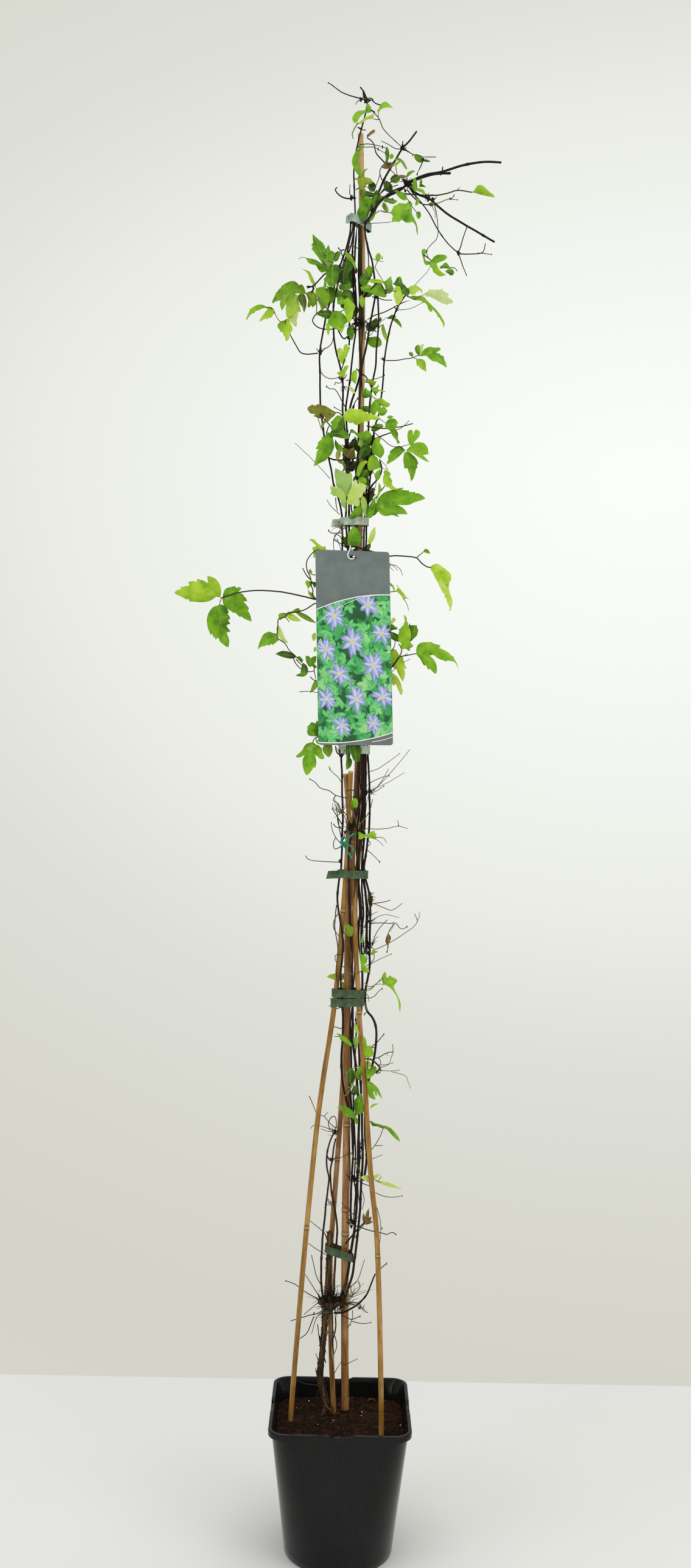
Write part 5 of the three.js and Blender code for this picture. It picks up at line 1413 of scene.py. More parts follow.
def printed_blossom(shape, x, y, size, turn, rng):
    """One printed blossom seen aslant: pointed violet petals, paler down the middle, round a cream tuft."""
    petals = 7
    for ring, (reach, wide, ink) in enumerate(((1.0, 0.36, 7), (0.78, 0.30, 8))):
        for i in range(petals - ring):
            a = turn + (i + 0.5 * ring) * 2 * math.pi / (petals - ring) + rng.uniform(-0.16, 0.16)
            aslant = 0.62 + 0.38 * abs(math.sin(a - turn * 0.6)) ** 1.5
            length = size * reach * aslant * rng.uniform(0.9, 1.12)
            foot = (x + 1.2 * math.cos(a), y + 1.2 * math.sin(a))
            printed_shape(shape, pointed(foot, a, length, size * wide, 0.4, 9), 8 + 2.4 * ring, ink)
            stripe = pointed(foot, a, length * 0.9, size * wide * 0.55, 0.4)
            printed_shape(shape, stripe, 8.8 + 2.4 * ring, ink + 1)
            vein = pointed(foot, a + 0.05, length * 0.8, size * wide * 0.16)
            printed_shape(shape, vein, 9.6 + 2.4 * ring, 9)
    for i in range(7):
        a = turn + i * 0.9
        printed_shape(shape, pointed((x, y), a, size * rng.uniform(0.16, 0.26), size * 0.09), 14, 10)


def printed_picture(shape):
    """A made-up border of blue-violet blossoms over foliage, printed between two white arcs."""
    rng = np.random.default_rng(SEED)
    w = LABEL_SIZE[0]
    columns, rows = GROUND_CELLS
    for x in np.linspace(0.3, w - 0.3, columns + 1)[:-1]:
        right = x + (w - 0.6) / columns
        for t in np.linspace(0, 1, rows + 1)[:-1]:
            cell = [(u, low_arc(u) + (top_arc(u) - low_arc(u)) * v)
                    for u, v in ((x, t), (right, t), (right, t + 1 / rows), (x, t + 1 / rows))]
            prism(shape, cell, INK, 2)
    for layer in range(360):
        x, y = rng.uniform(-3, w + 3), rng.uniform(2, 214)
        level = 2.5 + layer // 72 * 1.3
        ink = min(6, 3 + layer // 130 + (1 if rng.random() < 0.35 else 0))
        printed_leaf(shape, x, y, rng.uniform(0, 2 * math.pi), rng.uniform(9, 18), level, ink)
    for x, y, size, turn in BLOSSOMS:
        printed_blossom(shape, x, y, size, turn, rng)
    half = ARC_WIDTH / 2
    for edge in (top_arc, low_arc):
        line = [(x, edge(x)) for x in np.linspace(0.2, w - 0.2, 30)]
        prism(shape, [(x, y - half) for x, y in line] + [(x, y + half) for x, y in line[::-1]], INK * 12, 1)
    for (x0, y0), (x1, y1), lift, half in (((0.4, 164), (w - 0.4, 205), 11, 0.38),
                                           ((w * 0.72, 4.5), (w - 0.6, 11.5), -1, 0.5)):
        t = np.linspace(0, 1, 24)
        line = [(x0 + (x1 - x0) * s, y0 + (y1 - y0) * s + lift * math.sin(math.pi * s)) for s in t]
        prism(shape, [(x, y - half) for x, y in line] + [(x, y + half) for x, y in line[::-1]], INK * 12, 1)


def make_label():
    shape = Shape()
    label_card(shape)
    printed_picture(shape)
    inks = [finish("label_grey"), finish("label_white")]
    inks += [printed_card(f"printed_ink_{name}", base, other) for name, base, other in INKS]
    mesh = shape.mesh("plant_label")
    return bake(new_object("plant_label", mesh, inks), 30)


HOOK_RADIUS = 0.85
HOOK_ROUTE = ((-6.6, 1371.8, -13.2), (-6.9, 1373.4, -17), (-6.8, 1371, -24.6), (-7.4, 1367.4, -27.2),
              (-9.2, 1363, -27.8), (-10, 1359.4, -28), (-8.6, 1356, -28), (-5.6, 1354.4, -28),
              (-2.4, 1355, -27.8),
              (-0.8, 1357, -26.6), (-1.0, 1358.6, -23.4), (-2.6, 1363, -18), (-5, 1369, -13.4),
              (-6.4, 1371.6, -12.8))


def make_hook():
    """The white wire hook: through the card's slot, round its top edge and over a leaf stalk."""
    line = even(smooth(HOOK_ROUTE, 10), 0.7)
    shape = Shape()
    shape.path(place(line), [HOOK_RADIUS * MM] * len(line))
    tip = even(smooth(((-3.6, 1357.4, -28.3), (-1.6, 1357.8, -28.4), (0.4, 1357.2, -28.2)), 6), 0.5)
    t = np.linspace(-1, 1, len(tip))
    shape.path(place(tip), (0.35 + 0.45 * np.sqrt(np.clip(1 - t * t, 0.02, 1))) * MM)
    piece = new_object("label_hook", shape.mesh("label_hook"))
    return bake(use_tree(piece, sweep(), Sides=12, Bark=finish("white_plastic")))
# ---- leaves -------------------------------------------------------------------------------------
LEAF_THICK = 0.32
EDGE_STEP = 1.5
CORNER = math.radians(48)
STALK_SWELL = 1.25


def outline_curve(points):
    """Evenly spaced points round a leaf's edge: soft along its curves, sharp at its teeth and notches."""
    count = len(points)
    turn = points[(np.arange(count) + 1) % count] - points
    angle = np.arctan2(turn[:, 1], turn[:, 0])
    bend = (angle - np.roll(angle, 1) + math.pi) % (2 * math.pi) - math.pi
    made = []
    for i in range(count):
        j = (i + 1) % count
        chord = points[j] - points[i]
        first = chord if abs(bend[i]) > CORNER else (points[j] - points[i - 1]) / 2
        last = chord if abs(bend[j]) > CORNER else (points[(j + 1) % count] - points[i]) / 2
        first, last = (v / max(np.linalg.norm(v), 1e-9) * np.linalg.norm(chord) for v in (first, last))
        parts = max(1, int(round(np.linalg.norm(chord) / EDGE_STEP)))
        for k in range(parts):
            s = k / parts
            made.append(points[i] * (2 * s ** 3 - 3 * s ** 2 + 1) + first * (s ** 3 - 2 * s ** 2 + s)
                        + points[j] * (3 * s ** 2 - 2 * s ** 3) + last * (s ** 3 - s ** 2))
    return np.array(made)


def rib_frame(spots_, ribs):
    """For each point: its place along the nearest rib, its side of that rib, and how far out the rib is."""
    best = np.full(len(spots_), 1e9)
    along, across, reach = (np.zeros(len(spots_)) for _ in range(3))
    longest = sum(np.linalg.norm(np.diff(ribs[0], axis=0), axis=1))
    for number, rib in enumerate(ribs):
        walked = 0.0 if number == 0 else np.linalg.norm(rib[0] - ribs[0][0])
        for a, b in zip(rib[:-1], rib[1:]):
            way = b - a
            length = np.linalg.norm(way)
            t = np.clip((spots_ - a) @ way / length ** 2, 0, 1)
            gap = spots_ - (a + t[:, None] * way)
            far = np.linalg.norm(gap, axis=1)
            near = far < best
            best[near] = far[near]
            along[near] = walked + t[near] * length
            across[near] = (far * np.sign(way[0] * gap[:, 1] - way[1] * gap[:, 0]))[near]
            walked += length
    return along, across, along / longest


def blade(shape, ribs, outline, depth, tone, bronze=0.0, lean=0.0, roll=0.0, fold=0.22, curl=0.0, under=0.0,
          seed=0):
    """A leaf blade as a thin closed skin, from its edge and its ribs on the elevation.

    lean is how far the tip stands behind the base, roll tips one side back, fold lowers both halves from
    the ribs, curl bends the tip back, and under turns the pale lower face to the front.
    """
    ribs = [np.array(r, float).reshape(-1, 2) for r in ribs]
    edge = np.array(outline, float).reshape(-1, 2)
    nxt = np.roll(edge, -1, axis=0)
    if (edge[:, 0] * nxt[:, 1] - nxt[:, 0] * edge[:, 1]).sum() < 0:
        edge = edge[::-1]
    edge = outline_curve(edge)
    low, high = edge.min(axis=0), edge.max(axis=0)
    size = float(np.linalg.norm(high - low))
    gap = max(1.7, size / 13)
    inner = []
    for row, z in enumerate(np.arange(low[1] + gap / 2, high[1], gap * 0.87)):
        for x in np.arange(low[0] + gap * (0.25 + 0.5 * (row % 2)), high[0], gap):
            inner.append((x, z))
    inner = np.array(inner).reshape(-1, 2)
    for rib in ribs:
        inner = np.vstack([even(smooth(rib, 6), gap * 0.8), inner])
    ends = np.roll(edge, -1, axis=0)
    keep = []
    for p in inner:
        way = ends - edge
        t = np.clip(((p - edge) * way).sum(1) / np.maximum((way ** 2).sum(1), 1e-9), 0, 1)
        apart = np.linalg.norm(p - edge - way * t[:, None], axis=1).min()
        over = (edge[:, 1] > p[1]) != (ends[:, 1] > p[1])
        cross = edge[:, 0] + (p[1] - edge[:, 1]) / np.where(over, ends[:, 1] - edge[:, 1], 1) * way[:, 0]
        close = any(np.hypot(*(p - q)) < gap * 0.55 for q in keep[-60:])
        if apart > gap * 0.4 and (over & (cross > p[0])).sum() % 2 and not close:
            keep.append(p)
    flat = [Vector(p) for p in edge.tolist() + [k.tolist() for k in keep]]
    flat, _, faces, *_ = delaunay_2d_cdt(flat, [], [list(range(len(edge)))], 1, 1e-5)
    spots_ = np.array([tuple(v) for v in flat])
    along, across, t = rib_frame(spots_, ribs)
    rng = np.random.default_rng(SEED * 1000 + seed)
    phase = rng.uniform(0, 6.28, 3)
    pucker = np.abs(across) / max(size * 0.35, 1)
    y = (depth + lean * np.clip(t, 0, 1.1) ** 1.3 + curl * np.clip(t, 0, 1.1) ** 2.5 + roll * across
         + fold * (np.sqrt(across ** 2 + 0.4) - 0.6)
         + size * 0.035 * np.sin(along / size * 9 + phase[0]) * pucker
         + size * 0.02 * np.sin(along / size * 17 + across / size * 8 + phase[1]) * pucker
         + 0.16 * np.sin((along - np.abs(across)) / 5.2 * 6.283))
    count = len(spots_)
    points = np.vstack([np.column_stack([spots_, y]), np.column_stack([spots_, y + LEAF_THICK])])
    skins, used = [], {}
    for face in faces:
        skins += [list(face), [count + v for v in reversed(face)]]
        for a, b in zip(face, face[1:] + face[:1]):
            used[(a, b)] = True
    for a, b in used:
        if (b, a) not in used:
            skins.append([b, a, a + count, b + count])
    # Painted light: one half of each blade is painted a little lighter and the other a little darker, as a
    # fold catches light on one side. The tone also runs darker towards the base and lighter towards the tip.
    half = rng.choice((-1, 1)) * np.clip(across / (size * 0.16), -1, 1)
    shade = np.clip(tone + 0.05 * half + 0.09 * (np.clip(t, 0, 1) - 0.5), 0, 1)
    plain = np.ones(count)
    tint = np.vstack([np.column_stack([shade, bronze * plain, under * plain]),
                      np.column_stack([shade, bronze * plain, (1 - under) * plain])])
    grain = np.column_stack([along, across, np.zeros(count)]) * MM
    shape.skin(place(points), skins, tint, np.vstack([grain, grain]))


STALK_TONE = {"green": (0.6, 0.6, 0), "brown": (0.34, 0.08, 0), "dark": (0.16, 0, 0),
              "straw": (0.58, 0.22, 0)}


def stalk(shape, route, radius=(0.75, 0.5), tone="brown", wobble=0.25, seed=0, fine=0.0):
    """A leaf stalk, twig or tendril along elevation points (x, z, y); fine is how much both ends thin."""
    line = even(smooth(route, 12), 1.6)
    t = np.linspace(0, 1, len(line))
    shift = Vector((seed * 5.7, 2, 0))
    sway = np.array([noise.noise_vector(shift + Vector((0, 0, s * len(line) / 7))) for s in t])
    line = line + sway * wobble * np.clip(np.minimum(t, 1 - t) * 8, 0, 1)[:, None]
    ends = 1 - fine * (1 - np.clip(np.minimum(t, 1 - t) * 7, 0, 1))
    girth = (radius[0] + (radius[1] - radius[0]) * t) * ends * STALK_SWELL * MM
    shape.path(place(line), girth, STALK_TONE[tone])


def plain_leaf(base, tip, width, seed):
    """The rib and the edge of one plain toothed leaflet, from its base, its tip and its width."""
    base, tip = np.array(base, float), np.array(tip, float)
    way = tip - base
    side = np.array([-way[1], way[0]]) / np.linalg.norm(way)
    rng = np.random.default_rng(SEED + seed)
    bend = side * width * rng.uniform(-0.16, 0.16)
    t = np.array([0.0, 0.1, 0.26, 0.42, 0.5, 0.62, 0.7, 0.83, 1.0])
    half = np.array([0.04, 0.34, 0.5, 0.47, 0.5, 0.33, 0.36, 0.16, 0.0]) * width
    rib = base + np.outer(t, way) + np.outer(np.sin(t * math.pi), bend)
    left = rib + np.outer(half * rng.uniform(0.85, 1.15), side)
    right = rib - np.outer(half * rng.uniform(0.85, 1.15), side)
    return rib[[0, 3, 6, 8]], np.vstack([left, right[-2::-1]])


def make_spray(name, spray):
    """A leaf: its stalks, each [tone, radius, points], and its blades, each [ribs, edge, settings]."""
    shape = Shape()
    for i, (tone, radius, *route) in enumerate(spray["stalks"]):
        stalk(shape, route, (radius, radius * 0.75), tone, seed=len(name) + i)
    blades = list(spray["blades"])
    for i, (x0, z0, x1, z1, width, tone, depth) in enumerate(spray.get("plain", ())):
        rib, edge = plain_leaf((x0, z0), (x1, z1), width, i)
        blades.append((rib, edge, {"tone": tone, "depth": depth, "fold": 0.45}))
    for i, (ribs, outline, more) in enumerate(blades):
        more = dict(more)
        if not isinstance(ribs, list):
            ribs = [ribs]
        rng = np.random.default_rng(SEED + i * 17 + len(name))
        free = spray.get("free", 1.0)
        more.setdefault("depth", spray["depth"])
        more.setdefault("lean", rng.uniform(-7, 7) * free)
        more.setdefault("roll", rng.uniform(-0.35, 0.35) * free)
        more.setdefault("fold", rng.uniform(0.15, 0.4) * (0.4 + 0.6 * free))
        blade(shape, ribs, outline, seed=i + 31 * len(name), **more)
    piece = new_object(name, shape.mesh(name), [finish("leaf")])
    return bake(use_tree(piece, sweep(), Sides=7, Bark=finish("shoot")), 55)
# Every leaf: its depth, its stalks as [tone, radius, points (x, z, y)], and its blades as [ribs, edge,
# settings], with ribs and edges as x, z pairs on the elevation. "free" says how far the blades may tilt.
# "plain" leaflets are the base's x and z, the tip's x and z, width, tone and depth.
SPRAYS = {
    "far_left_spray": {"depth": -14, "stalks": [
        ["brown", 0.95, (-19, 1291, -7), (-54, 1298.4, -10), (-72, 1302.5, -12), (-104, 1308, -14), (-138,
         1308.7, -14),
         (-159, 1305.5, -14), (-181.5, 1298, -14)],
        ["green", 0.55, (-181.5, 1298, -14), (-185, 1299.4, -14), (-188.5, 1300.2, -14)],
        ["green", 0.55, (-181.5, 1298, -14), (-183.5, 1293, -14), (-185, 1287.5, -14)]],
        "blades": [
            [[(-187, 1300, -205, 1303, -246, 1303.8), (-190, 1300.5, -194, 1310, -201, 1327)],
             (-188, 1300, -184.5, 1299.6, -183, 1301, -182.5, 1308, -184, 1315, -187, 1320.5, -191, 1324.5,
              -193, 1325.3,
              -197, 1327, -202, 1328.3, -201.5, 1323, -200.4, 1317.8, -205, 1320.3, -208, 1321.6, -212,
               1322.6,
              -216, 1323.2, -215.8, 1319, -219, 1320.3, -224, 1320, -228, 1319, -226.3, 1314, -231, 1313.3,
              -235, 1312.4, -239, 1311.8, -237.8, 1308.7, -242, 1308.2, -245, 1306, -246.5, 1303.8, -244,
               1301.8,
              -240, 1300, -235, 1297.5, -230, 1295.2, -226.5, 1295.3, -226, 1292.5, -220, 1292, -212, 1291.5,
              -205, 1291.8, -198, 1293.5, -193, 1296.5), {"tone": 0.68, "lean": -14, "roll": 0.25}],
            [[(-180, 1298, -160, 1283, -140, 1266), (-178, 1298, -165, 1308, -156, 1312), (-176, 1296, -158,
             1299, -147, 1296)],
             (-180.5, 1298, -179, 1306, -176, 1311, -170, 1313, -163, 1314.7, -162.5, 1312, -158, 1313.5,
              -154.5, 1311.5, -159.5, 1306, -157, 1305.5, -152, 1303, -151, 1300.5, -148.5, 1298.5, -146.5,
               1294,
              -152, 1293.8, -149, 1290.5, -145, 1286, -144, 1283, -145.8, 1282, -142, 1275, -140, 1266,
               -150, 1270,
              -155, 1273.5, -155.5, 1271.5, -163, 1278, -165, 1277.5, -170, 1281, -175, 1284, -179.5, 1290),
             {"tone": 0.5, "lean": 9, "roll": -0.2}],
            [[(-184.5, 1288, -185, 1275, -180, 1252, -171.5, 1231)],
             (-183, 1289, -187, 1287.5, -192, 1286, -197, 1281, -200, 1275, -201.5, 1268, -201, 1262,
              -199.5, 1255,
              -198, 1252, -196, 1247, -193.5, 1248.5, -192.5, 1244.5, -190.5, 1244, -189, 1240.5, -186.5,
               1243,
              -185, 1243, -183, 1238, -178, 1234, -172.5, 1230.3, -171, 1231, -170.3, 1240, -174, 1250.5,
              -168.5, 1252.3, -174, 1259, -173.5, 1261.5, -169, 1262.5, -172.5, 1268, -169.5, 1269, -170.5,
               1273,
              -173.5, 1276.5, -171.3, 1278, -175, 1285, -179, 1288), {"tone": 0.45, "lean": -8,
               "roll": 0.3}]]},
    "second_left_spray": {"depth": -12, "stalks": [
        ["brown", 0.75, (-19.4, 1280, -9), (-53, 1292.5, -11), (-58, 1290, -12), (-66, 1284.5, -12), (-73,
         1281.8, -12),
         (-80, 1280, -12), (-88, 1279, -12), (-92, 1277, -12), (-94, 1273.5, -12), (-103.5, 1270, -12),
         (-104, 1262, -12), (-105, 1250, -12)],
        ["brown", 0.6, (-103, 1243, -12), (-98, 1240, -12), (-94, 1237, -12), (-92, 1234.5, -12), (-88,
         1228, -12),
         (-81, 1222, -12), (-78, 1219, -12)],
        ["brown", 0.6, (-81, 1222, -12), (-81.5, 1216, -12), (-78, 1209, -12), (-71, 1202.5, -12), (-62,
         1199, -12),
         (-54, 1200, -12), (-53, 1207, -12)],
        ["dark", 0.6, (-78.5, 1216, -12), (-74, 1211, -12), (-68, 1206, -12)],
        ["brown", 0.55, (-53, 1207, -12), (-53, 1200, -12), (-50.5, 1189, -13)],
        ["brown", 0.45, (-73, 1171, -12), (-60, 1172, -12), (-48, 1170.5, -12)],
        ["dark", 0.55, (-58.5, 1192, -12), (-54, 1188, -12), (-47, 1186, -12)],
        ["dark", 0.5, (-94, 1273.5, -12), (-88.5, 1266.5, -12)]],
        "blades": [
            [(-92, 1278, -80, 1282, -73, 1281), (-93, 1278, -91, 1280, -85, 1281.5, -80, 1285, -76.5,
             1286.3, -74, 1284,
             -72.5, 1280.5, -80, 1279.5, -88, 1278), {"tone": 0.45, "bronze": 0.4}],
            [(-92, 1275.5, -73, 1269), (-93, 1277, -86, 1278, -79, 1274.5, -72, 1268.5, -78, 1267.5, -86,
             1269, -92, 1273.5),
             {"tone": 0.75}],
            [(-79, 1279, -65, 1272, -51.5, 1265.5), (-80, 1279.5, -73, 1280, -62, 1275, -51, 1265.5, -62,
             1268, -73, 1273.5),
             {"tone": 0.5, "bronze": 0.3}],
            [(-92, 1276, -103, 1274), (-91, 1277, -92.5, 1278.5, -99, 1279, -103.5, 1277, -103, 1271,
             -100.5, 1268.5,
             -97, 1272, -92, 1274.5), {"tone": 0.5}],
            [(-104, 1262, -101, 1250, -90, 1238), (-104.5, 1262, -101, 1259.5, -97.5, 1253, -94, 1245,
             -89.5, 1238, -93, 1238,
             -98, 1241, -103, 1248, -106, 1256), {"tone": 0.85, "under": 0.4}],
            [(-103, 1246, -115, 1243, -131, 1228), (-102.5, 1243, -104, 1250, -110, 1251, -115.5, 1253,
             -119, 1252, -121, 1251,
             -124, 1248.5, -126, 1245, -128, 1240, -130, 1234, -131, 1227.5, -128, 1231, -124, 1232.5, -120,
              1233.5,
             -119, 1235, -116, 1233.5, -113, 1236, -110.5, 1234.5, -108, 1237, -104, 1240),
             {"tone": 0.48, "lean": -9}],
            [(-79, 1219, -92, 1222, -107, 1222.5), (-78, 1218.5, -83, 1223.5, -91, 1226.5, -99, 1226.5,
             -107, 1222.5,
             -100, 1219.5, -91, 1217, -83, 1216.5), {"tone": 0.28, "lean": 8}],
            [(-78, 1218, -71, 1211), (-79, 1219, -73, 1220, -68.5, 1215, -70, 1210.5, -74, 1214),
             {"tone": 0.4}],
            [(-68, 1211, -66, 1194), (-69, 1211.5, -63.5, 1207, -61.5, 1199, -65.5, 1193, -72, 1192, -79,
             1193.5,
             -72, 1197, -71, 1204), {"tone": 0.3}],
            [(-59, 1205, -58, 1218), (-59, 1205, -55, 1208, -51, 1213, -50.5, 1220.5, -54.5, 1220, -58,
             1217.5, -61.5, 1220.5,
             -65.5, 1220.5, -64.5, 1213, -62, 1208), {"tone": 0.42}],
            [(-57, 1208, -50, 1205), (-58, 1208, -54, 1210.5, -49.5, 1206, -51, 1203.5, -55, 1205.5),
             {"tone": 0.5}],
            [(-51.5, 1188, -52, 1178, -58, 1170), (-51, 1189, -48, 1182, -50, 1176, -58.5, 1169.5, -57,
             1176, -54, 1184),
             {"tone": 0.5}],
            [(-55, 1241, -54, 1252), (-55, 1240.5, -52, 1244, -51.5, 1252, -55, 1252.5, -57.5, 1247),
             {"tone": 0.8}],
            [(-54, 1226, -52, 1233), (-54.5, 1226, -50.5, 1228, -51, 1233.5, -54.5, 1232), {"tone": 0.7}]]},
    "label_foot_left_leaf": {"depth": -20, "stalks": [
        ["brown", 0.7, (-17.6, 1099, -9), (-34, 1106, -14), (-46, 1109.5, -18), (-50, 1108.5, -20), (-53,
         1104, -20), (-53.3, 1101, -20)],
        ["dark", 0.7, (-22, 1098, -12), (-21, 1092, -10), (-19, 1088, -9), (-15, 1085, -8)]],
        "blades": [
            [(-50, 1110.5, -57, 1120, -60, 1127), (-44, 1110, -50, 1110.5, -56, 1110.8, -60, 1112, -61.5,
             1116, -61.8, 1118.5, -60.5, 1120,
             -61.5, 1121.5, -61, 1124, -58, 1127, -57, 1129.5, -53, 1129.5, -50, 1128, -49, 1132, -46.5,
              1131, -44, 1122),
             {"tone": 0.42, "depth": -19, "lean": 3, "roll": 0.1}],
            [(-50, 1108, -46.5, 1100), (-49.5, 1109, -46.5, 1105, -44.5, 1099.5, -47.5, 1100.5, -49.5,
             1104), {"tone": 0.6}],
            [[(-53, 1101, -57, 1085, -61, 1057), (-54, 1100, -64, 1092, -76, 1083), (-52, 1100, -45, 1091,
             -38, 1081)],
             (-53, 1102, -57, 1102, -62, 1100, -65, 1097, -67, 1092.5, -70, 1089, -75, 1084.5, -76.5,
              1082.5, -74, 1081,
              -69, 1082, -66, 1084, -64, 1084.7, -66.5, 1080, -67, 1074, -66, 1067, -64, 1061, -61, 1056.8,
               -58, 1059,
              -54, 1064, -52, 1068, -50, 1067, -48.5, 1070, -48, 1076, -49, 1081, -50, 1085.5, -46, 1082.5,
              -43, 1080, -39, 1079.5, -37, 1081, -38, 1085, -40, 1088, -41, 1094, -45, 1098, -48, 1099),
             {"tone": 0.5, "lean": -10, "roll": 0.15}],
            [(-37, 1098, -35, 1090, -31, 1083), (-38, 1100, -27, 1099, -26, 1092, -26.5, 1089.5, -28, 1086,
             -30, 1082.5, -33, 1083,
             -36, 1086, -38, 1088, -40, 1093), {"tone": 0.48, "bronze": 0.3, "lean": 6}]]},
    "label_head_left_leaves": {"depth": -16, "stalks": [
        ["brown", 0.75, (-19.5, 1308, -8), (-40, 1303, -13), (-54, 1300, -16), (-57, 1305, -16), (-57, 1311,
         -16), (-59, 1316, -16),
         (-60, 1325, -16), (-62, 1331, -16), (-65, 1337, -16), (-66, 1350, -16), (-58, 1362, -16), (-50,
          1367, -16)],
        ["brown", 0.6, (-54, 1331.5, -16), (-57, 1332, -16), (-60.5, 1333, -16)],
        ["brown", 0.7, (-60, 1325, -16), (-64, 1328.5, -16), (-68, 1334, -16), (-71.5, 1341, -16)]],
        "blades": [
            [[(-48, 1367, -53, 1373, -63, 1381), (-50, 1368, -56, 1367, -56, 1356)],
             (-63.5, 1380.7, -60, 1381, -56, 1380, -53, 1376.5, -49, 1373.5, -45, 1371, -42.5, 1370.5, -42,
              1372,
              -40.5, 1370.5, -40, 1366, -46, 1364, -53, 1363, -54.3, 1361, -55, 1355, -57, 1355.5, -57, 1361,
              -57.7, 1365, -59, 1368, -58, 1370, -55, 1370.5, -53, 1371.5, -57, 1375, -61, 1378.5),
             {"tone": 0.7, "lean": 3, "roll": 0.1}],
            [(-60.5, 1333, -61, 1339), (-60, 1332.5, -58, 1335.5, -60.5, 1340, -63, 1338.5, -63, 1334.5),
             {"tone": 0.5}],
            [(-60, 1314, -65, 1322), (-58, 1320, -61, 1322.5, -64, 1324, -66.5, 1324, -67.5, 1321.5, -66.5,
             1318, -64.5, 1314.5,
             -63.8, 1311.5, -62.5, 1313.5, -60, 1316), {"tone": 0.58}],
            [(-59, 1323, -54, 1316), (-59.5, 1324, -56, 1322, -52.5, 1322, -52.5, 1317, -55, 1313.5, -57,
             1318, -59, 1320),
             {"tone": 0.25}],
            [(-63.5, 1312, -62, 1306, -55, 1300), (-64, 1313, -61.5, 1309, -58, 1307, -55.5, 1304, -53.5,
             1300, -56, 1299, -60, 1302,
             -63, 1305.5), {"tone": 0.75, "bronze": 0.2}]]},
    "right_high_spray": {"depth": -16, "stalks": [
        ["dark", 0.85, (-14, 1371.6, -14), (-2, 1371.2, -18.4), (20, 1366, -18), (47, 1359.3, -16), (55,
         1360, -16),
         (70, 1359.3, -16), (84, 1357.5, -16), (92, 1350, -16), (98, 1346, -16), (101.5, 1344.8, -16),
          (104.5, 1345.2, -16)],
        ["green", 0.7, (84, 1357.5, -16), (89.5, 1362.5, -16), (93.5, 1366, -16)],
        ["brown", 0.4, (47, 1347, -14), (55, 1347, -14), (60, 1343.5, -14), (63, 1340, -14), (65.5, 1333,
         -14)],
        ["brown", 0.35, (50, 1348, -14), (56, 1343, -14), (58.5, 1339.5, -14)],
        ["brown", 0.3, (47, 1345, -14), (53.5, 1339, -14)]],
        "blades": [
            [[(104, 1345, 118, 1325, 132, 1288), (106, 1345, 120, 1340, 131, 1330)],
             (103.5, 1344.8, 105, 1347, 108, 1349, 112, 1350, 116, 1348.7, 120, 1346, 125, 1342, 130,
              1337.8, 132, 1334,
              132.3, 1330, 131.5, 1327, 130, 1325.5, 129.5, 1322, 129.3, 1316, 131, 1310, 132.5, 1306,
               134.5, 1300,
              134.5, 1295, 133.2, 1290, 132, 1286, 129.5, 1285.3, 131, 1288.5, 130, 1292, 127, 1297, 126.5,
               1301,
              125.3, 1306, 124.6, 1300.5, 123.8, 1305, 123, 1311, 121.8, 1308.8, 119, 1314, 116, 1320, 113,
               1326,
              110, 1331, 107, 1337, 104, 1342), {"tone": 0.76, "lean": -12, "roll": 0.3, "fold": 0.4}],
            [(93.5, 1366, 102, 1364), (93.3, 1365.8, 95, 1369.5, 97, 1370.2, 100, 1369, 101.5, 1367, 102.7,
             1363.3, 99, 1364, 96, 1365),
             {"tone": 0.42}],
            [(47, 1344, 48, 1350), (45.5, 1344, 47, 1343.5, 50, 1347, 49, 1350, 46.5, 1349.5),
             {"tone": 0.75, "depth": -14}]]},
    "right_folded_leaves": {"depth": -17, "stalks": [
        ["brown", 0.65, (18.6, 1312, -3), (38, 1311, -12), (47, 1310, -17), (54, 1310.8, -17), (57.5,
         1311.3, -17)],
        ["brown", 0.35, (69, 1299.7, -17), (72, 1294, -17), (75, 1285, -17)],
        ["brown", 0.3, (60, 1316.5, -17), (57.8, 1320.3, -17)],
        ["brown", 0.3, (71, 1303, -17), (74.6, 1301, -17)]],
        "blades": [
            [(48, 1322.5, 53, 1318, 54.5, 1311.5), (45, 1321, 48.5, 1323, 52.5, 1320, 55.3, 1315, 55, 1311,
             53.5, 1311, 52.5, 1315, 49, 1319),
             {"tone": 0.58, "roll": 0.1}],
            [(57, 1311.5, 64, 1309, 71, 1301), (56.5, 1311.7, 58.5, 1314.5, 60, 1316.5, 62, 1315.5, 65,
             1311.5, 69, 1307, 71, 1304,
             72, 1302.5, 70, 1301, 68, 1299, 67, 1299, 65.5, 1303.5, 62, 1307.5, 59, 1310.2),
              {"tone": 0.66}]]},
    "right_label_spray": {"depth": -13, "stalks": [
        ["dark", 1.15, (21.2, 1186, -4), (34, 1190, -8), (52, 1206.5, -13), (58, 1214, -13), (63, 1221.6,
         -13)],
        ["brown", 0.7, (63, 1221.6, -13), (70, 1223, -13), (78, 1224.5, -13), (86.5, 1226.5, -13)],
        ["green", 0.9, (63, 1221.6, -13), (65.5, 1227, -13), (66.3, 1233, -13)],
        ["dark", 0.6, (66, 1232, -13), (64, 1236, -13), (61.5, 1239.5, -13)],
        ["dark", 0.55, (50, 1228, -13), (54.5, 1232.5, -13), (56.5, 1237, -13), (57, 1243.5, -13)],
        ["straw", 0.5, (50, 1197, -12), (53, 1200.5, -13), (58, 1205, -13)],
        ["straw", 0.35, (68, 1214, -12), (73, 1216, -12), (78, 1219, -12)],
        ["brown", 0.4, (69, 1223, -13), (75, 1226.3, -13)]],
        "blades": [
            [[(86.5, 1226.5, 105, 1234, 125, 1226, 141, 1215), (90, 1227, 104, 1218, 113.5, 1200)],
             (86.5, 1226, 86, 1230, 87, 1236, 90, 1240, 95, 1242, 100, 1242.3, 107, 1242.6, 108.5, 1241.3,
              114, 1239.5,
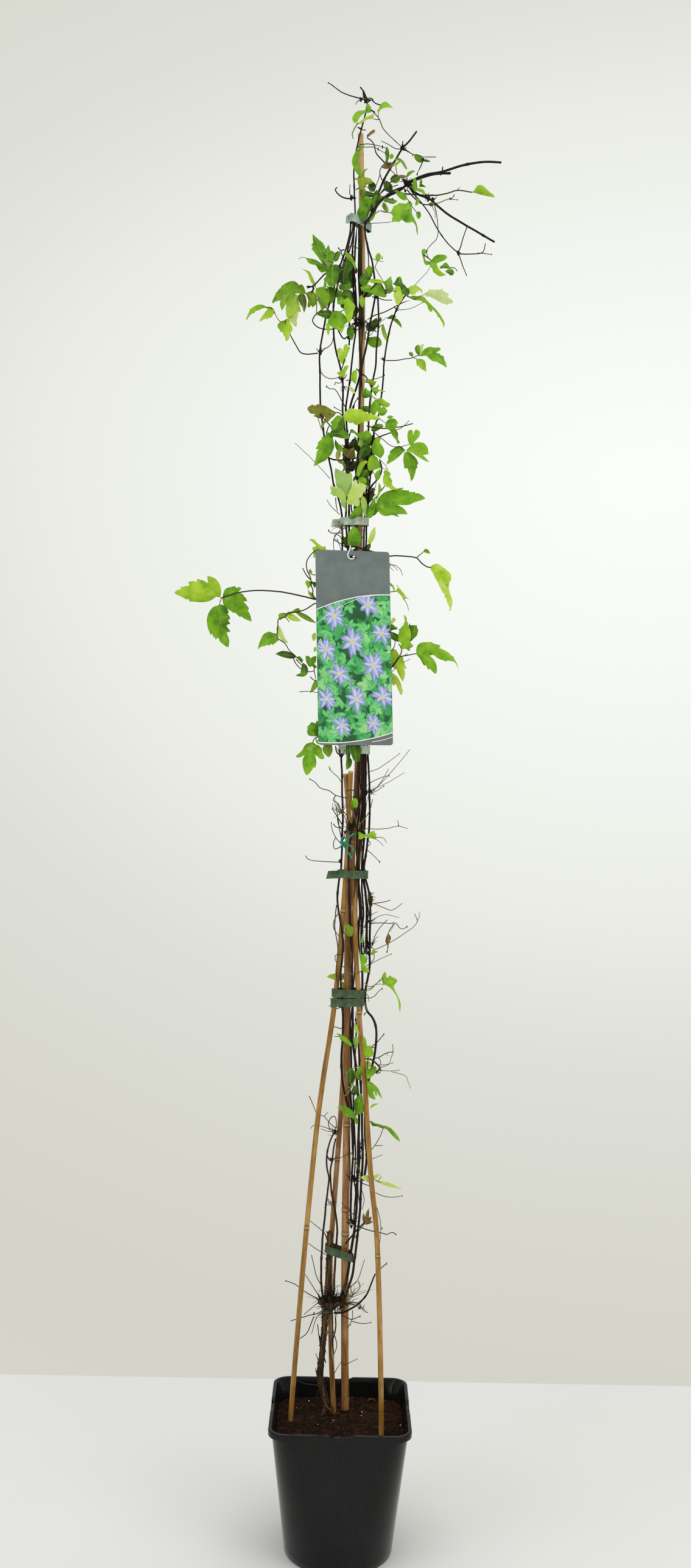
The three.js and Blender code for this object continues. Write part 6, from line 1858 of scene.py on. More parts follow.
              117.5, 1238.7, 119.3, 1236.8, 117.5, 1234.7, 123, 1232.5, 128, 1229.8, 132, 1227.5, 133,
               1225.5,
              137.5, 1223, 138.5, 1220, 141, 1216, 143.5, 1210, 145, 1203.5, 143.3, 1209, 141, 1213, 139,
               1215.5,
              134, 1216.8, 129, 1217.5, 127, 1215.9, 124, 1217.5, 119, 1219, 115, 1221, 112, 1223.3, 109,
               1224.8,
              104.5, 1223.8, 108, 1221, 112, 1216, 114.5, 1210, 115, 1204, 114.3, 1200, 113.5, 1198.8, 110,
               1201,
              107, 1204, 105, 1206, 103.5, 1204.3, 101, 1207.5, 100, 1211, 97.5, 1209.6, 95, 1213, 92.5,
               1218,
              90, 1221, 87, 1224.3), {"tone": 0.54, "lean": -12, "roll": 0.25, "depth": -13}],
            [(77, 1244, 82, 1255, 84, 1264), (75, 1263, 76.3, 1268.6, 77.3, 1265, 82, 1265.3, 86.5, 1265,
             87, 1261, 88.5, 1259,
             87.5, 1254, 86, 1250, 83, 1247.5, 80, 1244, 77, 1242.5, 74, 1250), {"tone": 0.38, "depth": -11,
              "lean": 3}],
            [(68, 1234, 71, 1255, 69, 1279), (66, 1232, 64.5, 1235, 65, 1240, 62, 1243, 61, 1247, 61, 1252,
             62.3, 1257, 61, 1260, 63, 1259.5,
             65, 1262, 66, 1264, 68, 1264.5, 68.5, 1268, 70, 1270, 69, 1274, 68, 1280, 70, 1278, 72.5, 1275,
              72.3, 1272.5,
             74, 1268, 75.5, 1263, 77.5, 1258, 78.5, 1252, 77.5, 1245.5, 74, 1240, 71, 1235),
             {"tone": 0.62, "depth": -15, "lean": 4, "fold": -0.2}],
            [(68, 1233, 81, 1238), (66.5, 1231.8, 69, 1240, 73, 1243.5, 77, 1243, 80, 1239, 82.2, 1238,
             80.5, 1235, 77, 1233,
             78, 1230.5, 75, 1229.8, 73, 1232.2, 69.5, 1232.5), {"tone": 0.6, "depth": -17, "lean": -3}],
            [(62, 1243, 55, 1250, 50, 1256), (65, 1241.5, 58, 1242.8, 54, 1244.5, 49, 1248, 47, 1255, 50,
             1257, 53, 1255.5,
             57, 1254, 61, 1251.5, 62, 1246), {"tone": 0.34, "depth": -14}],
            [(48, 1262, 60, 1260), (47, 1266, 50.5, 1266.5, 54, 1265.5, 56, 1263.5, 59, 1262, 60.3, 1260,
             58, 1258.7, 54, 1258.3,
             50, 1256.5, 47, 1259), {"tone": 0.36, "depth": -13}],
            [(51, 1266, 56, 1273), (50, 1267, 51, 1272, 53, 1275, 56, 1274.5, 57.7, 1272, 55, 1269, 52.5,
             1266.5), {"tone": 0.85, "depth": -12}],
            [(56, 1230, 60, 1215, 68, 1190), (50, 1227, 54, 1232, 58, 1231.5, 60.5, 1228, 63, 1224, 68,
             1222, 69, 1217, 71, 1211,
             73.5, 1206, 72, 1204.5, 69, 1207, 71.5, 1200, 71, 1195, 69.5, 1190, 68.3, 1187.3, 66, 1191, 63,
              1196, 61, 1200,
             59.5, 1204.5, 57, 1204.5, 54, 1208, 50, 1214), {"tone": 0.72, "depth": -10, "lean": 2,
              "roll": 0.1}],
            [(53, 1200, 60, 1189, 66.5, 1170.5), (52, 1201, 57, 1197.5, 61, 1194, 64, 1189, 66.5, 1183,
             67.5, 1178, 69.3, 1175.7,
             68, 1172, 67, 1169.3, 65, 1170, 63.5, 1174, 61, 1179, 59, 1184, 57.5, 1183.3, 56, 1181.3, 54,
              1184, 52, 1190),
             {"tone": 0.8, "bronze": 0.15, "lean": -5}]]},
    "label_foot_leaf": {"depth": -21, "free": 0.4, "stalks": [
        ["brown", 0.6, (1.4, 1106, -14), (0.6, 1101, -18), (0, 1098, -21)]],
        "blades": [
            [(2, 1101, 5, 1090, 7, 1078), (-2, 1101, 4, 1102, 11, 1100, 12.5, 1096, 13.6, 1092, 12.8, 1088,
             12, 1083, 11.5, 1079, 9, 1076.3,
             6, 1077.5, 3, 1078, 1.5, 1081, 0.3, 1085, -0.6, 1086.7, -2.5, 1092), {"tone": 0.32, "lean": -4,
              "roll": -0.2}],
            [(-5, 1099, -5.5, 1080, -6, 1066), (-7.5, 1100, -2.5, 1100, -3, 1092, -1.5, 1086, -2, 1082, 0,
             1080, 1, 1077, 0.5, 1073,
             -1.5, 1069, -4, 1067, -6.8, 1065.2, -7.5, 1072, -7, 1082, -8, 1092), {"tone": 0.3, "lean": -2,
              "depth": -20}]]},
    "pale_leaves": {"depth": -26, "free": 0.4, "stalks": [
        ["green", 0.8, (-14, 1424, -12.6), (-13.5, 1420, -20), (-13, 1424, -26), (-13, 1432, -26)]],
        "blades": [
            [(-14, 1440, -18, 1455, -24, 1475), (-29, 1479, -26, 1477, -20, 1474.5, -14, 1472, -11.5,
             1470.5, -8, 1473.5, -6, 1470,
             -5.5, 1463, -5.5, 1458, -6.5, 1453, -9, 1447, -12, 1441, -14, 1436, -16, 1440, -20, 1446, -25,
              1451,
             -27.5, 1455, -28.5, 1462, -30, 1470), {"tone": 0.5, "under": 0.75, "lean": 3, "depth": -24}],
            [(-13, 1425, -20, 1438, -33, 1449), (-35.5, 1454.5, -31, 1453.5, -26, 1452, -24, 1452.7, -20,
             1450, -15, 1442, -13, 1433,
             -12.5, 1424, -16, 1424, -21, 1428, -20.5, 1433, -23, 1437, -27, 1440, -31, 1440.3, -33, 1442.5,
              -35.7, 1443.5,
             -34, 1446, -35, 1450), {"tone": 0.62, "under": 0.6, "lean": -3, "depth": -25.5}],
            [[(-12, 1431, -3, 1447, -1, 1462), (-12, 1431, 2, 1444, 13, 1454)],
             (-13, 1431, -12, 1436, -11, 1443, -9, 1448, -7, 1451, -5, 1457, -3, 1462, -1.3, 1463.6, 0.5,
              1462, 2, 1457,
              4, 1459.6, 7, 1459, 10, 1457.5, 14.6, 1456, 13.5, 1451.5, 12.5, 1448, 9.5, 1445, 9, 1442, 7,
               1439, 4, 1437.5,
              5.5, 1433, 5, 1428.5, 2, 1426, -4, 1428.5, -8, 1429, -12, 1430), {"tone": 0.85, "under": 0.25,
               "depth": -27}],
            [(3, 1461, 13, 1465), (1, 1461, 4, 1465.7, 8, 1467, 12, 1465.5, 14.5, 1461, 12, 1457, 6, 1458),
             {"tone": 0.55, "depth": -23}],
            [(13.5, 1415, 12, 1428, 9, 1440), (9, 1441, 12, 1439, 14.5, 1434, 15, 1427, 14, 1419, 13.5,
             1413, 11, 1415, 9, 1423, 7, 1430, 6.5, 1436),
             {"tone": 0.6, "under": 0.4, "depth": -24}],
            [(-7, 1412, 0, 1418, 9, 1422), (-10, 1411, -5, 1419, 0, 1425, 5, 1428.5, 9, 1427.5, 10, 1421, 6,
             1415, 0, 1411, -6, 1409),
             {"tone": 0.42, "depth": -22}],
            [(15, 1414, 20, 1424, 27, 1440), (27.3, 1441.5, 24, 1437.5, 19.5, 1430, 16, 1423, 14.5, 1416,
             16, 1412, 20, 1410.5, 22.5, 1413,
             24.5, 1418, 26.7, 1424, 27, 1430, 26.5, 1436), {"tone": 0.48, "depth": -20}],
            [(1, 1470, 6, 1480, 13, 1489), (0, 1469, 0.5, 1477, 3, 1484, 7, 1488, 12, 1490, 15.5, 1488, 11,
             1483.5, 8, 1478, 5.5, 1472, 3, 1467),
             {"tone": 0.66, "depth": -19}],
            [(4, 1464, 10, 1470, 15, 1477), (2, 1463, 5, 1471, 10, 1476, 15, 1478, 17, 1471, 16.5, 1463, 18,
             1456, 13, 1452, 9, 1458),
             {"tone": 0.36, "depth": -17}],
            [(-14, 1493, -10, 1500, -4, 1506), (-22, 1503, -19, 1507.5, -12, 1505, -4, 1507.5, -2.5, 1500,
             -1.5, 1494, -7, 1491, -14, 1494),
             {"tone": 0.25, "bronze": 0.5, "depth": -17}],
            [(-26, 1488, -20, 1486, -17, 1477), (-27, 1489, -22, 1489, -17, 1486, -14.5, 1480, -16, 1475.5,
             -20, 1473.5, -18, 1479, -20, 1484,
             -24, 1485.5), {"tone": 0.35, "bronze": 0.5, "depth": -18}],
            [(-25, 1489, -27, 1497, -24, 1504), (-28, 1489, -29, 1497, -27, 1503.5, -23.5, 1505, -22, 1499,
             -23, 1493), {"tone": 0.85, "bronze": 0.8, "depth": -17}],
            [(4, 1492, 7, 1502, 14, 1511), (2, 1492, 3, 1500, 7, 1508, 14, 1512.5, 18, 1509, 19, 1502, 15,
             1496, 8, 1492), {"tone": 0.3, "depth": -16}],
            [(-27, 1516, -24, 1508, -20, 1502), (-30, 1518, -26, 1513, -20, 1508, -18.5, 1501, -24, 1501.5,
             -28, 1504, -30.5, 1511),
             {"tone": 0.42, "depth": -17}]]},
    "big_bright_leaf": {"depth": -24, "free": 0.6, "stalks": [
        ["green", 0.9, (16.6, 1430, 0), (15, 1421, -12), (21, 1424, -20), (28, 1426.5, -24)],
        ["brown", 0.7, (27, 1438, -22), (33, 1447, -22), (39.5, 1456, -24)]],
        "blades": [
            [[(28, 1426, 50, 1436, 70, 1441, 95, 1439), (30, 1426, 50, 1421, 71, 1417)],
             (27.8, 1426, 27.5, 1430, 29, 1435, 32, 1440, 36, 1444.5, 41, 1447.5, 47, 1449.5, 52, 1450.8,
              58, 1452.3,
              65.5, 1453.5, 62.5, 1450.3, 68, 1449.8, 72, 1449.8, 73, 1447.6, 77, 1447.6, 80.7, 1448, 81,
               1445.8,
              85, 1446, 90, 1443.5, 95.3, 1439.3, 89, 1436.3, 83, 1434.5, 77, 1432, 74, 1430.3, 69, 1429.5,
               63, 1429.3,
              57, 1429.4, 60, 1428, 64, 1426, 68, 1422, 71.3, 1416.8, 67, 1416.9, 62, 1416.9, 56.5, 1416.9,
               59.8, 1412.8,
              56, 1413.8, 50, 1415.5, 45, 1414.5, 40, 1414, 35, 1416, 31, 1420, 28.5, 1424),
             {"tone": 0.5, "lean": -14, "roll": 0.15}],
            [(28, 1436, 31, 1447, 31, 1459), (27, 1433, 29, 1441, 30, 1450, 30.5, 1459.5, 32.7, 1457, 34.6,
             1450, 31.5, 1442, 28.5, 1435),
             {"tone": 0.6}]]},
    "small_right_leaves": {"depth": -32, "free": 0.6, "stalks": [
        ["dark", 1.0, (17, 1447, -3), (21, 1455, -14), (28, 1463, -28), (33, 1471, -31), (34.3, 1480, -32),
         (32.8, 1487, -32),
         (31.3, 1491.5, -32)],
        ["green", 0.4, (33, 1490, -32), (39, 1484, -32), (43, 1477.5, -32)],
        ["straw", 0.35, (34, 1479.5, -32), (38, 1479, -32), (43, 1477.5, -32)],
        ["straw", 0.4, (17, 1476, -14), (21, 1475.5, -20), (24.5, 1471, -24), (27, 1460, -24), (26, 1452,
         -24)]],
        "blades": [
            [(32, 1493, 30, 1507, 27, 1520), (33, 1521.7, 31, 1514.5, 35, 1510, 37.5, 1504, 37, 1499, 34,
             1494.5, 32, 1492.8, 28, 1496,
             24, 1498, 21, 1503, 20, 1509, 22, 1514, 24, 1519, 27, 1521.3, 30, 1521.5), {"tone": 0.5,
              "roll": -0.2}],
            [(33, 1487, 26, 1487, 16, 1484), (17, 1493, 20, 1497, 24, 1496.5, 28, 1494, 30, 1489.5, 33,
             1486, 33.5, 1480, 30, 1479,
             25, 1477, 21, 1477, 18, 1475, 15.5, 1479, 15, 1485, 16, 1490), {"tone": 0.55}],
            [(31, 1464, 29, 1470, 31, 1477), (25.5, 1472, 28, 1475.5, 32, 1478.7, 33, 1475, 33, 1468, 30.5,
             1463.5, 28.5, 1462.3, 26, 1467),
             {"tone": 0.5}],
            [(44, 1475, 41, 1464, 47, 1453), (38.5, 1477, 42, 1476.5, 45.5, 1474, 47, 1472, 45.5, 1468.5,
             47.5, 1465, 49.5, 1462,
             48.5, 1458.5, 51, 1455, 55, 1452.5, 57.5, 1451, 50, 1450.3, 46.5, 1451.3, 44, 1454, 42, 1453,
              40, 1456.5,
             37.5, 1457, 36.3, 1462, 36.5, 1468, 38, 1471, 37, 1474), {"tone": 0.68}]]},
    "fan_spray": {"depth": -14, "stalks": [
        ["brown", 0.5, (22.4, 1529, 0), (32, 1521.5, -6), (38, 1517, -10), (45, 1511.3, -12), (52, 1509,
         -14), (60, 1509.5, -14),
         (66, 1504, -14)],
        ["green", 0.5, (60, 1509.5, -14), (66, 1511, -14), (72, 1513, -14)]],
        "blades": [
            [(65, 1504, 54, 1498, 41.5, 1485), (66, 1504, 63, 1508, 60, 1510, 56, 1510.3, 52, 1508.5, 49,
             1506, 46, 1503.5,
             44.5, 1500.5, 46.3, 1500, 43.5, 1497.5, 42.5, 1493.5, 43.7, 1492.5, 42, 1489, 41, 1484.3, 44,
              1486,
             49, 1489, 54, 1492.5, 58, 1496, 62, 1500), {"tone": 0.47, "lean": -7}],
            [(66, 1503, 72, 1490, 75, 1463), (65, 1501.5, 64, 1496, 63.7, 1491, 64.5, 1486, 65.5, 1479.3,
             68, 1480, 70, 1479.7,
             71, 1476, 73, 1471, 74, 1466, 74.8, 1462, 77, 1464.5, 79, 1468.5, 81, 1476, 81.3, 1479.5, 83.3,
              1480.8,
             83, 1484.5, 84.5, 1487, 82.5, 1492, 79.5, 1496, 76, 1499, 73, 1501.5, 69, 1503), {"tone": 0.5,
              "lean": 6}],
            [[(67, 1504, 82, 1507, 97, 1505), (70, 1503, 85, 1497, 99, 1489.5)],
             (67, 1504, 70, 1507.5, 73, 1510.5, 78, 1514, 82, 1516, 88, 1516, 92, 1514.5, 95.5, 1511, 97.5,
              1507,
              97.8, 1503, 98.7, 1500, 94, 1499, 90.5, 1498.5, 94, 1495, 97, 1492, 99.7, 1488.6, 94, 1490.5,
               88, 1493.5,
              82, 1497, 77, 1500.5, 72, 1502.5), {"tone": 0.58, "lean": -9}],
            [(75, 1511, 76, 1520, 77, 1530), (76, 1510, 72.5, 1512, 70, 1517, 69, 1522, 69, 1528, 70.5,
             1532, 73.5, 1533, 76, 1531,
             76.7, 1526, 78, 1529.5, 79, 1532.5, 82, 1533, 85, 1531.5, 86.3, 1528, 84.5, 1523, 81, 1519, 78,
              1515.5, 78.5, 1512),
             {"tone": 0.58, "lean": 6, "depth": -12}]]},
    "round_right_leaves": {"depth": -24, "free": 0.6, "stalks": [
        ["dark", 0.8, (29.8, 1548, 0), (28, 1546, -12), (25.5, 1551, -24)],
        ["green", 0.5, (26, 1550, -23), (32, 1546, -24), (39, 1541, -24)],
        ["green", 0.8, (16, 1549, -20), (17.6, 1560, -22), (18, 1570, -24), (18.7, 1579, -24)],
        ["green", 0.4, (19, 1579, -24), (25, 1572.5, -24)],
        ["green", 0.4, (20, 1577, -24), (28, 1573.5, -24)],
        ["brown", 0.75, (13, 1537, -18), (25, 1535, -22), (40, 1534, -22), (55, 1536, -20), (66, 1538.5,
         -18), (76, 1541.5, -16)],
        ["green", 0.5, (52, 1531.5, -22), (60, 1535, -20), (71, 1545.5, -16)]],
        "blades": [
            [(39, 1536, 46, 1540, 55, 1543), (38, 1535.5, 38.5, 1540, 40, 1544, 43, 1546.5, 48, 1548, 52,
             1547, 54.5, 1544, 56, 1541.5,
             54, 1540, 54.5, 1536.5, 52, 1533.5, 49, 1531, 42, 1532.5), {"tone": 0.5}],
            [(51, 1532, 53, 1524, 57, 1514), (44.5, 1531.5, 48, 1525, 51, 1521, 53, 1519, 54.5, 1516, 55,
             1513.3, 58, 1514, 58.7, 1517,
             56.5, 1518, 56, 1523, 56, 1528, 54, 1531, 52, 1534), {"tone": 0.46}],
            [(42, 1548.5, 49, 1551), (40, 1549, 43, 1551.7, 47, 1551.7, 49.7, 1550.5, 47, 1548.3, 43,
             1547.3), {"tone": 0.48}],
            [(18, 1558, 25, 1563, 28, 1573), (17.5, 1560, 18.5, 1565, 21, 1570, 24, 1573, 27, 1573.7, 29,
             1571.5, 30, 1567, 32, 1563,
             31, 1557, 26.5, 1557, 24, 1552.3, 20, 1552.7, 18, 1556), {"tone": 0.52}],
            [(28, 1554, 34, 1557, 40, 1560), (28, 1553, 33, 1551.3, 36.5, 1552, 39, 1554.5, 41, 1558, 38.5,
             1562, 34, 1563.5, 30, 1560),
             {"tone": 0.5, "depth": -22}],
            [(28, 1574, 35, 1569, 44, 1567), (27.5, 1574.5, 31, 1575.7, 35, 1574, 38, 1571.5, 41, 1569.8,
             43.5, 1569, 44.7, 1567,
             41.5, 1563.3, 38, 1563, 34, 1564, 31, 1567, 29, 1571), {"tone": 0.6}],
            [(18.5, 1579, 13, 1582, 11.5, 1589), (6, 1579, 7.5, 1583, 9, 1587.5, 11.5, 1589.8, 13, 1586.5,
             16, 1585, 18.3, 1583, 18.7, 1578.5,
             16.5, 1577, 12, 1575.3, 9, 1575, 6.3, 1577), {"tone": 0.44}],
            [[(20, 1585, 24, 1588, 28.5, 1594), (20, 1586, 28, 1586, 39, 1583.8)],
             (17, 1588.5, 20, 1590.5, 23, 1590, 26, 1592, 28.7, 1594.8, 28.5, 1591.3, 27, 1588, 30, 1586.9,
              34, 1586.3,
              39.3, 1583.7, 34, 1584.3, 29, 1585.3, 27, 1582.5, 24.5, 1580.8, 22, 1583.5, 19.5, 1586),
               {"tone": 0.5}],
            [(22, 1533, 28, 1536, 35, 1538), (19, 1531, 20, 1536, 24, 1539.5, 29, 1540.3, 34, 1539.8, 36,
             1536.7, 31, 1533, 26, 1530, 22, 1529),
             {"tone": 0.4, "depth": -18}]]},
    "left_green_leaves": {"depth": -22, "free": 0.5, "stalks": [
        ["green", 0.8, (-19, 1548, -12.6), (-19, 1543, -22), (-26, 1531, -22), (-36, 1525, -22)],
        ["green", 0.8, (-19, 1548, -12.6), (-25, 1554, -18), (-31, 1555, -20)],
        ["dark", 0.8, (-51, 1552, -22), (-45, 1545, -22), (-37.5, 1537, -22)],
        ["green", 0.5, (-54, 1546, -20), (-51, 1537, -20), (-49, 1530, -20)],
        ["brown", 0.7, (-42, 1527, -20), (-40, 1533, -20), (-37, 1538, -22)]],
        "blades": [
            [(-34, 1525, -28, 1538, -23, 1550), (-21, 1548, -24, 1550.5, -28, 1550.7, -31, 1547.5, -34,
             1544, -37.3, 1540.5, -34.5, 1538.3,
             -37.3, 1536.5, -36.5, 1533, -35, 1531, -37, 1527, -30, 1525, -22, 1528, -18, 1532, -17.5, 1537,
              -17.5, 1543, -18.5, 1547),
             {"tone": 0.45, "depth": -22.5}],
            [(-38, 1525.5, -25, 1526, -11, 1522), (-38, 1526, -34, 1529.5, -28, 1531, -20, 1530.6, -15,
             1530, -13, 1527, -11, 1524,
             -10, 1520.3, -14, 1519, -20, 1519.3, -26, 1520.5, -31, 1521.5, -34, 1521, -37, 1523),
              {"tone": 0.36, "depth": -25}],
            [(-38, 1525, -44, 1508, -57.5, 1482), (-43, 1526.7, -38, 1527, -34, 1523.5, -33, 1519, -31.5,
             1512, -31.3, 1507, -33, 1502,
             -35, 1497, -37.5, 1494.5, -41, 1490.5, -43, 1488.5, -47, 1486.5, -52, 1484, -55, 1482, -58.7,
              1480.6, -58, 1484,
             -56.5, 1490, -55.5, 1496, -55, 1500, -52.7, 1503.8, -56.7, 1504.2, -55, 1507.5, -53.3, 1510.5,
              -54, 1513,
             -50.5, 1516, -48.3, 1518, -49.2, 1520.7, -46, 1520.5, -44, 1521.5, -43, 1524),
             {"tone": 0.48, "depth": -23.5, "lean": -10, "roll": 0.2}],
            [[(-31, 1554, -48, 1557, -68, 1560), (-34, 1552, -42, 1543, -49, 1534)],
             (-29.5, 1555, -34, 1557.5, -38, 1560, -42, 1562.5, -46, 1564, -52, 1565, -54.5, 1566.5, -56,
              1564.7, -60, 1564,
              -62, 1565.3, -65, 1563.5, -68, 1561.5, -69, 1558.5, -67, 1556, -65, 1553, -61, 1552.3, -57.5,
               1551,
              -61.3, 1549.3, -58, 1548.5, -54, 1546.5, -51, 1546, -47, 1547.8, -44.7, 1548.3, -44, 1546.3,
               -46, 1543,
              -49, 1539, -50, 1533.5, -48, 1533, -46, 1536, -44, 1540, -40, 1542, -36, 1546.5, -32, 1550,
               -30, 1553),
             {"tone": 0.5, "bronze": 0.75, "depth": -21, "lean": -6, "roll": 0.1}],
            [(-19, 1550, 0, 1550, 29, 1548.5), (-19.7, 1550, -18, 1554, -15, 1557.5, -11, 1560.5, -7,
             1560.7, -4, 1559.3, 0, 1559.7,
             6, 1559.7, 7.5, 1557.5, 11, 1556, 15, 1554.5, 19, 1553.5, 25, 1551.5, 29, 1550.5, 30.5, 1548,
              26, 1545.5,
             20, 1546, 17, 1545, 15, 1543, 10, 1543, 6, 1541.5, 3, 1539.5, -1, 1538, -4, 1539, -6, 1541.2,
              -10, 1540.5,
             -13, 1542.5, -17, 1544.5, -19, 1547.5), {"tone": 0.72, "depth": -27, "lean": -4, "roll": 0.1}],
            [(-8, 1530, 2, 1524, 12, 1522), (-10, 1531, -7, 1532.7, -4, 1530.3, 0, 1527, 5, 1528.5, 10,
             1529.5, 13, 1531, 17, 1529, 19, 1524,
             16, 1519.5, 12, 1517.5, 8, 1516, 4, 1519, 0, 1522.5, -4, 1526.5, -9, 1527.7), {"tone": 0.44,
              "depth": -20}],
            [(2, 1512, 6, 1519, 5, 1527), (1, 1511, 3, 1519, 2, 1527, 7, 1528, 9, 1520, 8, 1512, 5, 1508),
             {"tone": 0.6, "under": 0.4, "depth": -19}],
            [(9, 1511, 14, 1517, 18, 1526), (8, 1511, 11, 1518, 16, 1526, 19, 1527, 20, 1520, 17, 1513, 12,
             1509), {"tone": 0.4, "depth": -18}],
            [(4, 1560, 9, 1563, 15, 1562), (0, 1559, 4, 1562, 10, 1564.5, 15, 1564, 17, 1560, 14, 1556, 6,
             1556), {"tone": 0.3, "depth": -19}]]},
    "small_upper_leaves": {"depth": -20, "free": 0.6, "stalks": [
        ["brown", 0.7, (-24.4, 1606, -12.6), (-23.5, 1612, -17), (-21, 1620, -20), (-19, 1628, -20)]],
        "blades": [
            [(-27, 1607, -22, 1611, -15, 1619), (-29.5, 1609, -25, 1611, -21, 1614, -19, 1618, -16, 1619.7,
             -13, 1618.7, -15, 1614, -17, 1611,
             -17.5, 1606, -20, 1603.3, -24, 1604.5, -27, 1606.5), {"tone": 0.62}],
            [(-19, 1624, -22, 1634, -27, 1642), (-28.7, 1630, -26.5, 1632, -28, 1635, -29.7, 1639, -29,
             1642, -26, 1643.5, -23, 1642, -21.5, 1640,
             -20, 1636, -18, 1630, -17.5, 1625, -20, 1621, -23, 1622, -26, 1626), {"tone": 0.72}],
            [(-19, 1632, -16, 1640, -16, 1649), (-20, 1630, -20.5, 1638, -21, 1643, -19.5, 1647.5, -17,
             1649, -15, 1648.5, -15.3, 1645.5,
             -12, 1645, -12, 1641.5, -14, 1638, -16, 1632, -18, 1628), {"tone": 0.7}],
            [(-3, 1597, -5, 1605, -5, 1613), (-10, 1602, -9, 1609, -6, 1613, -2, 1614.3, -1.3, 1608, -2,
             1600, -3.5, 1594, -7, 1597),
             {"tone": 0.62, "depth": -18}],
            [(-3, 1582, -7, 1586, -12, 1591), (-12.3, 1591.5, -8, 1589.5, -5, 1585.5, -2.5, 1581, -7, 1582,
             -10, 1585, -12, 1588),
             {"tone": 0.8, "under": 0.6, "depth": -16}],
            [(11, 1598, 16, 1598, 25, 1598), (8, 1596, 12, 1600.5, 18, 1601.3, 22, 1598.5, 25.5, 1599, 22.5,
             1592, 17, 1594, 12, 1596),
             {"tone": 0.56, "bronze": 0.3, "depth": -14}],
            [(-17, 1663, -12, 1668, -10, 1675), (-17, 1662, -16, 1670, -12, 1675, -8, 1674, -6.5, 1668, -7,
             1660, -9, 1654, -12, 1655, -14, 1660),
             {"tone": 0.4, "depth": -18}]]},
    "long_stalk_right_spray": {"depth": -10, "stalks": [
        ["brown", 0.6, (38, 1627, 1), (52, 1627.5, -6), (62, 1629.5, -9), (72, 1631, -10), (77, 1633, -10),
         (82, 1634.7, -10),
         (87, 1634.8, -10)],
        ["green", 0.5, (73.5, 1631.8, -10), (76.5, 1631, -10), (80, 1630, -10)]],
        "blades": [
            [(74.3, 1632, 70, 1638.5), (68.7, 1638, 70, 1639.6, 72.5, 1639.4, 74.5, 1637.5, 75, 1635, 74,
             1633.2, 74.6, 1631.8, 73, 1633,
             71, 1634.3, 69.3, 1636), {"tone": 0.38}],
            [(83.5, 1636, 80.5, 1643, 81.5, 1649), (82.5, 1635, 80, 1637, 77.5, 1641, 77, 1645, 78.5, 1648,
             81.5, 1649.7, 83.7, 1648.5,
             84.3, 1642, 84.7, 1636.3), {"tone": 0.48, "lean": -4}],
            [(85, 1637, 86, 1644, 88, 1650), (84, 1648.5, 86, 1650.3, 89.2, 1651, 88.5, 1646, 87.5, 1641,
             86, 1638, 85, 1636.3, 84, 1642),
             {"tone": 0.8, "under": 0.5, "lean": 4}],
            [[(86, 1636, 100, 1638, 112, 1630, 121, 1619), (95, 1639, 104, 1643, 112, 1644.5)],
             (85.3, 1636.3, 87, 1640, 90, 1643.5, 94, 1646, 98, 1647, 102, 1646.3, 106, 1646, 110, 1646.4,
              112.7, 1644.5,
              111.5, 1642.3, 108.5, 1640.8, 106.3, 1639.2, 110, 1638.3, 113, 1635.8, 117.3, 1633.8, 117,
               1631, 119, 1627.5,
              120.5, 1623, 121.3, 1618.5, 118, 1620.5, 114.5, 1622.8, 110, 1624.8, 107, 1626.8, 103, 1627,
               99, 1629,
              95.5, 1632, 92.5, 1634.8, 89, 1634.3, 86.5, 1633.8), {"tone": 0.52, "lean": -11, "roll": 0.2}],
            [(80, 1630, 87, 1621.5, 93, 1613.3), (79, 1630, 85, 1630.3, 89, 1629, 91.5, 1626.5, 92.5, 1622,
             92.7, 1617.5, 93.4, 1612.5,
             90, 1614.5, 86, 1616.8, 83.5, 1619, 82, 1621, 80.7, 1619.6, 79.5, 1624), {"tone": 0.66,
              "lean": 5}]]},
    "far_upper_left_spray": {"depth": -16, "stalks": [
        ["brown", 0.75, (-55.6, 1635.5, -7), (-71, 1634, -12), (-79, 1636, -14), (-86, 1646, -16), (-91,
         1654.5, -16),
         (-97, 1665, -16), (-100, 1672, -16), (-101, 1680, -16)],
        ["green", 0.5, (-102, 1678, -16), (-108, 1678, -16), (-113, 1684, -16), (-116, 1690, -16), (-117.5,
         1694.5, -16)],
        ["dark", 0.5, (-118, 1695, -16), (-124, 1697, -16), (-129, 1697.5, -16)]],
        "blades": [
            [(-101, 1680, -99, 1667, -99.5, 1653), (-100, 1682.3, -96, 1680.5, -94, 1676, -92, 1672, -91,
             1668, -93, 1663, -95.7, 1660,
             -95, 1656, -97.5, 1652.5, -100, 1651.3, -101, 1656, -103.5, 1660, -104.7, 1663.3, -108, 1664.5,
              -109, 1667.3,
             -111, 1669, -111.7, 1673, -109.5, 1676.5, -106, 1678.7, -102, 1680), {"tone": 0.66,
              "lean": -6}],
            [(-98, 1682, -91, 1683, -85, 1691), (-99, 1683, -96, 1685.5, -92, 1687.5, -88, 1692, -84,
             1692.7, -83.3, 1688, -85, 1682,
             -85.5, 1678.5, -84.7, 1675, -86, 1671.3, -88, 1671.5, -91, 1675, -94, 1678, -97, 1680.5),
              {"tone": 0.86, "bronze": 0.15}],
            [(-118, 1694, -127, 1687, -137, 1678.5), (-129, 1697, -125, 1697.7, -121, 1698, -118.5, 1695.7,
             -117.5, 1692.7, -114.8, 1691,
             -116, 1688.3, -118.3, 1687, -119.3, 1684.3, -122, 1682.3, -123.5, 1683.5, -126, 1680.3, -128,
              1681.5, -131, 1680,
             -134, 1678.3, -137.3, 1677.7, -135, 1682, -132.5, 1685.5, -130, 1689, -128, 1692, -125.5,
              1694.5),
             {"tone": 0.76, "lean": 7}],
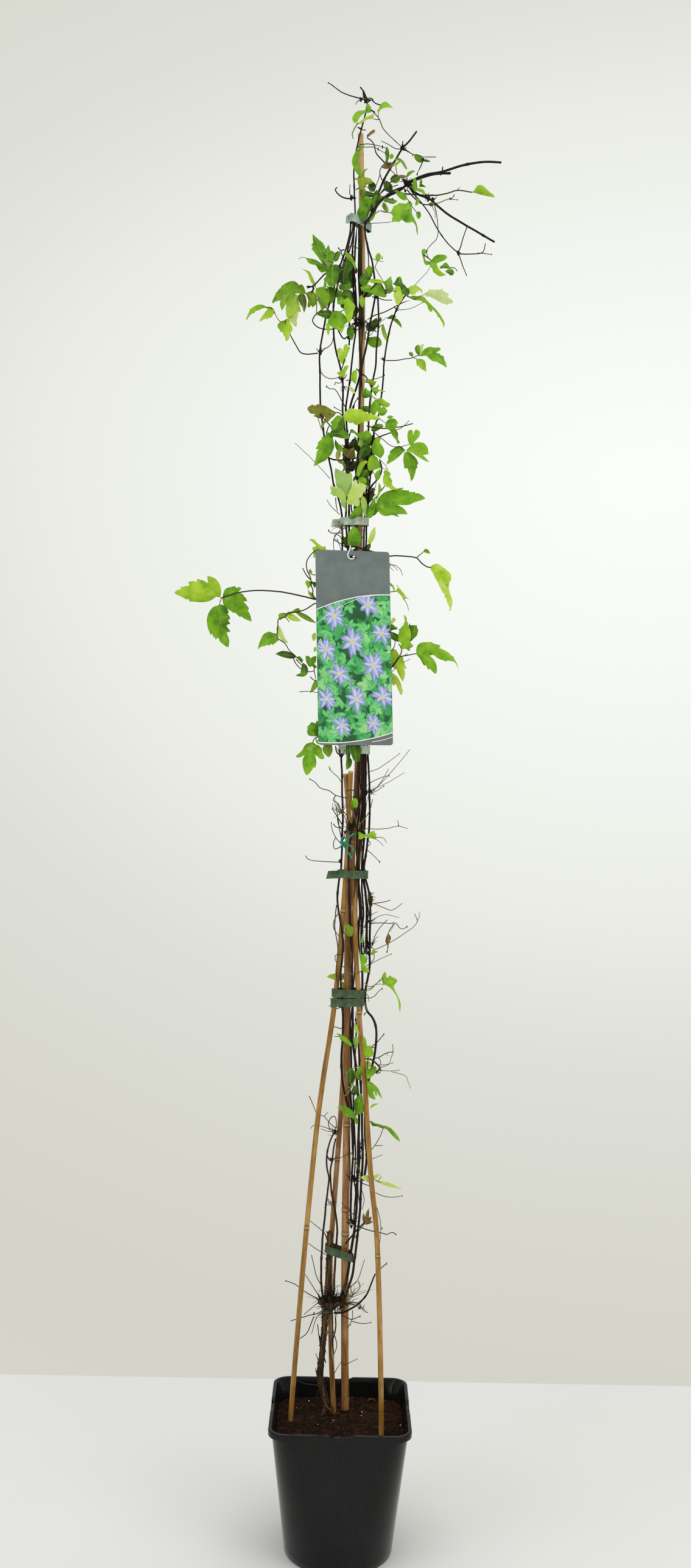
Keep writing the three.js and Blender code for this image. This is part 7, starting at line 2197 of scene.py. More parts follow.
            [(-129, 1697.5, -142, 1695, -154, 1680.5), (-128, 1698, -131, 1700, -135, 1701, -140, 1700.3,
             -144, 1698.3, -148, 1695.5,
             -150.3, 1693.7, -150.5, 1691, -152, 1689, -153.5, 1685, -155.3, 1681.5, -154, 1679, -151.5,
              1683, -149, 1686,
             -146, 1689, -144.3, 1688.3, -142, 1691.5, -138, 1693, -133, 1695.5, -129, 1696.5),
              {"tone": 0.6, "lean": -9}]]},
    "upper_left_leaves": {"depth": -24, "free": 0.6, "stalks": [
        ["dark", 0.9, (-27.4, 1745, -14.6), (-36, 1747, -20), (-47, 1745, -24), (-54, 1737.8, -24), (-61,
         1730, -24),
         (-66, 1726.5, -24), (-72, 1724.5, -24)],
        ["dark", 0.8, (-66, 1726.5, -24), (-70, 1727, -24), (-73, 1726.5, -24)],
        ["dark", 1.2, (-64, 1727, -24), (-63.5, 1723, -24), (-66, 1719, -24)],
        ["green", 0.5, (-20, 1705, -12), (-26, 1716, -24), (-31, 1728, -27), (-30, 1742, -27), (-26, 1750,
         -27), (-22, 1751, -26)],
        ["green", 0.9, (-61, 1711, -26), (-55, 1707, -26), (-48, 1700, -26), (-42, 1695, -24), (-38, 1688,
         -20)],
        ["green", 0.35, (-76, 1766.3, -25), (-80, 1766.3, -25), (-84.5, 1764, -25)],
        ["green", 0.7, (-59, 1711, -25), (-58.5, 1700, -25), (-59, 1690, -24)]],
        "blades": [
            [[(-74, 1718, -90, 1722, -105, 1714, -118, 1704), (-96, 1717, -102, 1708, -106, 1695)],
             (-73, 1717, -75, 1722, -77, 1727, -80, 1729.7, -83.5, 1728.3, -86, 1731.5, -90, 1733.8, -95,
              1733.5, -99, 1732,
              -104, 1729, -107.5, 1726, -108.3, 1723.5, -111, 1722.3, -112, 1719.5, -114, 1718.3, -116,
               1714, -118, 1709,
              -119.7, 1705, -118.5, 1702.3, -115, 1705, -111, 1706.5, -107.8, 1706.8, -109.2, 1702.5, -108,
               1698,
              -106, 1693, -104, 1696, -102, 1700, -99.5, 1703, -97, 1708, -95, 1712.5, -90, 1716, -84, 1717,
               -78, 1715.3),
             {"tone": 0.48, "bronze": 0.15, "lean": -8, "depth": -25}],
            [(-87, 1714, -91, 1700, -94, 1686), (-97, 1713, -92, 1716.5, -86, 1715.5, -84.5, 1710, -83,
             1704, -81, 1697, -80, 1691.7,
             -84, 1691.3, -86, 1687.5, -90, 1687, -95, 1685.3, -99.7, 1684, -100.5, 1690, -100.7, 1697,
              -99.5, 1704, -98.5, 1709),
             {"tone": 0.7, "under": 0.2, "depth": -22, "lean": 4}],
            [(-79, 1714, -77.5, 1703, -75.5, 1692), (-85, 1714, -80, 1716.5, -75, 1715, -73, 1710, -72.3,
             1704, -73, 1698, -75.3, 1690.7,
             -77, 1694, -78.3, 1698.5, -80.5, 1701, -82.5, 1705, -84.3, 1709), {"tone": 0.34, "bronze": 0.3,
              "depth": -23}],
            [(-72, 1717, -66, 1712, -60, 1703), (-74, 1717, -70, 1719.7, -64, 1720.7, -60, 1716, -58, 1710,
             -59, 1703, -61.3, 1700.5, -64, 1698,
             -66, 1701, -69, 1697.3, -71, 1700, -70.3, 1708), {"tone": 0.5, "bronze": 0.35, "depth": -24}],
            [(-60, 1722, -53, 1712, -52, 1697), (-60, 1724.3, -56, 1725.7, -50, 1726.5, -45, 1724, -42,
             1717, -41, 1708, -43, 1702,
             -46, 1699, -50, 1696, -52.7, 1694.5, -53.5, 1700, -56, 1705, -58, 1712, -60.5, 1718),
             {"tone": 0.5, "bronze": 0.15, "depth": -24.5}],
            [(-61, 1725, -67, 1741, -80, 1751), (-59.3, 1723.5, -60.5, 1729, -63, 1736, -66, 1742, -69,
             1747, -73, 1749, -80.7, 1751.2,
             -75, 1747.5, -71.5, 1744, -69.5, 1738.5, -67, 1733, -63.7, 1729), {"tone": 0.64, "bronze": 0.1,
              "lean": 7}],
            [[(-42, 1745, -50, 1765, -64, 1797), (-46, 1757, -45, 1770, -44, 1784), (-42, 1755, -36, 1765,
             -36, 1774)],
             (-46, 1746, -50, 1753, -52, 1758.5, -55, 1763, -58, 1767.5, -61, 1771, -65, 1776, -67, 1778.5,
              -65.3, 1781.3,
              -67.3, 1784, -64.8, 1787, -65.7, 1793, -65.7, 1798.7, -63, 1796.5, -58, 1792, -53, 1788,
               -50.3, 1785,
              -50, 1782, -48.7, 1784.5, -48.5, 1779.5, -46.5, 1779, -44, 1784.7, -42, 1780, -41.3, 1776.3,
               -39, 1776.3,
              -36, 1774.5, -35, 1771, -37, 1765, -36, 1760, -38, 1757, -33, 1757, -31, 1752, -33, 1746, -40,
               1744),
             {"tone": 0.4, "lean": 8, "depth": -26}],
            [(-46, 1752, -60, 1759, -76, 1766), (-45, 1749, -52, 1745.7, -55.5, 1748, -58, 1751.5, -61,
             1756, -65, 1756.7, -69, 1758,
             -71.5, 1760, -73, 1763, -76.3, 1766.3, -72, 1765.7, -66, 1764.7, -61, 1763.5, -56, 1760.5, -52,
              1758, -46, 1757),
             {"tone": 0.44, "lean": -8, "depth": -26.5}],
            [(-38, 1755, -38, 1742, -37, 1728), (-49.3, 1737.7, -46.7, 1741, -47, 1746.5, -42, 1753, -36,
             1757.5, -30, 1757, -28, 1752,
             -29.3, 1746, -29, 1740, -31, 1733, -34, 1729.3, -38, 1726.7, -43, 1728.7, -45.7, 1733),
              {"tone": 0.36, "depth": -28}],
            [(-36, 1762, -32, 1769, -28, 1775), (-37, 1770, -34, 1774, -31, 1775.7, -27, 1775.3, -27,
             1771.5, -29, 1767, -30.7, 1763,
             -34, 1761, -37, 1764), {"tone": 0.36, "depth": -23}],
            [(-22, 1734, -22, 1748, -17, 1763), (-30, 1751, -26, 1755, -22, 1760.5, -18, 1765.5, -14,
             1763.3, -10, 1757, -11, 1751,
             -14, 1747.3, -16, 1742, -17, 1737, -16.3, 1733, -21, 1732.7, -27, 1731.7, -30, 1737, -31,
              1744), {"tone": 0.24, "depth": -25}],
            [(-21, 1774, -13, 1765, -6, 1752), (-21.7, 1775.3, -18, 1774.3, -13, 1770.7, -10, 1766, -7,
             1760, -5.3, 1755, -6.5, 1750,
             -9, 1756, -12, 1760.3, -16, 1763.3, -19.5, 1768, -21.3, 1772), {"tone": 0.56, "bronze": 0.3,
              "depth": -27}],
            [(-28, 1727, -20, 1730, -12, 1730), (-29, 1728, -25, 1732, -20, 1735.5, -15, 1735.7, -12, 1731,
             -12, 1724.5, -17, 1722.7,
             -23, 1722.3, -28, 1723.5), {"tone": 0.34, "depth": -24}],
            [(-24, 1717, -17, 1716, -9, 1709), (-25, 1718, -21, 1721.3, -16, 1721.7, -12, 1719, -11, 1714,
             -8.5, 1707.3, -14, 1707,
             -18, 1709.5, -22, 1713.5), {"tone": 0.3, "depth": -24.5}],
            [(-26, 1722, -25, 1713, -25, 1704), (-29, 1721.3, -25, 1722.7, -22, 1716, -20.3, 1708, -21,
             1703.5, -26, 1702.5, -30.5, 1703.5,
             -30.5, 1711, -29.5, 1716), {"tone": 0.5, "depth": -22}],
            [(-43, 1725, -42, 1717, -38, 1705), (-46, 1724, -40, 1727, -35, 1725, -33, 1716, -35, 1708, -38,
             1703.5, -41, 1707, -44, 1714),
             {"tone": 0.38, "depth": -20}],
            [(-48, 1738, -48, 1731, -48, 1725), (-49.5, 1738.5, -46.5, 1734, -45.5, 1727, -48, 1724, -50.5,
             1725, -49, 1731), {"tone": 0.6, "depth": -23}]]},
    "upper_centre_leaves": {"depth": -34, "free": 0.35, "stalks": [
        ["brown", 0.8, (-6.5, 1708, -6.4), (-11, 1709, -20), (-15, 1711, -32)],
        ["green", 0.6, (-33, 1692.5, -28), (-26, 1693, -30), (-20.5, 1696.5, -32)]],
        "blades": [
            [(-15, 1710, -14, 1694, -14, 1679), (-20.5, 1710, -16, 1713, -12, 1709.5, -8, 1705, -5.7, 1700,
             -8, 1694, -9, 1687, -11, 1681,
             -14, 1677, -17, 1683, -19.3, 1690, -21.3, 1697, -20.7, 1704), {"tone": 0.64, "depth": -33}],
            [(-38, 1689, -48, 1690, -59, 1689), (-60, 1689, -55, 1692.3, -49, 1694.5, -44, 1694.3, -38,
             1694, -37, 1687, -40, 1682.3,
             -46, 1683, -52, 1685.7, -57, 1687.7), {"tone": 0.28, "depth": -30}],
            [(-33, 1692, -29, 1681, -20, 1673), (-37, 1691, -34, 1694.3, -28, 1693.7, -23, 1691, -19, 1687,
             -16, 1683, -13.5, 1680.3,
             -17, 1677.7, -20, 1675, -24, 1671.3, -30, 1669.5, -36, 1671, -41, 1675, -43.5, 1679, -40,
              1686), {"tone": 0.5, "depth": -31}],
            [(-43, 1676, -42.5, 1668, -42, 1660), (-45.3, 1677, -41, 1677, -39.7, 1668, -42, 1659, -44.7,
             1668), {"tone": 0.68, "depth": -29}],
            [(-30, 1672, -25, 1669, -23, 1664), (-33.5, 1669, -28, 1673, -19, 1674, -21.5, 1668, -23.3,
             1663.5, -27, 1667), {"tone": 0.66, "depth": -29}],
            [(0, 1735, 5, 1740, 9, 1745), (-1, 1739, 4, 1744.5, 9, 1745.5, 12, 1738, 10, 1731, 4, 1729, 0,
             1733), {"tone": 0.32, "depth": -16}],
            [(3, 1715, 3, 1707, 4, 1700), (0, 1713, 3, 1717, 6.7, 1711, 7.7, 1705, 4, 1699, 0.7, 1704),
             {"tone": 0.55, "depth": -16}]]},
    "upper_right_leaves": {"depth": -16, "free": 0.6, "stalks": [
        ["green", 0.7, (23.4, 1722, -8), (30, 1722, -12), (38, 1724, -16), (50, 1722, -16), (64, 1721, -16)],
        ["dark", 0.85, (6.5, 1713.5, -8), (12, 1720, -16), (18, 1727, -18), (24, 1733, -18), (28, 1732,
         -18), (33, 1725, -18), (37, 1718, -17)],
        ["green", 0.5, (20, 1755, -8), (26, 1745, -12), (33, 1734, -16), (35, 1729, -16)],
        ["green", 0.5, (20.5, 1755, -8), (23.5, 1763.5, -10), (20, 1765, -10), (16, 1767, -9)],
        ["brown", 0.35, (23, 1763.3, -10), (32, 1762.7, -10)]],
        "blades": [
            [(13, 1736, 22, 1736, 33, 1732.5), (11.7, 1736, 16, 1738.7, 22, 1738.3, 28, 1737.7, 31, 1735.7,
             34, 1732, 28, 1732.3,
             24, 1733.3, 20, 1732.7, 16, 1733), {"tone": 0.68, "depth": -17}],
            [(10, 1721, 24, 1722, 37, 1715), (9, 1721, 14, 1724, 18, 1729.5, 23, 1733.3, 28, 1731.5, 31,
             1727, 33, 1722.5, 36, 1719,
             37.3, 1715.3, 34, 1713.3, 28, 1714.7, 21, 1716.3, 15, 1718.3), {"tone": 0.5, "bronze": 0.12,
              "depth": -19}],
            [(40, 1720, 39, 1730, 42, 1741), (32.7, 1735, 36, 1737, 39, 1740, 42.5, 1743, 43.7, 1738, 45,
             1734, 44.7, 1730, 47, 1725.7,
             43, 1720, 39, 1718.5, 35.5, 1721, 35, 1727, 34, 1732), {"tone": 0.44, "under": 0.2}],
            [(62, 1725, 55, 1732, 54, 1742), (45.5, 1732, 48.5, 1736, 51, 1740.7, 55, 1743, 57.3, 1739,
             58.5, 1734, 61.5, 1731, 65, 1727,
             62, 1724, 57, 1722.7, 53, 1727, 50, 1729.3), {"tone": 0.34, "depth": -14}],
            [(54, 1727, 53, 1716, 53, 1703), (48, 1727, 50, 1729.5, 55, 1729, 58, 1722, 60, 1718, 59, 1712,
             56, 1707, 53, 1703, 50, 1705,
             48.5, 1710, 46.5, 1716, 47, 1722), {"tone": 0.8, "depth": -18}],
            [(66, 1717, 62, 1721, 60, 1727), (57, 1724, 61, 1727.3, 67, 1726.7, 68.5, 1721, 66.3, 1715.7,
             62, 1716.7, 58.7, 1720),
             {"tone": 0.32, "depth": -19}],
            [(67, 1721, 76, 1726, 85, 1721), (66, 1727, 70, 1729.7, 75, 1731.3, 79, 1730.3, 82, 1727.7,
             84.7, 1726, 86.3, 1722, 85, 1719.5,
             83, 1723.3, 81, 1724, 80, 1721, 78, 1722, 75.5, 1717.8, 71, 1718, 68, 1720.5), {"tone": 0.7,
              "under": 0.3, "depth": -15}],
            [(24, 1764, 24.5, 1773), (20.7, 1768, 22, 1772.3, 24.3, 1774.7, 27.3, 1772.7, 28.3, 1768.5, 27,
             1765, 24, 1762.7, 22, 1764.3),
             {"tone": 0.52, "depth": -10}],
            [(29, 1766, 30.5, 1771), (28.5, 1766, 30.3, 1771.5, 31, 1768, 30.5, 1765.5), {"tone": 0.5,
             "depth": -10}],
            [(12, 1742, 13, 1748, 16, 1754.5), (8.7, 1752, 12, 1754.7, 15.7, 1755.5, 17.3, 1751, 16.3, 1746,
             13, 1740.7, 10.5, 1740.7, 9.3, 1746),
             {"tone": 0.42, "depth": -12}],
            [(3, 1724, 9, 1727, 17, 1726), (1, 1727, 7, 1731, 14, 1730, 19, 1726, 15, 1721, 8, 1720.5, 3,
             1721.5), {"tone": 0.5, "depth": -15}],
            [(9, 1744, 8, 1738, 4, 1733), (5, 1746, 11, 1742, 12, 1736, 8, 1730, 4, 1731, 3, 1738),
             {"tone": 0.3, "depth": -14}]]},
    "far_right_pair": {"depth": -6, "stalks": [
        ["brown", 0.7, (65, 1716, 1), (70, 1714, -3), (76, 1712, -6)],
        ["green", 0.45, (76, 1712, -6), (84, 1716.5, -6), (89.5, 1719, -6)],
        ["straw", 0.35, (75, 1730.5, -6), (85, 1742, -6), (93, 1751, -6), (97, 1759, -3)]],
        "blades": [
            [(90, 1719.5, 108, 1717, 128, 1709), (88.5, 1720, 92, 1722, 94.3, 1723.5, 95.3, 1727.3, 96.5,
             1725.3, 102, 1725.5, 106, 1725.5,
             110, 1725.5, 113, 1727.3, 113.7, 1725, 117, 1722.5, 121, 1720.3, 122.8, 1718.5, 120.3, 1716.5,
              123, 1714.5,
             126, 1712.5, 128.7, 1709, 126, 1706.8, 122.5, 1706.5, 120.5, 1704.7, 117, 1706, 113.5, 1706.3,
              111, 1708,
             107, 1710, 103, 1712.5, 99, 1713.7, 96, 1715.7, 92, 1715.5, 90, 1717), {"tone": 0.95,
              "under": 0.95, "lean": -7}],
            [(70, 1714, 90, 1711, 105, 1696, 116.5, 1675), (69.5, 1715.7, 74, 1716.7, 79, 1716.2, 84,
             1716.7, 89, 1714.7, 92, 1711, 96, 1707,
             100, 1703, 104, 1699.5, 108, 1695, 112, 1689.5, 115, 1684.5, 117.3, 1680, 116, 1673, 114.3,
              1679, 112, 1683,
             110, 1687.3, 108, 1687.5, 106, 1692, 103, 1695.5, 100.5, 1698.5, 99.5, 1695.5, 97.7, 1694.5,
              94.5, 1698,
             93, 1703, 91, 1706, 87, 1708, 82, 1710, 76, 1710.3, 70.5, 1712), {"tone": 0.6, "lean": 7,
              "fold": 0.35}]]},
    "lower_middle_right_leaves": {"depth": 14, "free": 0.5, "stalks": [
        ["green", 0.6, (27.5, 1672, 6), (24, 1678, 10), (20, 1678, 14)],
        ["green", 0.6, (27.5, 1672, 6), (30, 1675, 10), (33, 1676, 14)],
        ["straw", 0.4, (9, 1666, 4), (15, 1661, 10), (20, 1667, 14), (30, 1680, 12), (38, 1686, 8), (45,
         1687.5, 8)]],
        "blades": [
            [(10, 1672, 16, 1677, 24, 1684), (8.7, 1675, 13, 1677, 16, 1680, 20, 1683, 24.3, 1686, 26, 1680,
             25.3, 1674, 23, 1671,
             18, 1671.7, 13.5, 1668.7, 9.7, 1671), {"tone": 0.3}],
            [(27, 1680, 30, 1686), (26.5, 1680, 27.5, 1684, 30, 1687, 31, 1683, 29, 1680), {"tone": 0.35}],
            [(33, 1676, 35, 1665, 39, 1653), (30.5, 1673, 33, 1678, 35.3, 1672, 36.7, 1667, 39, 1661, 40.7,
             1655.5, 39.2, 1651.5, 36, 1656,
             33, 1661, 31.3, 1666), {"tone": 0.72, "under": 0.15}],
            [(12, 1651, 21, 1653, 31, 1651), (11.5, 1655, 14, 1658.7, 19, 1659.3, 24, 1659.7, 28, 1658.3,
             31.3, 1653, 31.3, 1648, 27, 1645.3,
             20, 1644.7, 14.5, 1647.7, 12, 1651), {"tone": 0.5}],
            [(39, 1685, 47, 1686, 57, 1674), (38, 1684.5, 41, 1687.3, 44.5, 1690, 49, 1689.7, 50.7, 1687,
             48.3, 1685.5, 52, 1684.5, 55, 1681.5,
             57.7, 1677.5, 58.3, 1672, 55, 1675, 51.5, 1678.3, 48, 1681.3, 45, 1683.7, 41, 1684),
              {"tone": 0.44, "depth": 8}]]},
    "top_tip_leaves": {"depth": -12, "free": 0.7, "stalks": [
        ["dark", 0.9, (16, 1967, -5.5), (14.5, 1968.3, -9), (11.5, 1969.5, -12)],
        ["green", 0.5, (22, 1957, -5), (21.3, 1963, -9), (21, 1968, -12)],
        ["brown", 0.45, (22.3, 1957, -5), (18, 1957, -9), (14, 1958.5, -12)],
        ["green", 0.7, (-6, 1952, -12), (-9.5, 1947, -12), (-13, 1940, -12), (-14, 1936, -12), (-12.3, 1930,
         -12)],
        ["dark", 0.7, (24, 1977, -12), (17, 1979.3, -10), (12, 1983.5, -8), (8, 1981.5, -7)]],
        "blades": [
            [(8, 1967, 7, 1973, 7, 1978), (5.3, 1978.7, 8.5, 1978, 10.7, 1974, 12.3, 1969.3, 11, 1967, 7,
             1966, 3.7, 1968, 3.8, 1972, 4.3, 1976),
             {"tone": 0.52}],
            [(11, 1968.5, -4, 1966, -11.5, 1951), (11.3, 1970, 5, 1970, -1, 1969.3, -6, 1968.7, -9.5,
             1966.7, -12.7, 1962.7, -14.5, 1957.3,
             -12.7, 1953.7, -11, 1949.7, -10, 1954, -8.3, 1951, -6.7, 1955, -3.7, 1960, 0, 1964, 5, 1966.3),
              {"tone": 0.54, "lean": -6}],
            [(14, 1963, 4, 1958, -7, 1951), (14.7, 1966.3, 11, 1963, 6, 1961, 2, 1959, -2, 1955.3, -5,
             1952.7, -8, 1949.7, -4, 1950.7, 0, 1952.3,
             4, 1955.3, 8, 1957.3, 12, 1957.7, 15, 1960), {"tone": 0.72, "under": 0.35, "depth": -11}],
            [(22, 1968, 29, 1977, 42, 1972.7), (19.7, 1969, 22, 1973, 24, 1977, 27, 1980.7, 30.5, 1982, 34,
             1980.3, 38, 1976.7, 42.5, 1972.3,
             38, 1973.6, 33, 1973.6, 29, 1973, 26, 1971.7, 23, 1968.7, 21.5, 1965.5), {"tone": 0.6,
              "lean": 5}]]},
    "top_cane_leaf": {"depth": -14, "free": 0.5, "stalks": [
        ["green", 0.7, (-9.6, 1876, -3.6), (-7, 1875, -9), (-3, 1878, -14)]],
        "blades": [
            [(-1, 1879, -8, 1900, 0, 1920), (2.7, 1924.5, 0, 1921, -4, 1917, -8, 1914, -11, 1909, -13, 1904,
             -13.7, 1898, -12, 1892,
             -9, 1886, -5, 1881, -1, 1878.5, -1.5, 1886, -4, 1893, -5.3, 1900, -4.3, 1907, -3, 1912, -0.3,
              1918, 3, 1921), {"tone": 0.46}],
            [[(-1, 1878, 2, 1870, 2, 1862), (1, 1876, 9, 1875, 16, 1871)],
             (10, 1889.7, 6.5, 1888, 4, 1884, 4, 1878, 8, 1877.3, 12, 1876, 16.3, 1871, 13, 1869, 9, 1868.5,
              6, 1866.5, 4.5, 1861,
              0, 1858, -3, 1864, -5.5, 1871, -5.7, 1877, -2, 1881, 2, 1886, 5, 1889), {"tone": 0.62,
               "bronze": 0.5, "depth": -13}]]},
    "top_green_leaves": {"depth": -12, "free": 0.5, "stalks": [
        ["dark", 1.35, (5.5, 1813, -14.5), (11, 1822, -16), (16.9, 1830.3, -16), (27.8, 1847.1, -14), (44.2,
         1859.9, -9), (60.8, 1866, -5)],
        ["dark", 0.9, (8, 1828, -9), (22, 1850, -8), (36, 1868, -7), (46, 1876, -6)],
        ["brown", 0.7, (20, 1843, -15), (24, 1853, -14), (34, 1862, -11), (50, 1868, -8)],
        ["brown", 0.8, (12, 1836, -1), (10, 1838, -6), (8, 1840, -12)],
        ["green", 0.4, (20, 1828, -12), (26, 1832, -12), (33, 1831, -12), (41, 1829, -13)],
        ["brown", 0.35, (4, 1866, -12), (8, 1864, -12), (13, 1860, -12)]],
        "blades": [
            [(5.3, 1818.2, 7.2, 1831.5, 13.9, 1845.5), (-5.3, 1831.3, -1.3, 1841.1, -2.8, 1848, 4, 1852.3,
             11, 1850.7, 16.7, 1845.6, 16.8, 1840, 12.7, 1831.6,
             8.7, 1821.8, 6, 1817.6, -1, 1821.6, -5.9, 1827.1), {"tone": 0.36, "depth": -13, "fold": 0.5,
              "roll": -0.3}],
            [(16.8, 1836.5, 20.8, 1845.6, 31.8, 1852.8), (14.5, 1851.1, 22.1, 1854, 30.5, 1852.7, 34.6,
             1854.9, 33.3, 1850.7, 27.8, 1847.1, 22.3, 1841.5,
             16.8, 1835.8, 14.6, 1842.7), {"tone": 0.34, "depth": -12, "fold": 0.5}],
            [(11.9, 1818.4, 19.7, 1833.8), (11.5, 1821.8, 16.9, 1831.7, 21, 1835.9, 20.4, 1828.9, 15.7,
             1819.1, 11.6, 1817.7), {"tone": 0.52, "depth": -12}],
            [(20.7, 1854, 11, 1854.5, -0.1, 1852.9), (-1.6, 1857.1, 5.3, 1859.3, 13.7, 1857.3, 20.7, 1854.7,
             16.6, 1850.8, 8.2, 1850.7, -0.1, 1849.4),
             {"tone": 0.22, "depth": -10, "lean": 2}],
            [(16, 1846, 20, 1851, 22, 1858), (14, 1848, 16, 1855, 21, 1861, 25, 1858, 24, 1851, 20, 1846),
             {"tone": 0.2, "depth": -9}],
            [(35.9, 1857.7, 36.4, 1870.9), (30.2, 1869.4, 35.7, 1872, 42, 1868.2, 41.4, 1861.3, 35.9,
             1857.7, 31, 1861.1), {"tone": 0.2, "depth": -10}],
            [(28.6, 1840.5, 36.4, 1832), (27.9, 1840.2, 30.6, 1841.6, 36.3, 1837.6, 38, 1832.7, 35, 1830.3,
             30.8, 1834), {"tone": 0.46, "depth": -11}],
            [(36.1, 1845.9, 48, 1844.4), (36.1, 1847.3, 43, 1850.2, 48.7, 1844.7, 44.5, 1841.9, 38.3,
             1842.5), {"tone": 0.42, "depth": -11}],
            [(1, 1851, 3, 1857, 2, 1865), (-2, 1852, -2, 1858, 0, 1866, 4, 1863, 6, 1857, 4, 1851),
             {"tone": 0.36, "bronze": 0.4, "depth": -11}],
            [(31, 1862, 36, 1866, 41, 1871), (30, 1871, 34, 1873.7, 38, 1871.5, 41.5, 1867, 43, 1862, 41,
             1857.7, 36, 1858, 32, 1861.5, 30.3, 1866),
             {"tone": 0.24, "depth": -10}],
            [(40, 1874, 46, 1877, 51, 1878), (39, 1876, 42, 1880.3, 46, 1882.5, 50, 1881, 53, 1877, 50,
             1871.5, 45, 1870.3, 40.5, 1872.5),
             {"tone": 0.26, "depth": -10}],
            [(30, 1842, 35, 1838, 37, 1831), (28.5, 1842.5, 32, 1840, 33, 1835, 36, 1830.5, 38.3, 1832,
             36.7, 1836.5, 34, 1841.5, 31, 1844),
             {"tone": 0.5, "bronze": 0.5}],
            [(12, 1871, 9, 1866, 15, 1858), (10, 1871, 16, 1872, 20, 1866, 18, 1858, 12, 1858, 9, 1864),
             {"tone": 0.2, "depth": -9}],
            [(29, 1849, 38, 1846, 48, 1846), (28, 1850, 34, 1850.5, 42, 1848.5, 50, 1846, 46, 1843.5, 38,
             1843.5, 32, 1844.5), {"tone": 0.4, "bronze": 0.2, "depth": -14}]]},
    "top_bright_leaf": {"depth": -16, "free": 0.7, "stalks": [
        ["brown", 0.6, (52, 1858, -2), (58, 1853, -8), (64, 1848, -14), (67, 1844, -16)],
        ["brown", 0.45, (69, 1839.5, -16), (73, 1835, -16), (77, 1830, -16)],
        ["green", 0.4, (73, 1853, -8), (76, 1849, -14)],
        ["green", 0.5, (63, 1864, -6), (72, 1868, -12), (74, 1872, -14)]],
        "blades": [
            [[(67, 1843, 57, 1832, 45, 1819), (68, 1838, 67, 1830, 73, 1818)],
             (41, 1831, 43, 1835, 44.3, 1839, 49, 1841, 51.5, 1843, 57, 1843, 61, 1842.3, 63.5, 1844.5, 67,
              1846.5, 70.3, 1842,
              69, 1838, 69.7, 1834, 69.5, 1830, 73, 1822.5, 76, 1816, 78, 1808, 78.2, 1798.5, 76.3, 1804,
               75.7, 1811,
              73.5, 1815, 70, 1818, 68, 1816.7, 63, 1816.3, 59, 1818.3, 56, 1820.5, 52, 1817, 47, 1817.7,
               43, 1816.7,
              42.3, 1821, 44, 1825, 41.5, 1828), {"tone": 0.5, "lean": -6}],
            [(77, 1831, 78.5, 1823), (75.7, 1830, 78, 1832.3, 81, 1831.7, 82.3, 1827, 81, 1823.3, 79,
             1821.3, 77, 1823.3, 75.7, 1827), {"tone": 0.5}],
            [(47, 1861, 55, 1856, 61, 1850), (45.7, 1862.3, 49, 1860.3, 54, 1858.7, 58, 1857.7, 60.7, 1855,
             62.7, 1851, 61.7, 1847.7, 58, 1847,
             54, 1849, 50, 1852.7, 47, 1857.7), {"tone": 0.46, "depth": -13}],
            [(79, 1849, 76, 1842), (74, 1840, 74.3, 1844.5, 76.3, 1848, 79, 1850.3, 80.3, 1848, 79, 1844,
             77, 1840.7), {"tone": 0.55}],
            [(61, 1881, 66, 1885, 73, 1887), (60.5, 1880, 63, 1885, 67, 1887.7, 71, 1888.3, 73.5, 1887, 70,
             1885, 66, 1881.7, 63, 1879), {"tone": 0.46, "depth": -10}],
            [(73, 1861, 73, 1869, 73, 1877), (71, 1877.3, 73, 1878.3, 75.3, 1875, 76.3, 1869, 77.3, 1862,
             74, 1858.7, 71, 1861.7, 69.7, 1868, 70.3, 1873),
             {"tone": 0.5, "depth": -14}],
            [(80, 1869, 82, 1876), (79.7, 1876, 82, 1877.7, 83.3, 1873, 82.5, 1870, 85, 1868.5, 89, 1865.3,
             84, 1865.7, 79, 1865.7, 79.5, 1870),
             {"tone": 0.36, "depth": -12}],
            [(76, 1862, 82, 1862, 87, 1855), (75, 1863, 80, 1864, 85, 1862, 88, 1856, 86, 1854, 82, 1858.5,
             77, 1860), {"tone": 0.62, "bronze": 0.2, "depth": -12}],
            [(47, 1878, 55, 1880, 61, 1879), (46, 1877.5, 52, 1881.5, 60, 1881, 62, 1878.5, 55, 1877.5),
             {"tone": 0.3, "bronze": 0.9, "depth": -10}]]},
    "long_stalk_top_leaf": {"depth": -8, "stalks": [
        ["brown", 0.85, (58, 1856, 3.6), (75, 1855, 0), (90, 1854.5, -3), (105, 1855, -6), (120, 1858.5,
         -8), (131, 1861.8, -8),
         (152, 1859.7, -8)],
        ["brown", 0.4, (130.5, 1861.8, -8), (135, 1866.5, -8)]],
        "blades": [
            [(152, 1859.6, 167, 1861, 182, 1854), (151.5, 1859.7, 155, 1863, 157, 1867, 161, 1870, 165,
             1869.5, 169, 1867, 173, 1863,
             177, 1859.5, 181, 1857, 182.8, 1853, 177, 1853.8, 170, 1855.3, 163, 1856.7, 157, 1858.3),
              {"tone": 0.62, "bronze": 0.15, "lean": -7}]]},
    "hanging_top_spray": {"depth": 2, "free": 0.7, "stalks": [
        ["brown", 0.5, (100, 1843, -6), (102.6, 1833, -3), (105.6, 1812.6, 0), (104.6, 1796, 2), (97, 1787,
         2), (91.5, 1780, 2),
         (91, 1775, 2), (94, 1768, 2), (98, 1764, 2)],
        ["dark", 0.7, (86.5, 1773, 1.3), (91, 1770, 1.2), (97.5, 1765, 1.2)],
        ["brown", 0.5, (125, 1756, 2), (130, 1755.3, 2), (133.3, 1751, 2)],
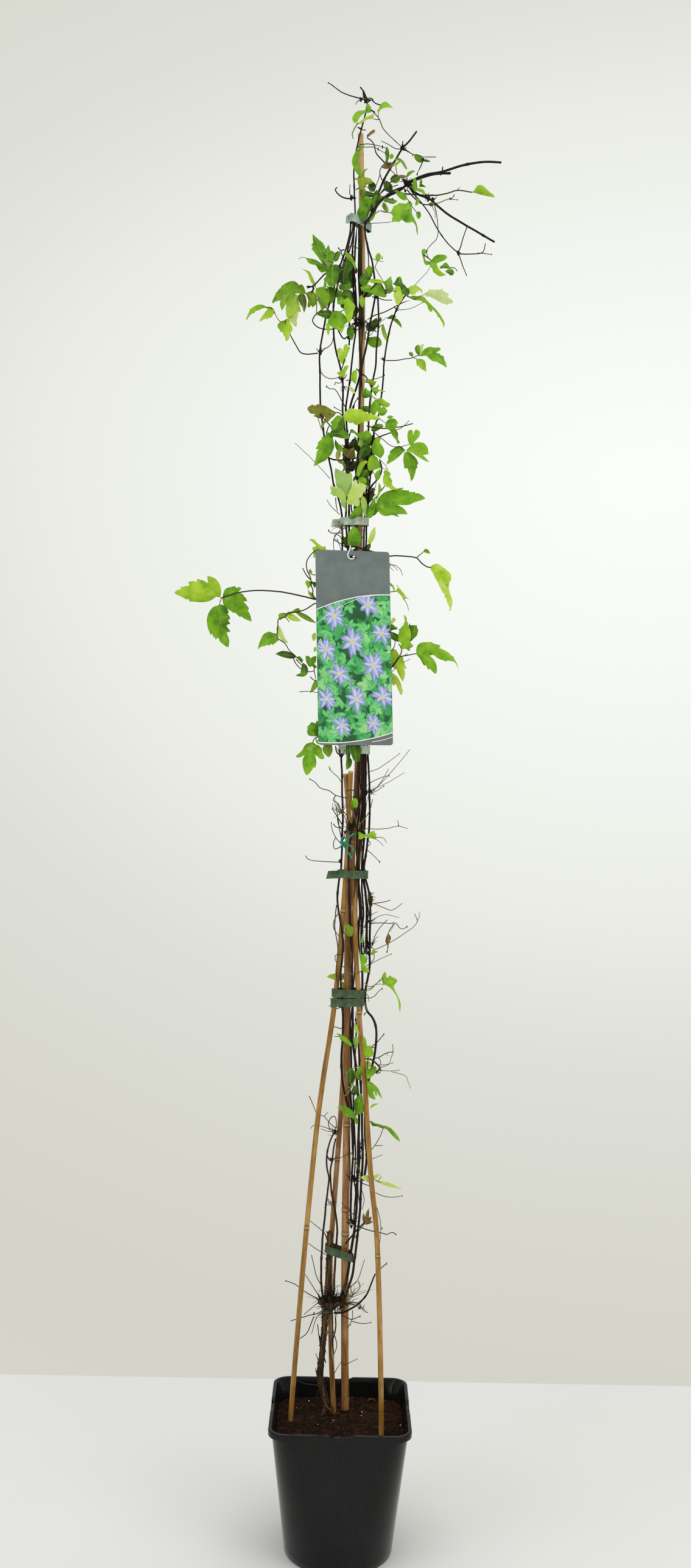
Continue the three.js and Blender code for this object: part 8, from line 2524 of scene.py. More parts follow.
        ["green", 0.45, (97, 1840, -5), (101, 1832, -5), (102, 1824, -5)]],
        "blades": [
            [(87, 1778, 89, 1768, 95, 1762), (84.7, 1780, 87.5, 1781.3, 90, 1779.5, 92.3, 1781.5, 91.5,
             1776, 88.7, 1774, 88.3, 1769,
             90, 1765, 93, 1764.3, 97, 1764, 98, 1762, 97.5, 1759.7, 93, 1759.2, 91, 1758.3, 88, 1761, 86.7,
              1766, 85.3, 1771, 83.7, 1777),
             {"tone": 0.6}],
            [(98, 1764, 107, 1768, 118, 1770), (97, 1764, 99, 1767.7, 102, 1771.3, 106, 1773.3, 112, 1773.7,
             117, 1772.7, 119.3, 1770,
             117, 1767.3, 113, 1764.7, 109, 1763.3, 105, 1761.3, 101, 1762), {"tone": 0.5, "lean": 5}],
            [(98, 1762, 104, 1753, 117, 1745.5), (95, 1761, 98, 1764, 103, 1763.5, 105, 1760.5, 106.3, 1757,
             109, 1753, 113, 1749, 118.3, 1746.3,
             113, 1744, 108, 1744, 104, 1746.7, 100, 1750, 99, 1754, 96, 1757), {"tone": 0.6, "lean": -4}],
            [(109, 1757, 117, 1758.5, 126, 1755.5), (108.7, 1757, 113, 1759.7, 116, 1762.7, 118.7, 1762.7,
             120.7, 1760, 123, 1757.2, 126.5, 1755.5,
             123, 1754.3, 118, 1754.7, 114, 1755, 110.5, 1754), {"tone": 0.45}],
            [(118, 1750, 123, 1751, 128, 1748), (116.5, 1750.7, 120, 1753.3, 124, 1754.3, 127.3, 1753,
             129.3, 1749.5, 127.7, 1745.7, 124, 1745.2,
             121, 1747.7, 118.3, 1749), {"tone": 0.42}],
            [(92, 1842, 96, 1842.3, 100, 1842), (91.5, 1842.3, 96, 1845.3, 100.5, 1844.3, 99.3, 1840.5, 95,
             1839), {"tone": 0.4, "depth": -6}]]},
    "small_top_leaves": {"depth": -12, "free": 0.7, "stalks": [
        ["brown", 0.8, (44, 1900, -8), (40, 1896, -10), (36, 1896, -12), (33, 1900, -12)],
        ["brown", 0.6, (59, 1917, -8), (65, 1913, -11), (70.5, 1910, -12), (77, 1909.5, -12), (83, 1907,
         -12)],
        ["brown", 0.4, (83, 1905, -12), (82.5, 1900, -12), (79, 1891, -12), (76, 1883.5, -12)],
        ["straw", 0.35, (83, 1907, -12), (92, 1907.3, -12), (101, 1907.3, -12)],
        ["brown", 0.5, (70.5, 1910, -12), (68.5, 1908, -12)]],
        "blades": [
            [(33.5, 1899, 34.5, 1909, 34.5, 1919), (32.7, 1918, 34.5, 1920.3, 36.3, 1916, 37.3, 1910, 36.7,
             1904, 35, 1898.7, 32, 1898.7,
             32.5, 1905, 31.3, 1911), {"tone": 0.36}],
            [(37, 1906, 43, 1909), (36.7, 1908, 41, 1911.3, 43.7, 1908, 42, 1904.2, 38.7, 1903),
             {"tone": 0.62}],
            [(46, 1903, 55, 1900, 61.5, 1890), (45, 1904, 50, 1905, 54, 1903.3, 58.3, 1898.7, 61.3, 1893,
             62.7, 1890, 60, 1889.3, 57, 1894,
             53.7, 1898.7, 50, 1901.2, 46, 1901.3), {"tone": 0.5, "bronze": 0.35}],
            [(45, 1895, 49, 1898, 53, 1900.5), (43.7, 1894.7, 47.5, 1899.3, 52.5, 1901.5, 53.3, 1899.7, 49,
             1895.5, 46, 1893), {"tone": 0.55}],
            [(28, 1893.5, 36, 1895, 43, 1895), (26, 1893, 31, 1897.3, 36, 1899, 42, 1898.3, 44.5, 1895, 40,
             1891, 33, 1889.5, 29, 1890.5),
             {"tone": 0.25, "bronze": 0.9, "depth": -11}],
            [(84, 1902, 79, 1905, 71.5, 1909.5), (70.5, 1910.5, 76, 1910.5, 80, 1907.3, 83, 1905, 84.7,
             1901, 80, 1898.7, 75.5, 1900.7,
             72.3, 1904.3, 71.3, 1907.5), {"tone": 0.38}],
            [(83, 1901.5, 94, 1900.7), (81.7, 1901.5, 86, 1903.5, 90, 1903.3, 94.7, 1900.3, 90, 1900, 86,
             1900.3), {"tone": 0.3}]]},
    "low_right_leaves": {"depth": -12, "free": 0.6, "stalks": [
        ["brown", 0.8, (28.6, 632, 1.6), (31, 640, -6), (32, 650, -12)],
        ["brown", 0.6, (30, 672, -10), (29, 660, -11), (30, 650, -12), (30, 640, -12)]],
        "blades": [
            [[(29.5, 639, 38, 630, 50, 616.5), (30, 636, 34, 626, 40, 615.5), (34, 634, 40, 626, 42.5, 620)],
             (29, 640.5, 34, 638.7, 38, 636, 42, 632.5, 45, 629, 47, 624, 49, 619.5, 50.7, 614.5, 47, 619,
              44.5, 622,
              42.9, 625.3, 43, 620.5, 41.5, 618.7, 40, 623, 38.3, 626.3, 37.7, 624, 39.3, 620.5, 41.3, 615,
               39.5, 614.5,
              35, 616, 32, 618, 31, 622, 29.7, 628, 28.7, 634), {"tone": 0.48, "lean": -7}],
            [(42, 657, 35, 652, 29, 644), (28, 655.5, 32, 657, 36, 659.7, 40, 660.3, 42.3, 656.5, 40.7, 652,
             38, 648, 34, 645, 31, 642.3,
             28.5, 644.7, 27.3, 650), {"tone": 0.45}],
            [(27, 673, 29, 685, 25, 699), (24, 700.7, 26.7, 696, 27.7, 690, 29, 687.3, 32, 688.8, 34.2,
             685.7, 36.3, 682, 37.3, 677, 36.7, 675,
             33, 672.5, 27, 671.5, 24, 676, 22, 683, 21, 690, 22, 697), {"tone": 0.58, "depth": -8}],
            [(20, 660, 27, 662, 34, 665), (19, 658, 24, 663.5, 28, 667, 32, 666.3, 35.3, 662, 31, 657.7, 26,
             655.5), {"tone": 0.66, "depth": -6}]]},
    "low_centre_leaves": {"depth": -8, "free": 0.5, "stalks": [
        ["green", 0.7, (18.2, 604, 2), (17, 600, -4), (15, 592, -8)],
        ["green", 0.7, (2, 629.5, -12), (7, 632, -13), (11, 639, -13), (13.5, 648, -12)],
        ["green", 0.7, (-2, 618, -12), (4, 624, -13), (8.5, 633, -13)],
        ["green", 0.6, (1, 647, -12), (6, 655, -13), (12, 657.5, -12), (22, 661, -10)],
        ["green", 0.6, (10, 654, -12), (16, 645, -12), (22, 640, -10)]],
        "blades": [
            [(15, 591, 4, 597, -10, 602.5), (15.5, 592, 12, 596.5, 7, 600.5, 2, 603.5, -3, 605, -8, 604.5,
             -11.5, 602.5, -7, 600.3,
             -4, 596, 0, 592, 4, 590, 10, 589, 14, 589), {"tone": 0.46, "depth": -13}],
            [(16, 593, 18, 606, 21, 622), (13.5, 593, 12.7, 600, 11.3, 606, 11.7, 612, 15, 616.5, 18, 620,
             22.3, 623, 23.5, 617, 24.3, 610,
             25.3, 603, 25.3, 597, 21, 594.5, 17, 593), {"tone": 0.42}],
            [(14, 590, 15.5, 582), (11.7, 590, 15, 589.5, 17.8, 586, 18.3, 582, 16, 580, 13.3, 582.3, 12.3,
             586), {"tone": 0.4}],
            [(6, 636, 6, 646, 6, 657), (0.5, 655, 4, 657.5, 9, 655.5, 12.3, 651, 13.3, 645, 11.3, 639, 7,
             634.5, 3.7, 637, 1.7, 643, 2.7, 649),
             {"tone": 0.26, "depth": -10}],
            [(15, 641, 18, 650, 20, 659), (14.5, 654, 19, 660, 23, 657, 22.3, 650, 20, 642, 16, 640, 13.5,
             646), {"tone": 0.44, "depth": -9}],
            [(8, 622, 13, 628, 15, 634), (7, 621, 9, 629, 13, 634, 17, 632, 17, 624, 12, 619),
             {"tone": 0.25, "depth": -8}],
            [(35, 604, 40, 607.5, 45.5, 608.7), (34, 604, 36, 607.3, 39, 608.7, 45.8, 609, 41, 606.3, 38,
             604.7, 35.2, 602), {"tone": 0.66}]]},
    "trailing_leaf": {"depth": -8, "stalks": [
        ["green", 0.5, (23, 774, -3.4), (30, 769, -6), (37, 771, -8), (43, 777, -8), (47.5, 782, -8)],
        ["green", 0.45, (26, 765.5, -4), (33, 767.5, -6), (40, 774, -8), (47.5, 779, -8)],
        ["green", 0.45, (24, 762, -4), (33, 766, -7), (38, 771.5, -8), (45, 772.7, -8), (50, 772, -8)]],
        "blades": [
            [[(49, 776, 60, 773, 66, 762, 72, 738), (50, 777, 50.5, 782, 50.7, 788), (54, 776, 60, 778, 67,
             777)],
             (46.8, 782, 48, 786, 50.7, 790, 52.7, 787, 53, 782, 54.5, 781.5, 57, 784.7, 60, 783.7, 63,
              781.7, 66, 780.7,
              68.5, 777, 65.5, 773.7, 63.5, 770.5, 65.3, 764, 68.3, 759, 71.3, 752.5, 73.3, 746, 73.3, 740,
               72.3, 734,
              70.8, 740, 70.5, 746, 68.7, 753, 65.7, 759, 61.7, 764.3, 57, 769, 52, 771.5, 48.5, 773, 47.3,
               777),
             {"tone": 0.62, "lean": -10, "roll": 0.2}]]},
    "bright_side_leaf": {"depth": -12, "free": 0.5, "stalks": [
        ["brown", 0.7, (30, 818, -3.8), (26, 816, -8), (20, 813, -12)]],
        "blades": [
            [(18, 814, 22, 801, 27, 790), (15.7, 816, 18, 813.3, 21, 812.3, 24, 811, 26.3, 807, 25.7, 802,
             23.3, 798, 23, 795.3, 28, 795.3,
             29.7, 789, 25, 787.7, 21, 789.3, 18.3, 792, 17.7, 798, 16.7, 805, 15.7, 810), {"tone": 0.56}],
            [(31, 813, 36, 816.5, 41, 817), (30.5, 813.7, 33, 817.3, 37, 818.5, 41.5, 817, 37, 814.7, 33,
             812), {"tone": 0.5, "depth": -11}]]},
    "low_left_leaf": {"depth": -14, "free": 0.5, "stalks": [["brown", 0.6, (9.5, 690, -4), (9, 690, -10),
     (7, 690, -14)]],
        "blades": [
            [(7, 689, -3, 697, -13, 703), (7.7, 690, 4, 694.5, 0, 698.5, -5, 701.5, -10, 703.5, -14.5, 704,
             -11, 700.5, -9, 697.3,
             -8.7, 695, -4, 693.5, 0, 690.5, 4, 687.5, 7, 686.5), {"tone": 0.52}],
            [(12, 684, 12, 692, 12, 699), (8.7, 698, 13, 700, 16.3, 699.3, 16.3, 692, 14.7, 686, 13, 681,
             11.3, 686, 9.3, 692), {"tone": 0.44, "under": 0.25, "depth": -12}],
            [(10.5, 718, 13, 712, 17, 704.5), (9.7, 719.3, 12.7, 716.7, 15.3, 711, 17.3, 703.7, 13, 705.7,
             10.3, 711.7), {"tone": 0.66, "under": 0.3, "depth": -10}],
            [(34, 584, 48, 578.5, 62, 574.5), (33, 585.3, 37, 584.3, 41, 582, 46, 581, 52, 579, 57, 578.5,
             62, 575, 56, 574.7, 50, 575.5,
             44, 577.7, 38, 578, 35.5, 581), {"tone": 0.44, "depth": -8}],
            [(58, 577, 68, 569, 76, 557.5), (56, 578, 62, 576, 68, 570.5, 73, 564, 76, 557, 70, 561, 65,
             565.5, 60, 571, 56, 574.5), {"tone": 0.52, "depth": -8}]]},
    "twine_leaf": {"depth": -14, "free": 0.5, "stalks": [
        ["green", 0.6, (17, 985, -4), (20, 981, -10), (22, 977, -14)],
        ["straw", 0.4, (36, 973.5, -14), (42, 974, -14), (47, 971.5, -14), (50, 966.5, -14)],
        ["straw", 0.35, (30, 972.5, -14), (36, 970.5, -14), (42, 966, -14), (46, 962, -14)]],
        "blades": [
            [[(22, 976, 16, 976, 12, 975), (22, 976, 29, 976, 36, 976)],
             (11, 981, 15, 979.5, 19, 977.3, 22, 977, 25, 978.5, 27, 980.5, 30, 982, 33.3, 983, 34, 980,
              36.3, 978,
              35, 975, 37, 973, 34, 971, 30, 972.3, 26, 972.3, 22, 974, 18, 972, 14, 970.5, 11.3, 971.5,
               11.7, 975),
             {"tone": 0.6}],
            [(5, 1014, 5, 1020, 4.5, 1026), (0, 1021, 2, 1024.5, 6, 1027, 8.5, 1025, 10, 1020, 9.3, 1014.5,
             4, 1013.5, 0, 1014.5), {"tone": 0.5, "depth": -19}],
            [(-9, 1374, -5, 1386, -1, 1397), (-10.5, 1373.5, -10.7, 1384, -8.3, 1392, -4, 1397.7, 0, 1398.3,
             4, 1394.3, 7.7, 1387, 8.3, 1379,
             5, 1373.5, -2, 1372), {"tone": 0.44, "depth": -21}],
            [(18, 1377, 22, 1387, 26.5, 1397), (16.7, 1376.5, 18.7, 1386, 21.7, 1394, 27, 1399, 27.5, 1389,
             24.3, 1380, 20, 1375.5),
             {"tone": 0.85, "depth": -18}],
            [(-7, 853, 0, 847, 5, 839), (-7, 854.5, -2, 854.3, 3, 851.5, 6.3, 850, 6.5, 844, 5.3, 838, 2,
             837, -3, 839.5, -6.3, 844, -4.3, 848),
             {"tone": 0.5, "bronze": 0.4, "depth": -22}],
            [(18.5, 829, 19, 835, 20, 841), (17, 829.5, 18.2, 837, 20, 842.5, 20.8, 835, 20.3, 828.5),
             {"tone": 0.5, "depth": -14}]]},
    "leaves_behind_canes": {"depth": 14, "free": 0.5, "stalks": [
        ["green", 0.5, (-4, 784, 12), (-10, 781, 14), (-17, 781, 14)],
        ["green", 0.5, (-4, 770, 12), (-8, 760, 14), (-17, 757, 14)],
        ["green", 0.5, (4, 786, 10), (0, 785, 12), (-4, 784, 12), (-4, 770, 12)]],
        "blades": [
            [(-6, 782, -16, 781, -28, 781.5), (-28.8, 781.5, -24, 784.7, -17, 786, -10, 784.5, -6, 787.3,
             -3, 783, -6, 777.5, -12, 776,
             -17, 777, -23, 778.7), {"tone": 0.74}],
            [(-4, 768, -10, 771), (-11, 772, -7, 775, -3, 774, -3, 766, -9, 766), {"tone": 0.7}],
            [(-18, 757, -20.5, 749, -21.5, 741), (-18.5, 759, -20.7, 752, -22.9, 744, -22.7, 740, -20, 741,
             -17.5, 746, -16.5, 754), {"tone": 0.5}]]},
    "withered_parts": {"depth": -6, "free": 1.0, "stalks": [
        ["brown", 0.5, (63, 855.5, -8), (57.6, 849.4, -8.5), (54.4, 842.3, -9)],
        ["brown", 0.4, (54, 826, -9), (54.2, 820, -9), (53.4, 815, -9)],
        ["dark", 1.0, (3.6, 416.1, 8), (17.3, 433.8, 2), (29.3, 446.3, -2)],
        ["brown", 0.6, (7, 1931.5, -2), (6.6, 1934.5, -3), (8, 1937, -4)]],
        "blades": [
            [(54.4, 842.3, 55.2, 826), (54.4, 843.3, 58.4, 836.8, 56.8, 830.6, 54.9, 825, 50.9, 830.5, 51.7,
             836.7), {"tone": 0.08, "bronze": 1.0, "depth": -9, "fold": 0.9}],
            [(7, 1933, 12, 1938, 17, 1941.5), (6.5, 1932, 8, 1937, 11, 1940.5, 15.5, 1943.5, 17.5, 1942.3,
             16.5, 1939, 13, 1937, 9.5, 1934),
             {"tone": 0.16, "bronze": 1.0, "depth": -4, "fold": 0.8}],
            [(30, 445, 32, 455, 34, 465), (29, 445, 29.5, 452, 31, 459, 34.4, 465.6, 35, 458, 34.2, 450, 32,
             445), {"tone": 0.1, "bronze": 1.0, "depth": -2}],
            [(30, 445, 34, 450, 38, 453), (29, 444, 31, 448.5, 34, 452.5, 38.4, 454, 38, 450, 35, 446.5, 31,
             443.5), {"tone": 0.14, "bronze": 1.0, "depth": -3}],
            [(30, 445, 35, 446, 40, 446.5), (29, 444, 33, 447.5, 37, 448.5, 40.5, 446.5, 36, 444, 31,
             442.5), {"tone": 0.1, "bronze": 1.0, "depth": -2}],
            [(30, 445, 28, 452, 27, 458), (30.5, 446, 30, 452, 27.5, 459, 25.8, 453, 27, 446),
             {"tone": 0.12, "bronze": 0.9, "depth": -1}]]},
    "pale_leaflets": {"depth": -8, "free": 0.6, "stalks": [
        ["green", 0.45, (20, 512, 0), (24, 508, -6), (37, 505.9, -8), (51, 501, -8)]],
        "blades": [
            [(37, 505.9, 30, 507, 23, 507.4), (37, 505.5, 33, 509.8, 28, 510.4, 23, 507.6, 27, 503.8, 32,
             503), {"tone": 0.84}],
            [(37, 505.9, 42, 509, 48, 511), (37, 506, 41, 510.3, 46, 512.2, 49.5, 511.5, 46, 507.8, 41,
             505), {"tone": 0.82}],
            [(44, 503.5, 60, 499, 79, 492), (43, 504.3, 51, 503.2, 60, 501.2, 70, 497.6, 80, 491.6, 70,
             493.6, 60, 495.8, 51, 498.8, 45, 501.6), {"tone": 0.86}]]},
    "inner_leaves": {"depth": 8, "free": 1.0, "stalks": [
        ["brown", 0.6, (-6, 1700, 0), (-9, 1722, 3), (-10, 1745, 4), (-8, 1763, 2)],
        ["brown", 0.6, (3, 1704, 2), (5, 1722, 4), (5, 1742, 4)],
        ["brown", 0.5, (9, 1655, 2), (9, 1664, 3), (11, 1669, 3)],
        ["green", 0.5, (-26, 1709, 0), (-28, 1712, 2), (-30, 1716, 3)],
        ["brown", 0.7, (-4, 1412, 2), (2, 1430, 4), (6, 1452, 5), (4, 1470, 5), (1, 1500, 4), (9, 1508, 4)],
        ["brown", 0.6, (6, 1428, 4), (12, 1420, 4), (17, 1414.5, 4)],
        ["brown", 0.6, (-12, 1445, 1), (-14, 1462, 3), (-12, 1482, 4), (-9, 1501, 4)],
        ["green", 0.5, (-6, 1362, 0), (-5, 1374, 1), (-6, 1386, 2)]],
        "blades": [],
        "plain": (
            (-7.4, 1726.9, -31.1, 1749.8, 18, 0.3, 5), (-8, 1761, -22, 1776, 9.5, 0.4, 4), (-3.7, 1697.4,
             -33.7, 1718.6, 17, 0.28, 6),
            (-7, 1711, -24.5, 1726.6, 12, 0.24, 8), (-4, 1702, -15, 1679.4, 11, 0.34, 4), (-9, 1736, -23.5,
             1760.8, 13, 0.34, 7),
            (3.5, 1730, 18.7, 1750.6, 11, 0.32, 7), (5.3, 1714.6, 27, 1731, 12, 0.42, 5), (10.8, 1668, 28,
             1683, 13, 0.24, 5),
            (5, 1740, 14, 1758, 9, 0.4, 6), (-4.6, 1745.6, -16.7, 1765.6, 9, 0.26, 5), (-27.4, 1714, -46,
             1728, 12, 0.44, 4),
            (0.2, 1501, 15.3, 1524.5, 14, 0.24, 6), (-9.2, 1501, -2, 1522.7, 12, 0.2, 5), (-12, 1482, -20,
             1503.7, 12, 0.26, 6),
            (3.9, 1463.7, 19, 1488.8, 14, 0.26, 4), (-2.2, 1457, 9.9, 1476, 12, 0.34, 3), (4.6, 1426.4,
             11.8, 1457.6, 11, 0.28, 5),
            (7.6, 1432.6, 25.9, 1451.6, 14, 0.3, 6), (17.2, 1414, 34, 1435, 13, 0.36, 6), (-11.8, 1475.8,
             3.5, 1488.5, 13, 0.2, 7),
            (-17.6, 1451, -11.8, 1472.7, 11, 0.24, 5), (12.4, 1510.5, 24.6, 1526, 11, 0.4, 4), (9.7, 1488.7,
             25, 1504.5, 12, 0.34, 5),
            (-1.5, 1420, 10.6, 1435.8, 12, 0.4, 3), (-10, 1370, -16.5, 1385.5, 9, 0.45, 3), (-0.7, 1372,
             5.3, 1386, 10, 0.5, 3),
            (-7.2, 1385.7, 0.4, 1396.7, 8.5, 0.42, 3), (14, 1470, 24, 1478, 9, 0.22, 5), (0, 1440, -9, 1452,
             10, 0.22, 6),
            (-6, 1364, 15, 1354, 15, 0.16, 2), (-6, 1376, 11, 1385, 11, 0.2, 3), (-7, 1388, -17, 1374, 9,
             0.24, 3),
            (9, 1362, 22, 1378, 9, 0.26, 4), (-5, 1352, 4, 1366, 10, 0.18, 4))},
}


